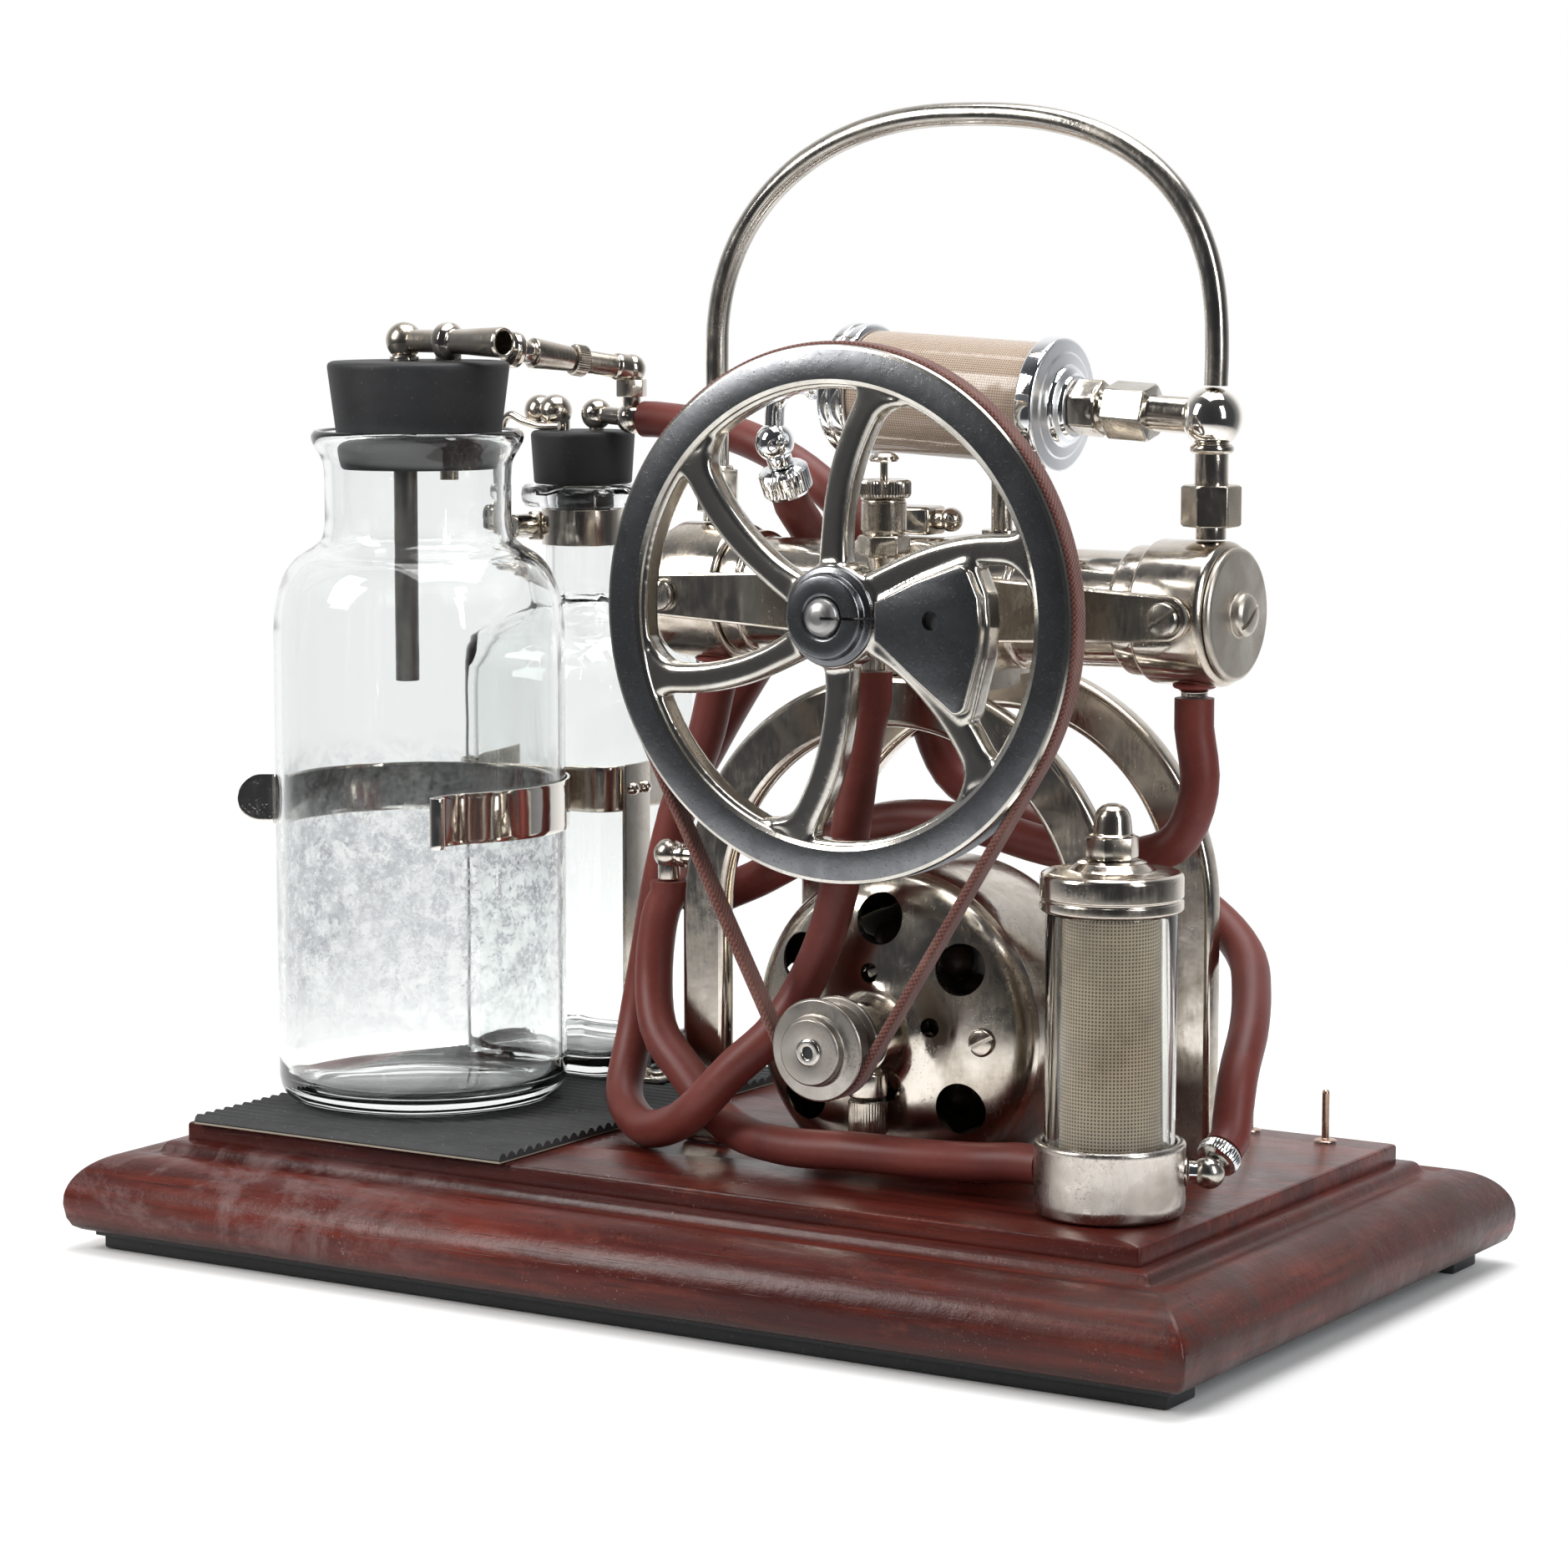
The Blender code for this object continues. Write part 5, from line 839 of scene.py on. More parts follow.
SX, SY = bx + 0.4, by + 0.3
piece("suction_stopper", "stopper", "black_rubber",
      turned([(0, 295.2), (2.0, 295.6), (29.0, 295.6), (30.4, 294.8), (30.6, 293.6), (26.4, 260.6), (25.6, 260.0), (0, 260.0)], (SX, SY, 0), steps=64, mat=BLACK, soft=0.8))

DIP = plated("dip_tube_metal", (0.30, 0.29, 0.27), (0.16, 0.155, 0.15), (0.06, 0.055, 0.05), dull_at=(0.38, 0.6), rough=(0.28, 0.5))

# inlet: dip tube, ball, open nozzle with its ring
TUBE_X, TUBE_Y = bx - 5.2, by
nozzle = Vector((math.cos(math.radians(-10)), math.sin(math.radians(-10)), 0))
ball1 = Vector((TUBE_X, TUBE_Y, 302.3))
ring_a = [(r, h + 3.3) for r, h in [(3.8, 14.4), (4.8, 14.8), (5.4, 15.4), (6.2, 16.4), (6.3, 18.0), (6.2, 19.6), (5.4, 20.6), (4.8, 21.2), (4.1, 21.6)]]
piece("suction_inlet_fitting", "stopper", "nickel",
      turned([(3.0, 300.0), (4.0, 300.0), (4.0, 188.0), (3.0, 188.0)], (TUBE_X, TUBE_Y, 0), steps=32, closed=True, mat=DIP), ball(ball1, 6.2),
      rod((TUBE_X, TUBE_Y, 295.4), (0, 0, 1), 5.0, 1.6, mat=NICKEL),
      turned([(0, 31.0), (3.5, 31.0), (3.9, 47.6), (4.2, 48.0), (4.8, 48.0), (5.1, 47.0), (4.7, 38.0), (4.3, 31.0), (4.2, 27.0)] + ring_a[::-1] + [(3.8, 8.0), (3.8, 2.0), (0, 2.0)], ball1, nozzle, steps=32, soft=0.15))

# outlet: ball, ring and the tapered half of the link pipe
link_dir = (ELBOW - ball2).normalized()
link_len = (ELBOW - ball2).length
UNION = 0.745 * link_len
piece("suction_outlet_fitting", "stopper", "nickel",
      turned([(2.3, 300.0), (3.2, 300.0), (3.2, 256.0), (2.3, 256.0)], (ball2.x, ball2.y, 0), steps=28, closed=True), ball(ball2, 5.5), rod((ball2.x, ball2.y, 295.6), (0, 0, 1), 4.4, 2.0),
      turned([(0, UNION - 0.2), (2.9, UNION - 0.2), (3.0, UNION - 6), (4.2, UNION - 6.4), (4.4, UNION - 9.0), (5.2, UNION - 21.0), (5.2, UNION - 22.0), (4.4, UNION - 22.6), (3.7, UNION - 22.9), (3.7, 28.8), (5.0, 28.4), (6.0, 27.4),
              (6.2, 25.8), (6.0, 24.2), (5.0, 23.2), (3.6, 22.9), (3.6, 2.0), (0, 2.0)], ball2, link_dir, steps=32, soft=0.2))
piece("union_ring", "union_ring", "nickel",
      turned([(3.4, UNION - 5.6), (3.4, UNION - 0.5), (4.8, UNION - 0.5), (5.4, UNION - 1.1), (5.4, UNION - 2.2), (5.4, UNION - 3.2), (5.4, UNION - 5.0), (4.8, UNION - 5.6)], ball2, link_dir, closed=True, soft=0,
             wave=(UNION - 5.2, UNION - 1.0, 40, 0.22, 5.3), smooth=20))

# link arm: pipe from the union, elbow, hexagon and the balls over the square bottle
piece("link_arm", "base", "nickel",
      turned([(0, link_len - 1), (4.6, link_len - 1), (4.7, link_len - 6.3), (4.3, link_len - 7), (3.9, link_len - 7.4), (3.9, UNION + 0.1), (0, UNION + 0.1)], ball2, link_dir, steps=32),
      ball(ELBOW, 5.0), rod((ELBOW.x, ELBOW.y, 276.3), (0, 0, 1), 3.2, 14.4), hexagon((ELBOW.x, ELBOW.y, 282.0), (0, 0, 1), 11.0, 6.0, turn_by=0.3),
      ball(ball4, 5.4), ball(ball3, 5.4), rod(ball4, ball3 - ball4, 3.0, (ball3 - ball4).length),
      rod((ball3.x, ball3.y, 269.9), (0, 0, 1), 2.6, 2.4))


# ==== square bottle =================================================================
def soft_square(half, r, z, n=6):
    r = min(r, half)
    return [(ex + a, ey + b, z) for a, b in rounded_rectangle(half, half, r, n)]


H = ETHER_HALF
sections = [(H - 7, 6, z0 + 0.6), (H - 5, 8, z0), (H - 3.2, 9, z0 + 0.3), (H - 1.2, 10, z0 + 1.8), (H - 0.2, 10.5, z0 + 4.4), (H, 10.5, z0 + 7), (H, 10.5, 190.0), (H - 0.4, 10.8, 193.6), (H - 1.8, 11.6, 196.8), (H - 4.6, 12.6, 199.8),
            (H - 9.0, 13.6, 202.6), (H - 13.4, 14.0, 205.4), (15.4, 15.4, 208.4), (13.6, 13.6, 212.0), (13.1, 13.1, 216.0), (13.1, 13.1, 241.6), (13.6, 13.6, 242.8), (17.0, 17.0, 243.0), (20.4, 20.4, 243.4), (21.6, 21.6, 245.0),
            (22.0, 22.0, 247.4), (21.6, 21.6, 249.6), (20.6, 20.6, 250.7), (12.4, 12.4, 250.8), (11.2, 11.2, 250.2), (10.4, 10.4, 247.0), (10.4, 10.4, 209.0), (11.6, 11.6, 204.6), (H - 15.0, 15.0, 200.4), (H - 9.6, 13.4, 197.4),
            (H - 5.6, 11.6, 193.6), (H - 3.4, 9.6, 188.0), (H - 3.2, 9.2, 180.0), (H - 3.2, 9.2, z0 + 12), (H - 4.2, 8.6, z0 + 8.4), (H - 8.0, 7.6, z0 + 6.4), (H - 14.0, 6.4, z0 + 6.0)]
square = rings_mesh([soft_square(*s) for s in sections])
bm = bmesh.new()
bm.from_mesh(square.data)
bmesh.ops.recalc_face_normals(bm, faces=bm.faces)
bm.to_mesh(square.data)
bm.free()
piece("ether_bottle", "base", "glass", finish(square, GLASS, 60))

EO = Vector((ex - 6.0, ey - 3.0, 0))
piece("ether_stopper", "base", "black_rubber",
      turned([(0, 269.4), (1.5, 269.6), (17.4, 269.6), (18.3, 268.4), (17.2, 251.6), (16.6, ETHER_TOP + GAP), (10.0, ETHER_TOP + GAP), (9.6, 240.6), (9.0, 240.0), (0, 240.0)], (ex, ey, 0), steps=56, mat=BLACK, soft=0.7))
EB1 = Vector((EO.x - 3.0, EO.y - 1.0, 276.2))
EB2 = Vector((EB1.x - 6.0, EB1.y - 0.5, 276.4))
hook = smooth_line([(EB1.x + 6.5, EB1.y - 7.0, 271.6), (EB1.x - 1.0, EB1.y - 7.5, 271.4), (EB1.x - 8.0, EB1.y - 8.0, 273.0), (EB1.x - 14.0, EB1.y - 7.5, 275.0), (EB1.x - 17.5, EB1.y - 7.0, 272.0), (EB1.x - 18.5, EB1.y - 7.0, 267.0)], 1.0)
piece("ether_outlet_fitting", "base", "nickel", turned([(1.4, 274.0), (2.2, 274.0), (2.2, 232.0), (1.4, 232.0)], (EO.x, EO.y, 0), steps=24, closed=True, soft=0.1), ball(EB1, 6.0), ball(EB2, 5.6),
      pipe(hook, 1.4), rod((EB1.x, EB1.y - 8.0, 271.8), (0, 1, 0), 1.4, 7.0))


def strip(path, heights, mid, thick, mat=None, across=10, smooth=50):
    """A sheet-metal strip: plan path (mm), half height at each point, centred on a level, with rounded long edges."""
    verts, faces = [], []
    n = across + 1
    for (x, y), h in zip(path, heights):
        for k in range(n):
            verts.append((x * MM, y * MM, (mid + h * (2.0 * k / across - 1)) * MM))
    for i in range(len(path) - 1):
        for k in range(across):
            a = i * n + k
            faces.append((a, a + 1, a + n + 1, a + n))
    mesh = bpy.data.meshes.new("strip")
    mesh.from_pydata(verts, [], faces)
    obj = bpy.data.objects.new("strip", mesh)
    SCENE.objects.link(obj)
    m = obj.modifiers.new("thick", "SOLIDIFY")
    m.thickness, m.offset = thick * MM, 0.0
    b = obj.modifiers.new("edge", "BEVEL")
    b.width, b.segments, b.limit_method, b.angle_limit = thick * 0.3 * MM, 2, "ANGLE", math.radians(60)
    mesh2 = baked(obj)
    drop(obj)
    new = bpy.data.objects.new("strip", mesh2)
    SCENE.objects.link(new)
    return finish(new, mat or NICKEL, smooth)


def screw(origin, axis, r, high, slot_turn=0.4, mat=None):
    """A round slotted screw head."""
    head = turned([(0, high), (r * 0.55, high * 0.97), (r * 0.88, high * 0.84), (r, high * 0.62), (r, 0), (0, 0)], origin, axis, steps=40, mat=mat, soft=0.25)
    m = frame_of(origin, axis)
    slot = box((-r * 1.3, r * 1.3), (-r * 0.15, r * 0.15), (high * 0.35, high * 2), mat, 0)
    bpy.context.view_layer.update()
    slot.matrix_world = m @ Matrix.Rotation(slot_turn, 4, "Z") @ slot.matrix_world
    return cut(head, slot)


clamp_ring = turned([(13.4, 242.3), (14.6, 242.3), (14.6, 229.7), (13.4, 229.7)], (ex, ey, 0), steps=64, closed=True, soft=0.3)
piece("neck_clamp", "base", "nickel", clamp_ring, rod((ex - 19.6, ey - 15.5, 236.0), (0.25, 1.0, 0), 4.2, 12.0), box((ex - 18.0, ex - 13.2), (ey - 8.0, ey - 4.0), (231.0, 241.0)),
      # painted shade: the black disc in the washer's hole stands for the dark hole
      turned([(1.5, 0), (3.4, 0), (3.7, 0.3), (3.7, 1.2), (1.5, 1.2)][::-1], (ex - 19.8, ey - 16.2, 236.0), (0.25, 1.0, 0), steps=32, closed=True, soft=0, mat=SATIN), rod((ex - 19.75, ey - 16.0, 236.0), (0.25, 1.0, 0), 1.5, 0.6, mat=BLACK, soft=0))

CLIP_Z, SPRING_Z = (139.6, 155.4), (138.2, 155.0)
PLATE_X = ex + ETHER_HALF + 1.7
piece("clip_plate", "base", "nickel", box((PLATE_X, PLATE_X + 1.6), (33.0, 48.5), (PLAT_Z + GAP + 3.7, 156.0), bevel=0.5), box((PLATE_X, PLATE_X + 15.0), (33.0, 48.5), (z0, z0 + 1.8), bevel=0.5),
      ball((PLATE_X + 2.2, 37.0, 147.5), 2.2), ball((PLATE_X + 2.2, 44.5, 147.5), 2.2), rod((PLATE_X + 9.0, 40.5, z0 + 1.6), (0, 0, 1), 3.2, 1.3))

E1 = ETHER_HALF + 1.0
band = [(ex + E1, ey + 14.0)] + arc(ex + E1 - 10.5, ey - E1 + 10.5, 10.5, 0, -90, 8) + arc(ex - E1 + 10.5, ey - E1 + 10.5, 10.5, -90, -180, 8) + [(ex - E1, ey + 14.0)]
piece("ether_clip", "base", "nickel", strip(band, [7.9] * len(band), sum(CLIP_Z) / 2, 0.9))

A0, A1, CR = math.radians(-33.0), math.radians(200.0), BOTTLE_R + 1.0
path = [(bx + CR * math.cos(A0 + (A1 - A0) * i / 110), by + CR * math.sin(A0 + (A1 - A0) * i / 110)) for i in range(111)]
half = (SPRING_Z[1] - SPRING_Z[0]) / 2


def tail(a, sign, reach=17.5, out=7.0, n=14):
    u, t = Vector((math.cos(a), math.sin(a))), Vector((-math.sin(a), math.cos(a))) * sign
    return [tuple(Vector((bx, by)) + u * (CR + (k / n) ** 2 * out) + t * (k / n) * reach) for k in range(1, n + 1)]


right_tail = tail(A0, -1)
# the front end is rolled back on itself
back = Vector(right_tail[-1]) - Vector(right_tail[-2])
heading, at = math.atan2(back.y, back.x), Vector(right_tail[-1])
for k in range(16):
    heading += math.radians(17.0)
    at = at + Vector((math.cos(heading), math.sin(heading))) * 0.62
    right_tail.append(tuple(at))
# the left end turns out into a tab
heading, at, left_tail = A1 + math.pi / 2, Vector(path[-1]), []
goal = math.radians(212.0)
while heading > goal + 0.02:
    heading = max(goal, heading - math.radians(11.0))
    at = at + Vector((math.cos(heading), math.sin(heading))) * 0.6
    left_tail.append(tuple(at))
for k in range(22):
    at = at + Vector((math.cos(goal), math.sin(goal))) * 0.5
    left_tail.append(tuple(at))
whole = right_tail[::-1] + path + left_tail
q = np.array(whole)
s_at = np.concatenate([[0], np.cumsum(np.linalg.norm(np.diff(q, axis=0), axis=1))])
total = s_at[-1]
high = []
for s in s_at:
    d = total - s
    high.append(max(0.6, math.sqrt(max(half ** 2 - (half - d) ** 2, 0.0))) if d < half else half)
piece("suction_clip", "base", "nickel", strip(whole, high, sum(SPRING_Z) / 2, 0.9, TOP_METAL))

# ==== motor =========================================================================
MC = (MOTOR_X, 0, MOTOR_Z)
cover_out = [(9.6, -52.5), (11.2, -51.9), (11.6, -45.0), (12.6, -42.0), (15.0, -40.2), (19.5, -39.2), (28.0, -38.6), (36.0, -37.6), (42.0, -36.0), (46.4, -33.8), (49.6, -30.6), (MOTOR_R, -26.9)]
cover_in = [(MOTOR_R - 1.8, -27.2), (MOTOR_R - 2.6, -30.4), (47.0, -32.6), (43.8, -34.4), (39.6, -35.2), (24.0, -35.2), (17.0, -35.0), (11.0, -34.0), (4.4, -34.0), (4.4, -52.5)]
cover = turned(([cover_out[0]] + curve2(cover_out[1:], 1.8) + cover_in)[::-1], MC, (0, 1, 0), steps=96, closed=True, soft=0)
holes, lips = [], []
for a in (0, 53, 128, -128, -53):
    t = math.radians(a - 1.0)
    at = (MOTOR_X + 36.2 * math.sin(t), -42.0, MOTOR_Z + 36.2 * math.cos(t))
    holes.append(cutter(at, (0, 1, 0), 8.2, 16.0, 40))
for a in (-10, 80, 170, 260):
    t = math.radians(a)
    holes.append(cutter((MOTOR_X + 19.2 * math.sin(t), -42.0, MOTOR_Z + 19.2 * math.cos(t)), (0, 1, 0), 3.1, 16.0, 24))
cover = cut(cover, *holes)
piece("motor_front_cover", "base", "nickel", cover,
      turned([(0, 80.0), (5.6, 80.0), (5.6, 75.6), (6.3, 75.0), (6.3, 67.8), (5.0, 67.0), (0, 66.8)], (MOTOR_X, DRIP_Y, 0), steps=36),
      rod((MOTOR_X, -52.2, MOTOR_Z), (0, 1, 0), 9.0, 1.0),
      screw((MOTOR_X + 36.8, -37.2, MOTOR_Z), (0, -1, 0), 4.4, 2.4, 0.5), screw((MOTOR_X - 36.8, -37.2, MOTOR_Z), (0, -1, 0), 4.4, 2.4, -0.7))
piece("motor_oiler_cap", "motor_oiler", "nickel",
      turned([(0, 66.5), (5.8, 66.5), (6.2, 66.0), (6.2, 64.0), (6.2, 61.0), (6.2, 58.0), (6.2, 56.0), (5.4, 54.8), (3.0, 54.5), (0, 54.5)], (MOTOR_X, DRIP_Y, 0), soft=0, wave=(55.9, 64.1, 42, 0.22, 6.1), smooth=20))

drum = turned([(4.4, 22.0), (44.0, 22.0), (MOTOR_R - 1.5, 19.5), (MOTOR_R, 15.0), (MOTOR_R, -26.9), (MOTOR_R - 2.0, -26.9), (MOTOR_R - 2.0, 14.5), (43.0, 20.0), (4.4, 20.0)], MC, (0, 1, 0), steps=96, closed=True, soft=1.2)
drum = cut(drum, *[cutter((MOTOR_X - 60, -14.0, zz), (1, 0, 0), 5.0, 120.0, 28) for zz in (76.0, 97.0)])
piece("motor_drum", "base", "nickel", drum, rod((MOTOR_X + 30, 21.6, MOTOR_Z), (0, 1, 0), 3.4, 0.4),
      *[rod((MOTOR_X - 30, 21.6, MOTOR_Z), (0, 1, 0), 3.4, 0.4)])
# painted shade: the winding is coloured near black, over its dark brown varnish, so the vents look dark inside
WINDING_VARNISH_AND_SHADE = black_rubber("winding_varnish_and_painted_shade", (0.030, 0.016, 0.010), 0.4, 0.2)
coils = []
for k in range(14):
    t = 2 * math.pi * k / 14
    coils.append(ball((MOTOR_X + 28.0 * math.cos(t), -19.5, MOTOR_Z + 28.0 * math.sin(t)), 6.2, WINDING_VARNISH_AND_SHADE, 20, 14))
piece("motor_rotor", "motor_rotor", "steel", turned([(0, 26.0), (4.0, 26.0), (4.0, 12.0), (38.0, 12.0), (38.0, -19.0), (18.0, -20.0), (18.0, -31.0), (4.0, -31.0), (4.0, -79.8), (3.4, -80.6), (0, -80.6)], MC, (0, 1, 0), steps=64, mat=CAST, soft=0.4), *coils)
piece("motor_pulley", "motor_rotor", "nickel",
      turned([(4.3, -81.0), (10.0, -81.0), (10.6, -80.4), (10.6, -77.4), (11.4, -76.8), (15.6, -76.6), (16.2, -76.0), (16.2, -75.2), (15.4, -74.6), (PULLEY_GROOVE, -74.4), (PULLEY_GROOVE, -65.6), (15.0, -65.4), (15.4, -64.8), (15.4, -63.8),
              (14.8, -63.3), (8.6, -62.9), (7.5, -62.0), (7.5, -57.0), (4.3, -57.0)][::-1], MC, (0, 1, 0), steps=64, closed=True, soft=0.2, mat=PULLEY),
      turned([(4.4, -80.2), (4.4, -81.6), (3.6, -82.0), (2.2, -82.0), (1.8, -81.6), (1.8, -80.2)], MC, (0, 1, 0), steps=36, closed=True, mat=CAST, soft=0.2),
      # painted shade: a black disc in the middle of the ring stands for the dark centre hole
      rod((MOTOR_X, -81.2, MOTOR_Z), (0, 1, 0), 1.9, 1.0, mat=BLACK, soft=0.1))


# ==== frame arches ==================================================================
def arch_outline(cx, cz, r_out, r_in):
    return [(cx + r_out, foot_z)] + arc(cx, cz, r_out, 0, 180, 96) + [(cx - r_out, foot_z), (cx - r_in, foot_z)] + arc(cx, cz, r_in, 180, 0, 96) + [(cx + r_in, foot_z)]


SEAL = black_rubber("red_sealing_wax", (0.16, 0.025, 0.018), 0.5, 0.2)
piece("arch_front", "base", "nickel", flat([arch_outline(*FRONT_ARC)], *ARCH_FRONT, edge=2.4, smooth=50, parts=3), rod((DX, DY, DZ), (1, 0, 0), 3.2, 14.0), ball((DX, DY, DZ), 5.0), rod((DX, DY, DZ - 8.5), (0, 0, 1), 3.6, 8.0),
      rod((DX + 5.2, DY, DZ), (1, 0, 0), 4.2, 1.8))
piece("arch_rear", "base", "nickel", flat([arch_outline(*REAR_ARC)], *ARCH_REAR, edge=2.4, smooth=50, parts=3))

# ==== pump ==========================================================================
PC = (px, py, pz)
saddle = box((px - 24, px + 24), (ARCH_FRONT[0], ARCH_REAR[1]), (190.0, 204.8), bevel=0.8)
saddle = cut(saddle, cutter((FRONT_ARC[0], -60, FRONT_ARC[1]), (0, 1, 0), FRONT_ARC[2] + 0.4, 61, 192), cutter((REAR_ARC[0], 0.5, REAR_ARC[1]), (0, 1, 0), REAR_ARC[2] + 0.4, 60, 192))
piece("pump_body", "base", "nickel",
      turned([(BORE_R, -HEAD_IN + GAP), (20.2, -HEAD_IN + GAP), (20.2, -HEAD_IN + 7), (19.0, -HEAD_IN + 7.5), (BARREL_R, -HEAD_IN + 8.5), (BARREL_R, -31.5), (19.2, -30.6), (20.2, -30.0), (20.2, 30.0), (19.2, 30.6), (BARREL_R, 31.5),
              (BARREL_R, HEAD_IN - 8.5), (19.0, HEAD_IN - 7.5), (20.2, HEAD_IN - 7), (20.2, HEAD_IN - GAP), (BORE_R, HEAD_IN - GAP)], PC, (1, 0, 0), steps=72, closed=True, soft=0.5),
      turned([(0, -22.5), (19.4, -22.5), (20.4, -21.6), (20.4, 15.0), (19.4, 16.0), (0, 16.0)][::-1], (px, 0, pz), (0, 1, 0), steps=72, soft=0.5), saddle,
      rod((83.5, py, pz + 12), (0, 0, 1), 3.4, 31.3), turned([(0, pz + 23.4), (6.4, pz + 23.4), (6.4, pz + 20.0), (5.0, pz + 18.0), (0, pz + 16)], (83.5, py, 0), steps=32))

for name, s in (("head_right", 1), ("head_left", -1)):
    piece(name, "base", "nickel",
          turned([(0, HEAD_OUT), (HEAD_R - 1.6, HEAD_OUT), (HEAD_R, HEAD_OUT - 1.6), (HEAD_R, HEAD_IN + 1.0), (HEAD_R - 1.0, HEAD_IN), (BORE_R, HEAD_IN), (BORE_R, HEAD_IN + 14.8), (0, HEAD_IN + 14.8)], PC, (s, 0, 0), steps=72, soft=0.8),
          turned([(0, -20), (5.6, -20), (5.6, -23.2), (4.8, -24.0), (4.2, -24.4), (4.2, -26.0), (0, -26.0)], (px + s * 88.0, py, pz), (0, 0, 1), steps=32),
          turned([(0, -21.6), (6.6, -21.6), (6.9, -22.6), (6.2, -23.4), (0, -23.4)], (px + s * 88.0, py, pz), (0, 0, 1), steps=28, mat=SEAL, soft=0.5))
    boss = turned([(0, HEAD_OUT + 7.3), (3.4, HEAD_OUT + 7.2), (5.6, HEAD_OUT + 6.6), (6.7, HEAD_OUT + 5.4), (6.9, HEAD_OUT + 4.6), (6.9, HEAD_OUT + 3.0), (7.6, HEAD_OUT + 2.8), (19.4, HEAD_OUT + 2.6), (20.6, HEAD_OUT + 1.7),
                   (20.6, HEAD_OUT + GAP), (0, HEAD_OUT + GAP)], PC, (s, 0, 0), steps=72, soft=0.5, mat=SATIN)
    slot = box((px + s * (HEAD_OUT + 7.4) - 1.5, px + s * (HEAD_OUT + 7.4) + 1.5), (py - 8, py + 8), (pz - 0.75, pz + 0.75), bevel=0)
    slot.rotation_euler = (math.radians(38.0), 0, 0)
    piece("cap_" + name[5:], "base", "nickel", cut(boss, slot))

# bearing bracket: a bar thicker at the middle, a turned boss, its nipple
bar = arc(px - 91.4, pz, 7.0, 100, 260, 16) + [(px - 20, pz - 10.5)] + arc(px, pz, 16.0, 225, 315, 14) + [(px + 20, pz - 10.5)] + arc(px + 91.4, pz, 7.0, -80, 80, 16) + [(px + 20, pz + 10.5)] + arc(px, pz, 16.0, 45, 135, 14) + [(px - 20, pz + 10.5)]
piece("bearing_bracket", "base", "nickel", flat([bar], -31.6, -27.0, edge=0.8),
      turned([(0, -58.0), (8.8, -58.0), (10.2, -57.2), (11.0, -55.8), (11.0, -36.0), (12.0, -33.4), (14.5, -31.4), (14.5, -24.4), (0, -24.4)][::-1], (px, 0, pz), (0, 1, 0), steps=56, soft=0.5),
      turned([(0, pz - 7), (4.6, pz - 7), (4.6, pz - 13.0), (3.8, pz - 14), (3.8, pz - 19), (0, pz - 19)], (px - 3.0, -45.5, 0), steps=32),
      turned([(0, pz - 9.6), (5.8, pz - 9.8), (6.0, pz - 11.6), (5.2, pz - 12.4), (0, pz - 12.4)], (px - 3.0, -45.5, 0), steps=28, mat=SEAL, soft=0.5))
for name, s, a in (("bracket_screw_left", -1, 1.1), ("bracket_screw_right", 1, 0.6)):
    piece(name, "base", "nickel", screw((px + s * 91.4, -31.6 - GAP, pz), (0, -1, 0), 5.2, 2.9, a, NICKEL_OLD))

end = turned([(0, -84.0), (2.4, -83.7), (4.4, -82.9), (5.7, -81.8), (6.2, -80.4), (6.2, -60.5), (5.0, -60.5), (5.0, -19.8), (13.0, -19.8), (13.0, -15.0), (0, -15.0)][::-1], (px, 0, pz), (0, 1, 0), steps=48, mat=SHAFT, soft=0.3)
end = cut(end, box((px + 1.2, px + 8.0), (-90.0, -80.6), (pz - 0.5, pz + 0.4), bevel=0))
piece("crankshaft", "flywheel", "steel", end, rod((px, -15.5, pz + 8.0), (0, 1, 0), 2.5, 5.7, mat=CAST))
yoke = cut(box((px - 6, px + 6), (-9.2, -1.0), (pz - 11.5, pz + 11.5), CAST), box((px - 2.9, px + 2.9), (-10.0, -5.2), (pz - 9.5, pz + 9.5), CAST, 0))
piece("double_piston", "piston", "steel", rod((px - 49, py, pz), (1, 0, 0), 4.0, 98.0, mat=CAST), yoke, *[turned([(0, 0), (13.6, 0), (13.6, 3.0), (13.0, 3.2), (13.0, 4.6), (13.6, 4.8), (13.6, 7.2), (13.0, 7.4), (13.0, 8.8), (13.6, 9.0), (13.6, 12.0), (0, 12.0)],
                                                                        (x, py, pz), (1, 0, 0), mat=CAST, soft=0.1) for x in (px - 49, px + 37)])

# ==== flywheel ======================================================================
wy = (WHEEL_Y0 + WHEEL_Y1) / 2
hw = (WHEEL_Y1 - WHEEL_Y0) / 2
rim = turned([(WHEEL_IN, wy - hw + 2.2), (WHEEL_IN + 0.7, wy - hw + 0.7), (WHEEL_IN + 2.0, wy - hw), (WHEEL_R - 1.4, wy - hw), (WHEEL_R - 0.4, wy - hw + 0.4), (WHEEL_R, wy - 4.2), (WHEEL_GROOVE, wy - 3.8), (WHEEL_GROOVE, wy + 3.8),
              (WHEEL_R, wy + 4.2), (WHEEL_R - 0.4, wy + hw - 0.4), (WHEEL_R - 1.4, wy + hw), (WHEEL_IN + 2.0, wy + hw), (WHEEL_IN + 0.7, wy + hw - 0.7), (WHEEL_IN, wy + hw - 2.2)],
             (px, 0, pz), (0, 1, 0), steps=160, closed=True, mat=CAST, soft=0, smooth=24)
rim.data.materials.append(GROUND)
for poly in rim.data.polygons:
    if abs(poly.normal.z) > 0.97 and WHEEL_IN * MM < math.hypot(poly.center.x, poly.center.y):
        poly.material_index = 1


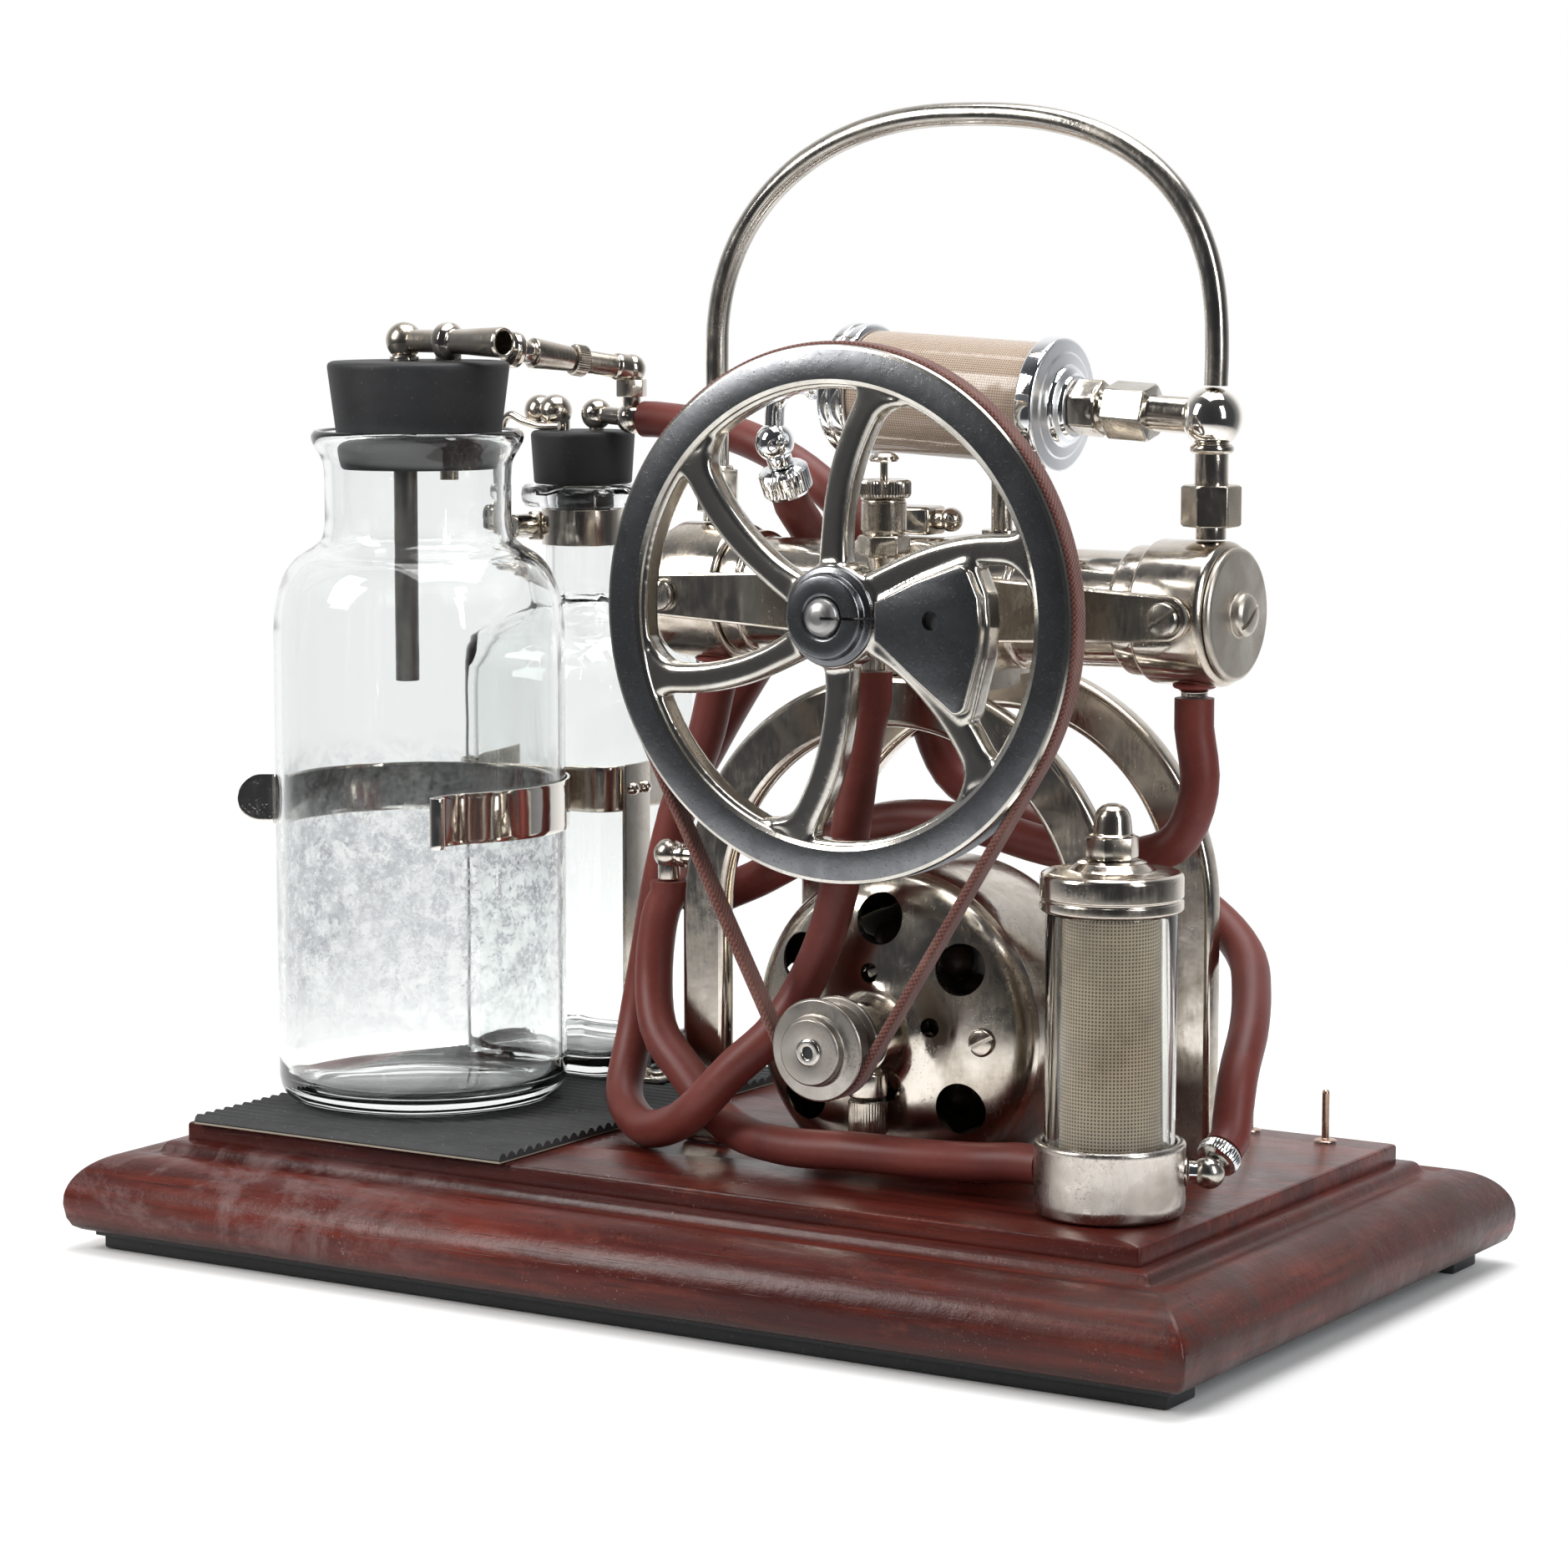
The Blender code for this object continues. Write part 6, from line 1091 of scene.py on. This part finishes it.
def spoke_outline(k):
    """A spoke seen from the front: a curved bar, spread where it meets the hub and the rim."""
    left, right = [], []
    for i in range(41):
        t = i / 40
        r = 8.0 + (72.6 - 8.0) * t
        a = math.radians(94.5 + 60.0 * k - 16.0 * (max(r - 9.0, 0) / 60.0) ** 1.35)
        a2 = math.radians(94.5 + 60.0 * k - 16.0 * (max(r - 8.0, 0) / 60.0) ** 1.35)
        c = Vector((px + r * math.cos(a), pz + r * math.sin(a)))
        c2 = Vector((px + (r + 1.0) * math.cos(a2), pz + (r + 1.0) * math.sin(a2)))
        d = (c2 - c).normalized()
        w = 4.3 + 1.6 * max(0.0, (0.30 - t) / 0.30) ** 1.5 + 0.5 * t + 6.5 * max(0.0, (t - 0.84) / 0.16) ** 2.2
        side = Vector((-d.y, d.x))
        left.append(tuple(c + side * w))
        right.append(tuple(c - side * w))
    return left + right[::-1]


inner_rim = turned([(WHEEL_IN - 0.9, wy - hw + 1.8), (WHEEL_IN + 1.6, wy - hw + 1.0), (WHEEL_IN + 5.0, wy), (WHEEL_IN + 1.6, wy + hw - 1.0), (WHEEL_IN - 0.9, wy + hw - 1.8)], (px, 0, pz), (0, 1, 0), steps=120, closed=True, soft=0)
core = turned([(0, -76.6), (13.0, -76.6), (16.0, -75.6), (16.2, -74.6), (16.2, -65.0), (14.0, -63.4), (0, -63.4)][::-1], (px, 0, pz), (0, 1, 0), steps=64, soft=0.6)
weight = [(px + 15.0, pz + 6.0), (px + 30.0, pz + 13.5), (px + 45.5, pz + 19.3)] + arc(px + 46.3, pz + 15.5, 4.0, 95, 25, 4) + [(px + 53.6, pz + 9.0), (px + 54.6, pz - 1.0), (px + 53.6, pz - 11.0), (px + 51.0, pz - 21.0)] + \
    arc(px + 45.6, pz - 26.8, 3.8, -20, -110, 5) + [(px + 30.0, pz - 19.5), (px + 15.0, pz - 7.0)]
slab = flat([weight], -75.0, -66.0, edge=1.2, parts=2)
web_parts = [inner_rim, core, slab] + [flat([spoke_outline(k)], wy - 4.4, wy + 4.4, edge=2.4, parts=3) for k in range(6)]
bm = bmesh.new()
for p in web_parts:
    m = baked(p)
    bm.from_mesh(m)
drop(*web_parts)
web_mesh = bpy.data.meshes.new("web")
bm.to_mesh(web_mesh)
bm.free()
web = bpy.data.objects.new("web", web_mesh)
SCENE.objects.link(web)
vox = web.modifiers.new("fuse", "REMESH")
vox.mode, vox.voxel_size, vox.adaptivity = "VOXEL", 0.7 * MM, 0.0
sm = web.modifiers.new("smooth", "SMOOTH")
sm.factor, sm.iterations = 0.5, (8)
web_done = bpy.data.objects.new("web_done", baked(web))
SCENE.objects.link(web_done)
drop(web)
finish(web_done, CAST, 180)
wc = (px + 38.0, pz - 2.0)
raised = [(wc[0] + (x - wc[0]) * 0.93 + 0.4, wc[1] + (z - wc[1]) * 0.90) for x, z in weight]
top_slab = flat([raised], -78.6, -73.4, CAST, edge=0.8, parts=2)
top_slab = cut(top_slab, cutter((px + 36.8, -82.0, pz + 0.4), (0, 1, 0), 2.9, 6.5, 32))
bpy.context.view_layer.update()
top_slab.data.materials.clear()
for m in (CAST, GROUND):
    top_slab.data.materials.append(m)
turn_back = top_slab.matrix_world.to_3x3()
for poly in top_slab.data.polygons:
    poly.material_index = 1 if (turn_back @ poly.normal).normalized().y < -0.97 else 0
hub_top = turned([(6.4, -74.6), (15.4, -74.6), (15.6, -76.2), (15.2, -76.9), (13.6, -77.3), (13.1, -77.8), (13.0, -80.2), (12.5, -80.7), (10.4, -81.0), (7.2, -81.0), (6.4, -80.4)][::-1], (px, 0, pz), (0, 1, 0), steps=64, closed=True, soft=0.3, mat=GROUND)
hub_top = cut(hub_top, box((px + 5.0, px + 17.5), (-90.0, -75.2), (pz - 0.5, pz + 0.4), bevel=0))
# painted shade: a black strip in the hub's slot and a black disc in the counterweight's hole stand for their dark
# insides
piece("flywheel", "flywheel", "steel", rim, web_done, top_slab, hub_top, box((px + 6.6, px + 15.2), (-75.6, -74.9), (pz - 0.45, pz + 0.35), BLACK, 0), rod((px + 36.8, -76.4, pz + 0.4), (0, 1, 0), 2.85, 0.6, mat=BLACK, soft=0))


# ==== belt ==========================================================================
def belt_loop(offset, n1=150, n2=40, n3=24):
    r1, r2 = WHEEL_GROOVE + offset, PULLEY_GROOVE + offset
    c1, c2 = Vector((PUMP_X, PUMP_Z)), Vector((MOTOR_X, MOTOR_Z))
    d = c1 - c2
    base_a = math.atan2(d.y, d.x)
    lean = math.acos((r2 - r1) / d.length)
    pts = [(c1.x + r1 * math.cos(base_a - lean + 2 * lean * i / n1), c1.y + r1 * math.sin(base_a - lean + 2 * lean * i / n1)) for i in range(n1 + 1)]
    low = [(c2.x + r2 * math.cos(base_a + lean + (2 * math.pi - 2 * lean) * i / n2), c2.y + r2 * math.sin(base_a + lean + (2 * math.pi - 2 * lean) * i / n2)) for i in range(n2 + 1)]
    for a, b in ((pts[-1], low[0]), (low[-1], pts[0])):
        mid = [(a[0] + (b[0] - a[0]) * k / n3, a[1] + (b[1] - a[1]) * k / n3) for k in range(1, n3)]
        if a is pts[-1]:
            pts = pts + mid
        else:
            low = low + mid
    return pts + low


inner, outer = belt_loop(GAP + 0.1), belt_loop(GAP + BELT_T + 0.1)
T0 = BELT_T
section = [(0.25 / T0, -BELT_W / 2 + 0.5), (0.0, -BELT_W / 2 + 0.9), (0.0, -1.5), (0.0, 1.5), (0.0, BELT_W / 2 - 0.9), (0.25 / T0, BELT_W / 2 - 0.5), (0.35, BELT_W / 2), (0.65, BELT_W / 2), (0.92, BELT_W / 2 - 0.4), (1.0, BELT_W / 2 - 0.9),
           (1.0, 1.5), (1.0, -1.5), (1.0, -BELT_W / 2 + 0.9), (0.92, -BELT_W / 2 + 0.4), (0.65, -BELT_W / 2), (0.35, -BELT_W / 2)]
verts, faces, uvs = [], [], []
n = len(section)
around = [0.0]
for (t_a, y_a), (t_b, y_b) in zip(section, section[1:] + section[:1]):
    around.append(around[-1] + math.hypot((t_b - t_a) * T0, y_b - y_a))
run = [0.0]
for a, b in zip(outer, outer[1:] + outer[:1]):
    run.append(run[-1] + math.hypot(b[0] - a[0], b[1] - a[1]))
for (xi, zi), (xo, zo) in zip(inner, outer):
    verts += [((xi + (xo - xi) * t) * MM, (BELT_Y + yy) * MM, (zi + (zo - zi) * t) * MM) for t, yy in section]
count = len(inner)
for i in range(count):
    j = (i + 1) % count
    for k in range(n):
        m = (k + 1) % n
        faces.append((i * n + k, j * n + k, j * n + m, i * n + m))
        u0, u1, v0, v1 = run[i] * MM, run[i + 1] * MM, around[k] * MM, around[k + 1] * MM
        uvs += [(u0, v0), (u1, v0), (u1, v1), (u0, v1)]
mesh = bpy.data.meshes.new("belt")
mesh.from_pydata(verts, [], faces)
layer = mesh.uv_layers.new(name="UVMap")
for i, uv in enumerate(uvs):
    layer.data[i].uv = uv
bm = bmesh.new()
bm.from_mesh(mesh)
bmesh.ops.recalc_face_normals(bm, faces=bm.faces)
bm.to_mesh(mesh)
bm.free()
belt = bpy.data.objects.new("belt", mesh)
SCENE.objects.link(belt)
piece("drive_belt", "base", "woven_belt", finish(belt, BELT, 60))

# ==== oil cup, clamp block ==========================================================
piece("oil_cup_body", "base", "nickel",
      turned([(4.6, 241.0), (4.6, 256.0), (6.4, 256.0), (6.9, 255.4), (6.9, 246.0), (6.4, 244.8), (6.4, 238.6), (5.6, 237.8), (4.6, 233.6), (4.6, 233.0), (0, 233.0), (0, 241.0)][::-1], (OIL_X, OIL_Y, 0), steps=40, soft=0.3),
      nut((OIL_X, OIL_Y, 238.6), (0, 0, 1), 16.8, 6.0, -60.0, bore=4.7), turned([(6.9, 254.9), (7.15, 254.6), (7.15, 246.4), (6.9, 246.1)], (OIL_X, OIL_Y, 0), closed=True, soft=0, wave=(246.8, 254.2, 46, 0.16, 7.05), smooth=20))
piece("oil_cup_cap", "oil_cap", "nickel",
      turned([(1.5, 261.9), (7.4, 261.9), (8.2, 261.5), (8.5, 260.9), (8.5, 259.2), (8.5, 257.5), (8.2, 256.8), (7.6, 256.3), (1.5, 256.3)], (OIL_X, OIL_Y, 0), closed=True, soft=0, wave=(257.2, 261.2, 52, 0.26, 8.4), smooth=20))
piece("oil_cup_plunger", "oil_plunger", "nickel",
      turned([(0, 270.6), (1.6, 270.5), (3.2, 270.0), (4.3, 269.1), (4.7, 268.2), (4.2, 267.5), (1.2, 267.2), (1.2, 247.0), (3.6, 246.6), (3.6, 245.2), (0, 245.2)], (OIL_X, OIL_Y, 0), steps=36, soft=0.2))
piece("top_clamp_block", "base", "nickel", box((46.0, 60.0), (-10.0, 2.0), (242.5, 251.5), bevel=1.4, segments=3), rod((59.0, -4.0, 247.4), (1, 0, 0), 3.4, 4.5), ball((65.0, -4.0, 247.4), 3.9))

# ==== upper filter ==================================================================
RISER = Vector((RISER_X, py, 281.6))
fdir = Vector((-math.cos(math.radians(3.0)), 0, math.sin(math.radians(3.0))))


def along(x):
    return (RISER.x - x) / math.cos(math.radians(3.0))


def cloth_tube(node, body, r_out, r_in, lo, hi, origin, axis, mat, wraps=0.0):
    """A cloth-covered tube with flat coordinates for its weave and a slightly uneven, wound surface."""
    steps, rows = facets(72), max(8, int((hi - lo) / 2.2))
    verts, faces, uvs = [], [], []
    prof = [(r_in, lo)] + [(None, lo + (hi - lo) * i / rows) for i in range(rows + 1)] + [(r_in, hi)]
    for r, h in prof:
        for k in range(steps):
            t = 2 * math.pi * k / steps
            rr = r if r is not None else r_out - 0.18 - wraps * (0.5 + 0.5 * math.sin(2 * math.pi * h / 9.0 + t + 0.6 * math.sin(3 * t + h * 0.2)))
            verts.append((rr * math.cos(t) * MM, rr * math.sin(t) * MM, h * MM))
    rings_n = len(prof)
    for i in range(rings_n):
        j = (i + 1) % rings_n
        for k in range(steps):
            m = (k + 1) % steps
            faces.append((i * steps + k, j * steps + k, j * steps + m, i * steps + m))
            u0, u1 = k * 2 * math.pi * r_out / steps * MM, (k + 1) * 2 * math.pi * r_out / steps * MM
            v0, v1 = prof[i][1] * MM, prof[j][1] * MM
            uvs += [(u0, v0), (u0, v1), (u1, v1), (u1, v0)]
    mesh = bpy.data.meshes.new(node)
    mesh.from_pydata(verts, [], faces)
    layer = mesh.uv_layers.new(name="UVMap")
    for i, uv in enumerate(uvs):
        layer.data[i].uv = uv
    bm = bmesh.new()
    bm.from_mesh(mesh)
    bmesh.ops.recalc_face_normals(bm, faces=bm.faces)
    bm.to_mesh(mesh)
    bm.free()
    obj = bpy.data.objects.new(node, mesh)
    SCENE.objects.link(obj)
    obj.matrix_world = frame_of(origin, axis)
    return piece(node, body, "gauze", finish(obj, mat, 50))


cloth_tube("filter_tube", "base", 19.4, 17.2, along(98.2), along(37.2), RISER, fdir, GAUZE, 0.06)
cap_steps = 72
cap = turned([(0, along(98.5)), (19.6, along(98.5)), (20.6, along(98.8)), (21.2, along(99.6)), (21.2, along(104.2)), (20.9, along(104.9)), (20.2, along(105.3)), (16.8, along(105.6)), (16.2, along(106.0)), (12.9, along(106.3)), (12.4, along(106.9)),
              (12.2, along(107.8)), (11.2, along(108.4)), (10.2, along(108.9)), (9.6, along(110.2)), (0, along(110.2))], RISER, fdir, steps=cap_steps, mat=CHROME, soft=0.3)
bpy.context.view_layer.update()
# the end face facing +X gets the brighter, bluer chrome: a painted highlight
cap.data.materials.append(FACED_CHROME_HIGHLIGHT)
turn_back = cap.matrix_world.to_3x3()
for poly in cap.data.polygons:
    if (turn_back @ poly.normal).x > 0.80:
        poly.material_index = 1
piece("filter_cap_right", "base", "chrome", cap)
piece("filter_cap_left", "base", "chrome",
      turned([(0, along(26.0)), (8.8, along(26.0)), (9.6, along(26.5)), (20.2, along(27.2)), (21.2, along(28.4)), (21.2, along(31.0)), (20.6, along(31.5)), (20.6, along(32.1)), (21.2, along(32.6)), (21.2, along(35.8)), (20.4, along(36.7)), (19.4, along(36.9)), (0, along(36.9))],
             RISER, fdir, steps=cap_steps, mat=CHROME, soft=0.35))
elbow_line = [RISER + fdir * along(v) for v in (22.0, 14.0, 8.0)]
elbow_pts = smooth_line([tuple(v) for v in elbow_line] + [(2.6, py, 287.6), (-0.6, py, 283.0), (-1.2, py, 277.0), (-1.3, py, 270.0)], 1.2)
piece("filter_elbow", "base", "chrome", pipe(elbow_pts, 3.2, CHROME), hexagon(RISER + fdir * along(19.0), fdir * -1.0, 17.0, 6.5, CHROME, 0.4), ball(BULGE, 6.4, CHROME), rod(BULGE, NUT_DIR, 4.2, 8.4, mat=CHROME),
      rod(RISER + fdir * along(12.6), fdir * -1.0, 4.6, 1.8, mat=CHROME))
piece("filter_hose_nut", "filter_nut", "chrome",
      turned([(0, 18.6), (6.9, 18.6), (7.8, 18.0), (8.3, 17.0), (8.3, 15.8), (8.3, 13.0), (8.3, 10.4), (7.4, 9.4), (5.5, 8.7), (0, 8.7)][::-1], BULGE, NUT_DIR, soft=0, wave=(10.3, 15.9, 46, 0.24, 8.2), mat=CHROME, smooth=20))
piece("riser_pipe", "base", "nickel", ball(RISER, 9.4, TOP_METAL), rod((RISER.x, py, 259.0), (0, 0, 1), 5.2, 20.0), turned([(0, 273.8), (5.8, 273.6), (6.8, 272.6), (6.8, 271.4), (5.8, 270.6), (0, 270.4)], (RISER.x, py, 0), steps=40),
      nut((RISER.x, py, 248.2), (0, 0, 1), 18.8, 12.8, -61.0), rod((RISER.x, py, 244.3), (0, 0, 1), 4.7, 5.0),
      turned([(0, along(110.6)), (6.8, along(110.6)), (6.8, along(112.0)), (8.2, along(118.6)), (5.6, along(121.4)), (5.6, along(122.6)), (6.2, along(123.0)), (6.2, along(136.0)), (5.6, along(136.4)), (5.6, along(152.0)), (0, along(152.0))][::-1], RISER, fdir, steps=40, soft=0.3),
      nut(RISER + fdir * along(110.8), fdir * -1.0, 18.2, 9.0, 22.0), nut(RISER + fdir * along(122.4), fdir * -1.0, 18.8, 14.2, -14.0, NICKEL_OLD))

# ==== handle ========================================================================
LEG_X = HANDLE_X - HANDLE_A


def bow_point(degrees):
    t = math.radians(degrees)
    c, k = math.cos(t), 2.0 / (2.15 if degrees < 90 else 2.53)
    return (HANDLE_X - math.copysign(abs(c) ** k, c) * HANDLE_A, py, HANDLE_Z + math.sin(t) ** k * HANDLE_B)


bow = [(LEG_X, py, 258.0), (LEG_X, py, 272.0), (LEG_X, py, 286.0)] + [bow_point(d) for d in [2, 5] + list(range(9, 172, 3)) + [175, 178]]
bow += [(HANDLE_X + HANDLE_A, py, HANDLE_Z - 2.0), (HANDLE_X + HANDLE_A - 0.2, py, RISER.z + 9.8)]
piece("handle", "base", "nickel", pipe(smooth_line(bow, 2.0), ROD_R, NICKEL_OLD, 8), hexagon((LEG_X, py, 247.5), (0, 0, 1), 15.0, 13.5, turn_by=0.5), rod((LEG_X, py, pz + HEAD_R + GAP), (0, 0, 1), 4.7, 6.0),
      turned([(0, 262.4), (4.6, 262.4), (5.2, 261.6), (5.2, 260.8), (0, 260.8)], (LEG_X, py, 0), steps=36))

# ==== filter jar ====================================================================
piece("jar_base", "base", "nickel",
      turned([(0, 52.0), (20.4, 52.0), (20.4, 64.6), (22.0, 64.8), (23.0, 64.2), (23.2, 63.0), (23.0, 61.6), (23.0, 50.0), (23.2, 46.0), (22.6, foot_z + 1.0), (21.2, foot_z), (0, foot_z)], (jx, jy, 0), steps=80, soft=0.8, mat=CUP),
      rod((jx - 28.5, jy, 54.0), (1, 0, 0), 3.6, 7.5), rod(JP + JSIDE * 21.5, JSIDE, 4.4, 2.0))
piece("jar_glass", "base", "glass", turned([(17.6, 134.6), (19.9, 134.6), (19.9, 52.4), (17.6, 52.4)], (jx, jy, 0), steps=80, closed=True, mat=JAR_GLASS, soft=0.6))
cloth_tube("jar_gauze", "base", 15.4, 14.2, 53.0, 133.0, (jx, jy, 0), (0, 0, 1), GAUZE_IN, 0.12)
piece("jar_cap", "base", "nickel",
      turned([(2.9, 150.3), (8.6, 150.3), (10.6, 149.7), (12.0, 148.4), (13.2, 147.4), (15.4, 147.1), (20.2, 146.9), (21.4, 146.2), (21.8, 145.2), (21.8, 139.4), (21.4, 139.0), (21.4, 138.4), (21.8, 138.0), (21.8, 135.6), (21.2, 134.9), (2.9, 134.9)], (jx, jy, 0),
             steps=80, closed=True, soft=0.3))
piece("jar_nut", "jar_nut", "nickel",
      turned([(0, 167.4), (1.6, 167.3), (3.2, 166.7), (4.5, 165.6), (5.3, 164.0), (5.7, 161.8), (6.0, 158.4), (7.0, 157.8), (7.0, 150.7), (2.5, 150.7), (2.5, 54.0), (0, 54.0)], (jx, jy, 0), steps=40, soft=0.2),
      hexagon((jx, jy, 150.8), (0, 0, 1), 16.6, 6.6, turn_by=0.2))
piece("jar_elbow", "base", "chrome",
      turned([(0, 9.6), (3.6, 9.6), (6.4, 8.9), (6.8, 8.2), (6.8, 7.4), (6.8, 5.8), (6.4, 4.9), (5.2, 4.2), (0, 4.2)][::-1], JBALL, JDIR, soft=0, wave=(5.7, 8.3, 42, 0.24, 6.7), mat=CHROME, smooth=20), ball(JBALL, 5.0, NICKEL_OLD), rod(JP + JSIDE * 24.0, JSIDE, 3.6, 6.0, mat=CHROME))
for name, (cx, cy) in (("contact_pin_left", (130.0, 83.5)), ("contact_pin_right", (158.9, 80.6))):
    piece(name, "base", "copper",
          turned([(0, 59.4), (0.7, 59.3), (1.1, 58.9), (1.25, 58.2), (1.25, PLAT_Z + 1.5), (1.8, PLAT_Z + 1.2), (3.4, PLAT_Z + 1.0), (3.8, PLAT_Z + 0.6), (3.8, PLAT_Z + GAP), (0, PLAT_Z + GAP)], (cx, cy, 0), steps=28, mat=COPPER, soft=0.1))

# ==== stage =========================================================================
ground = bpy.data.meshes.new("ground")
ground.from_pydata([(-6, -6, 0), (6, -6, 0), (6, 6, 0), (-6, 6, 0)], [], [(0, 1, 2, 3)])
ground_obj = bpy.data.objects.new("ground", ground)
SCENE.objects.link(ground_obj)
pn = Nodes("paper")
gx, gy, gz = pn.xyz()
away = pn.maths("SQRT", pn.maths("ADD", pn.maths("MULTIPLY", gx, gx), pn.maths("MULTIPLY", gy, gy)))
fade = pn.ramp(away, [(0.34, 1.0), (0.78, 0.0)])
paper = pn.set(colour=(0.93, 0.93, 0.93), rough=0.9, spec=0.1, alpha=fade)
ground_obj.data.materials.append(paper)
ground_obj.location = (0, 0, -0.0002)

world = bpy.data.worlds.new("studio")
bpy.context.scene.world = world
world.use_nodes = True
wt = world.node_tree
bg = wt.nodes["Background"]
coord = wt.nodes.new("ShaderNodeTexCoord")
sep = wt.nodes.new("ShaderNodeSeparateXYZ")
wt.links.new(coord.outputs["Generated"], sep.inputs[0])
dot = wt.nodes.new("ShaderNodeVectorMath")
dot.operation = "DOT_PRODUCT"
dot.inputs[1].default_value = (forward.x, forward.y, 0.0)
wt.links.new(coord.outputs["Generated"], dot.inputs[0])
ramp = wt.nodes.new("ShaderNodeValToRGB")
e = ramp.color_ramp.elements
e[0].position, e[0].color = 0.0, (0.035, 0.036, 0.040, 1)
e[1].position, e[1].color = 1.0, (1.0, 1.0, 1.0, 1)
m1 = e.new(0.45)
m1.color = (0.07, 0.072, 0.078, 1)
m2 = e.new(0.68)
m2.color = (0.30, 0.305, 0.315, 1)
m3 = e.new(0.90)
m3.color = (1.0, 1.0, 1.0, 1)
half_dot = wt.nodes.new("ShaderNodeMath")
half_dot.operation = "MULTIPLY_ADD"
half_dot.inputs[1].default_value, half_dot.inputs[2].default_value = 0.5, 0.5
wt.links.new(dot.outputs["Value"], half_dot.inputs[0])
wt.links.new(half_dot.outputs[0], ramp.inputs["Fac"])
seen = wt.nodes.new("ShaderNodeLightPath")
pick = wt.nodes.new("ShaderNodeMix")
pick.data_type = "RGBA"
pick.inputs[7].default_value = (1.0, 1.0, 1.0, 1.0)
wt.links.new(seen.outputs["Is Camera Ray"], pick.inputs[0])
wt.links.new(ramp.outputs["Color"], pick.inputs[6])
wt.links.new(pick.outputs[2], bg.inputs["Color"])
bg.inputs["Strength"].default_value = 1.0


def lamp(name, at, aim, size_x, size_y, power, colour=(1, 1, 1)):
    d = bpy.data.lights.new(name, "AREA")
    d.shape, d.size, d.size_y, d.energy, d.color = "RECTANGLE", size_x, size_y, power, colour
    o = bpy.data.objects.new(name, d)
    SCENE.objects.link(o)
    o.location = at
    o.rotation_euler = (Vector(aim) - Vector(at)).to_track_quat("-Z", "Y").to_euler()
    return o


lamp("key", (-0.85, -1.10, 1.05), (0, 0, 0.12), 0.50, 0.95, 22.0, (1.0, 0.985, 0.96))
lamp("fill", (1.45, -0.45, 0.80), (0, 0, 0.15), 0.30, 1.1, 13.0, (0.97, 0.985, 1.0))
lamp("top", (0.1, 0.15, 1.45), (0, 0, 0.1), 1.0, 1.0, 20.0)
scene = bpy.context.scene
scene.view_settings.view_transform = "Standard"
scene.view_settings.look = "None"
scene.view_settings.exposure = 0.0

print("HOSES", HOSE_LENGTHS)
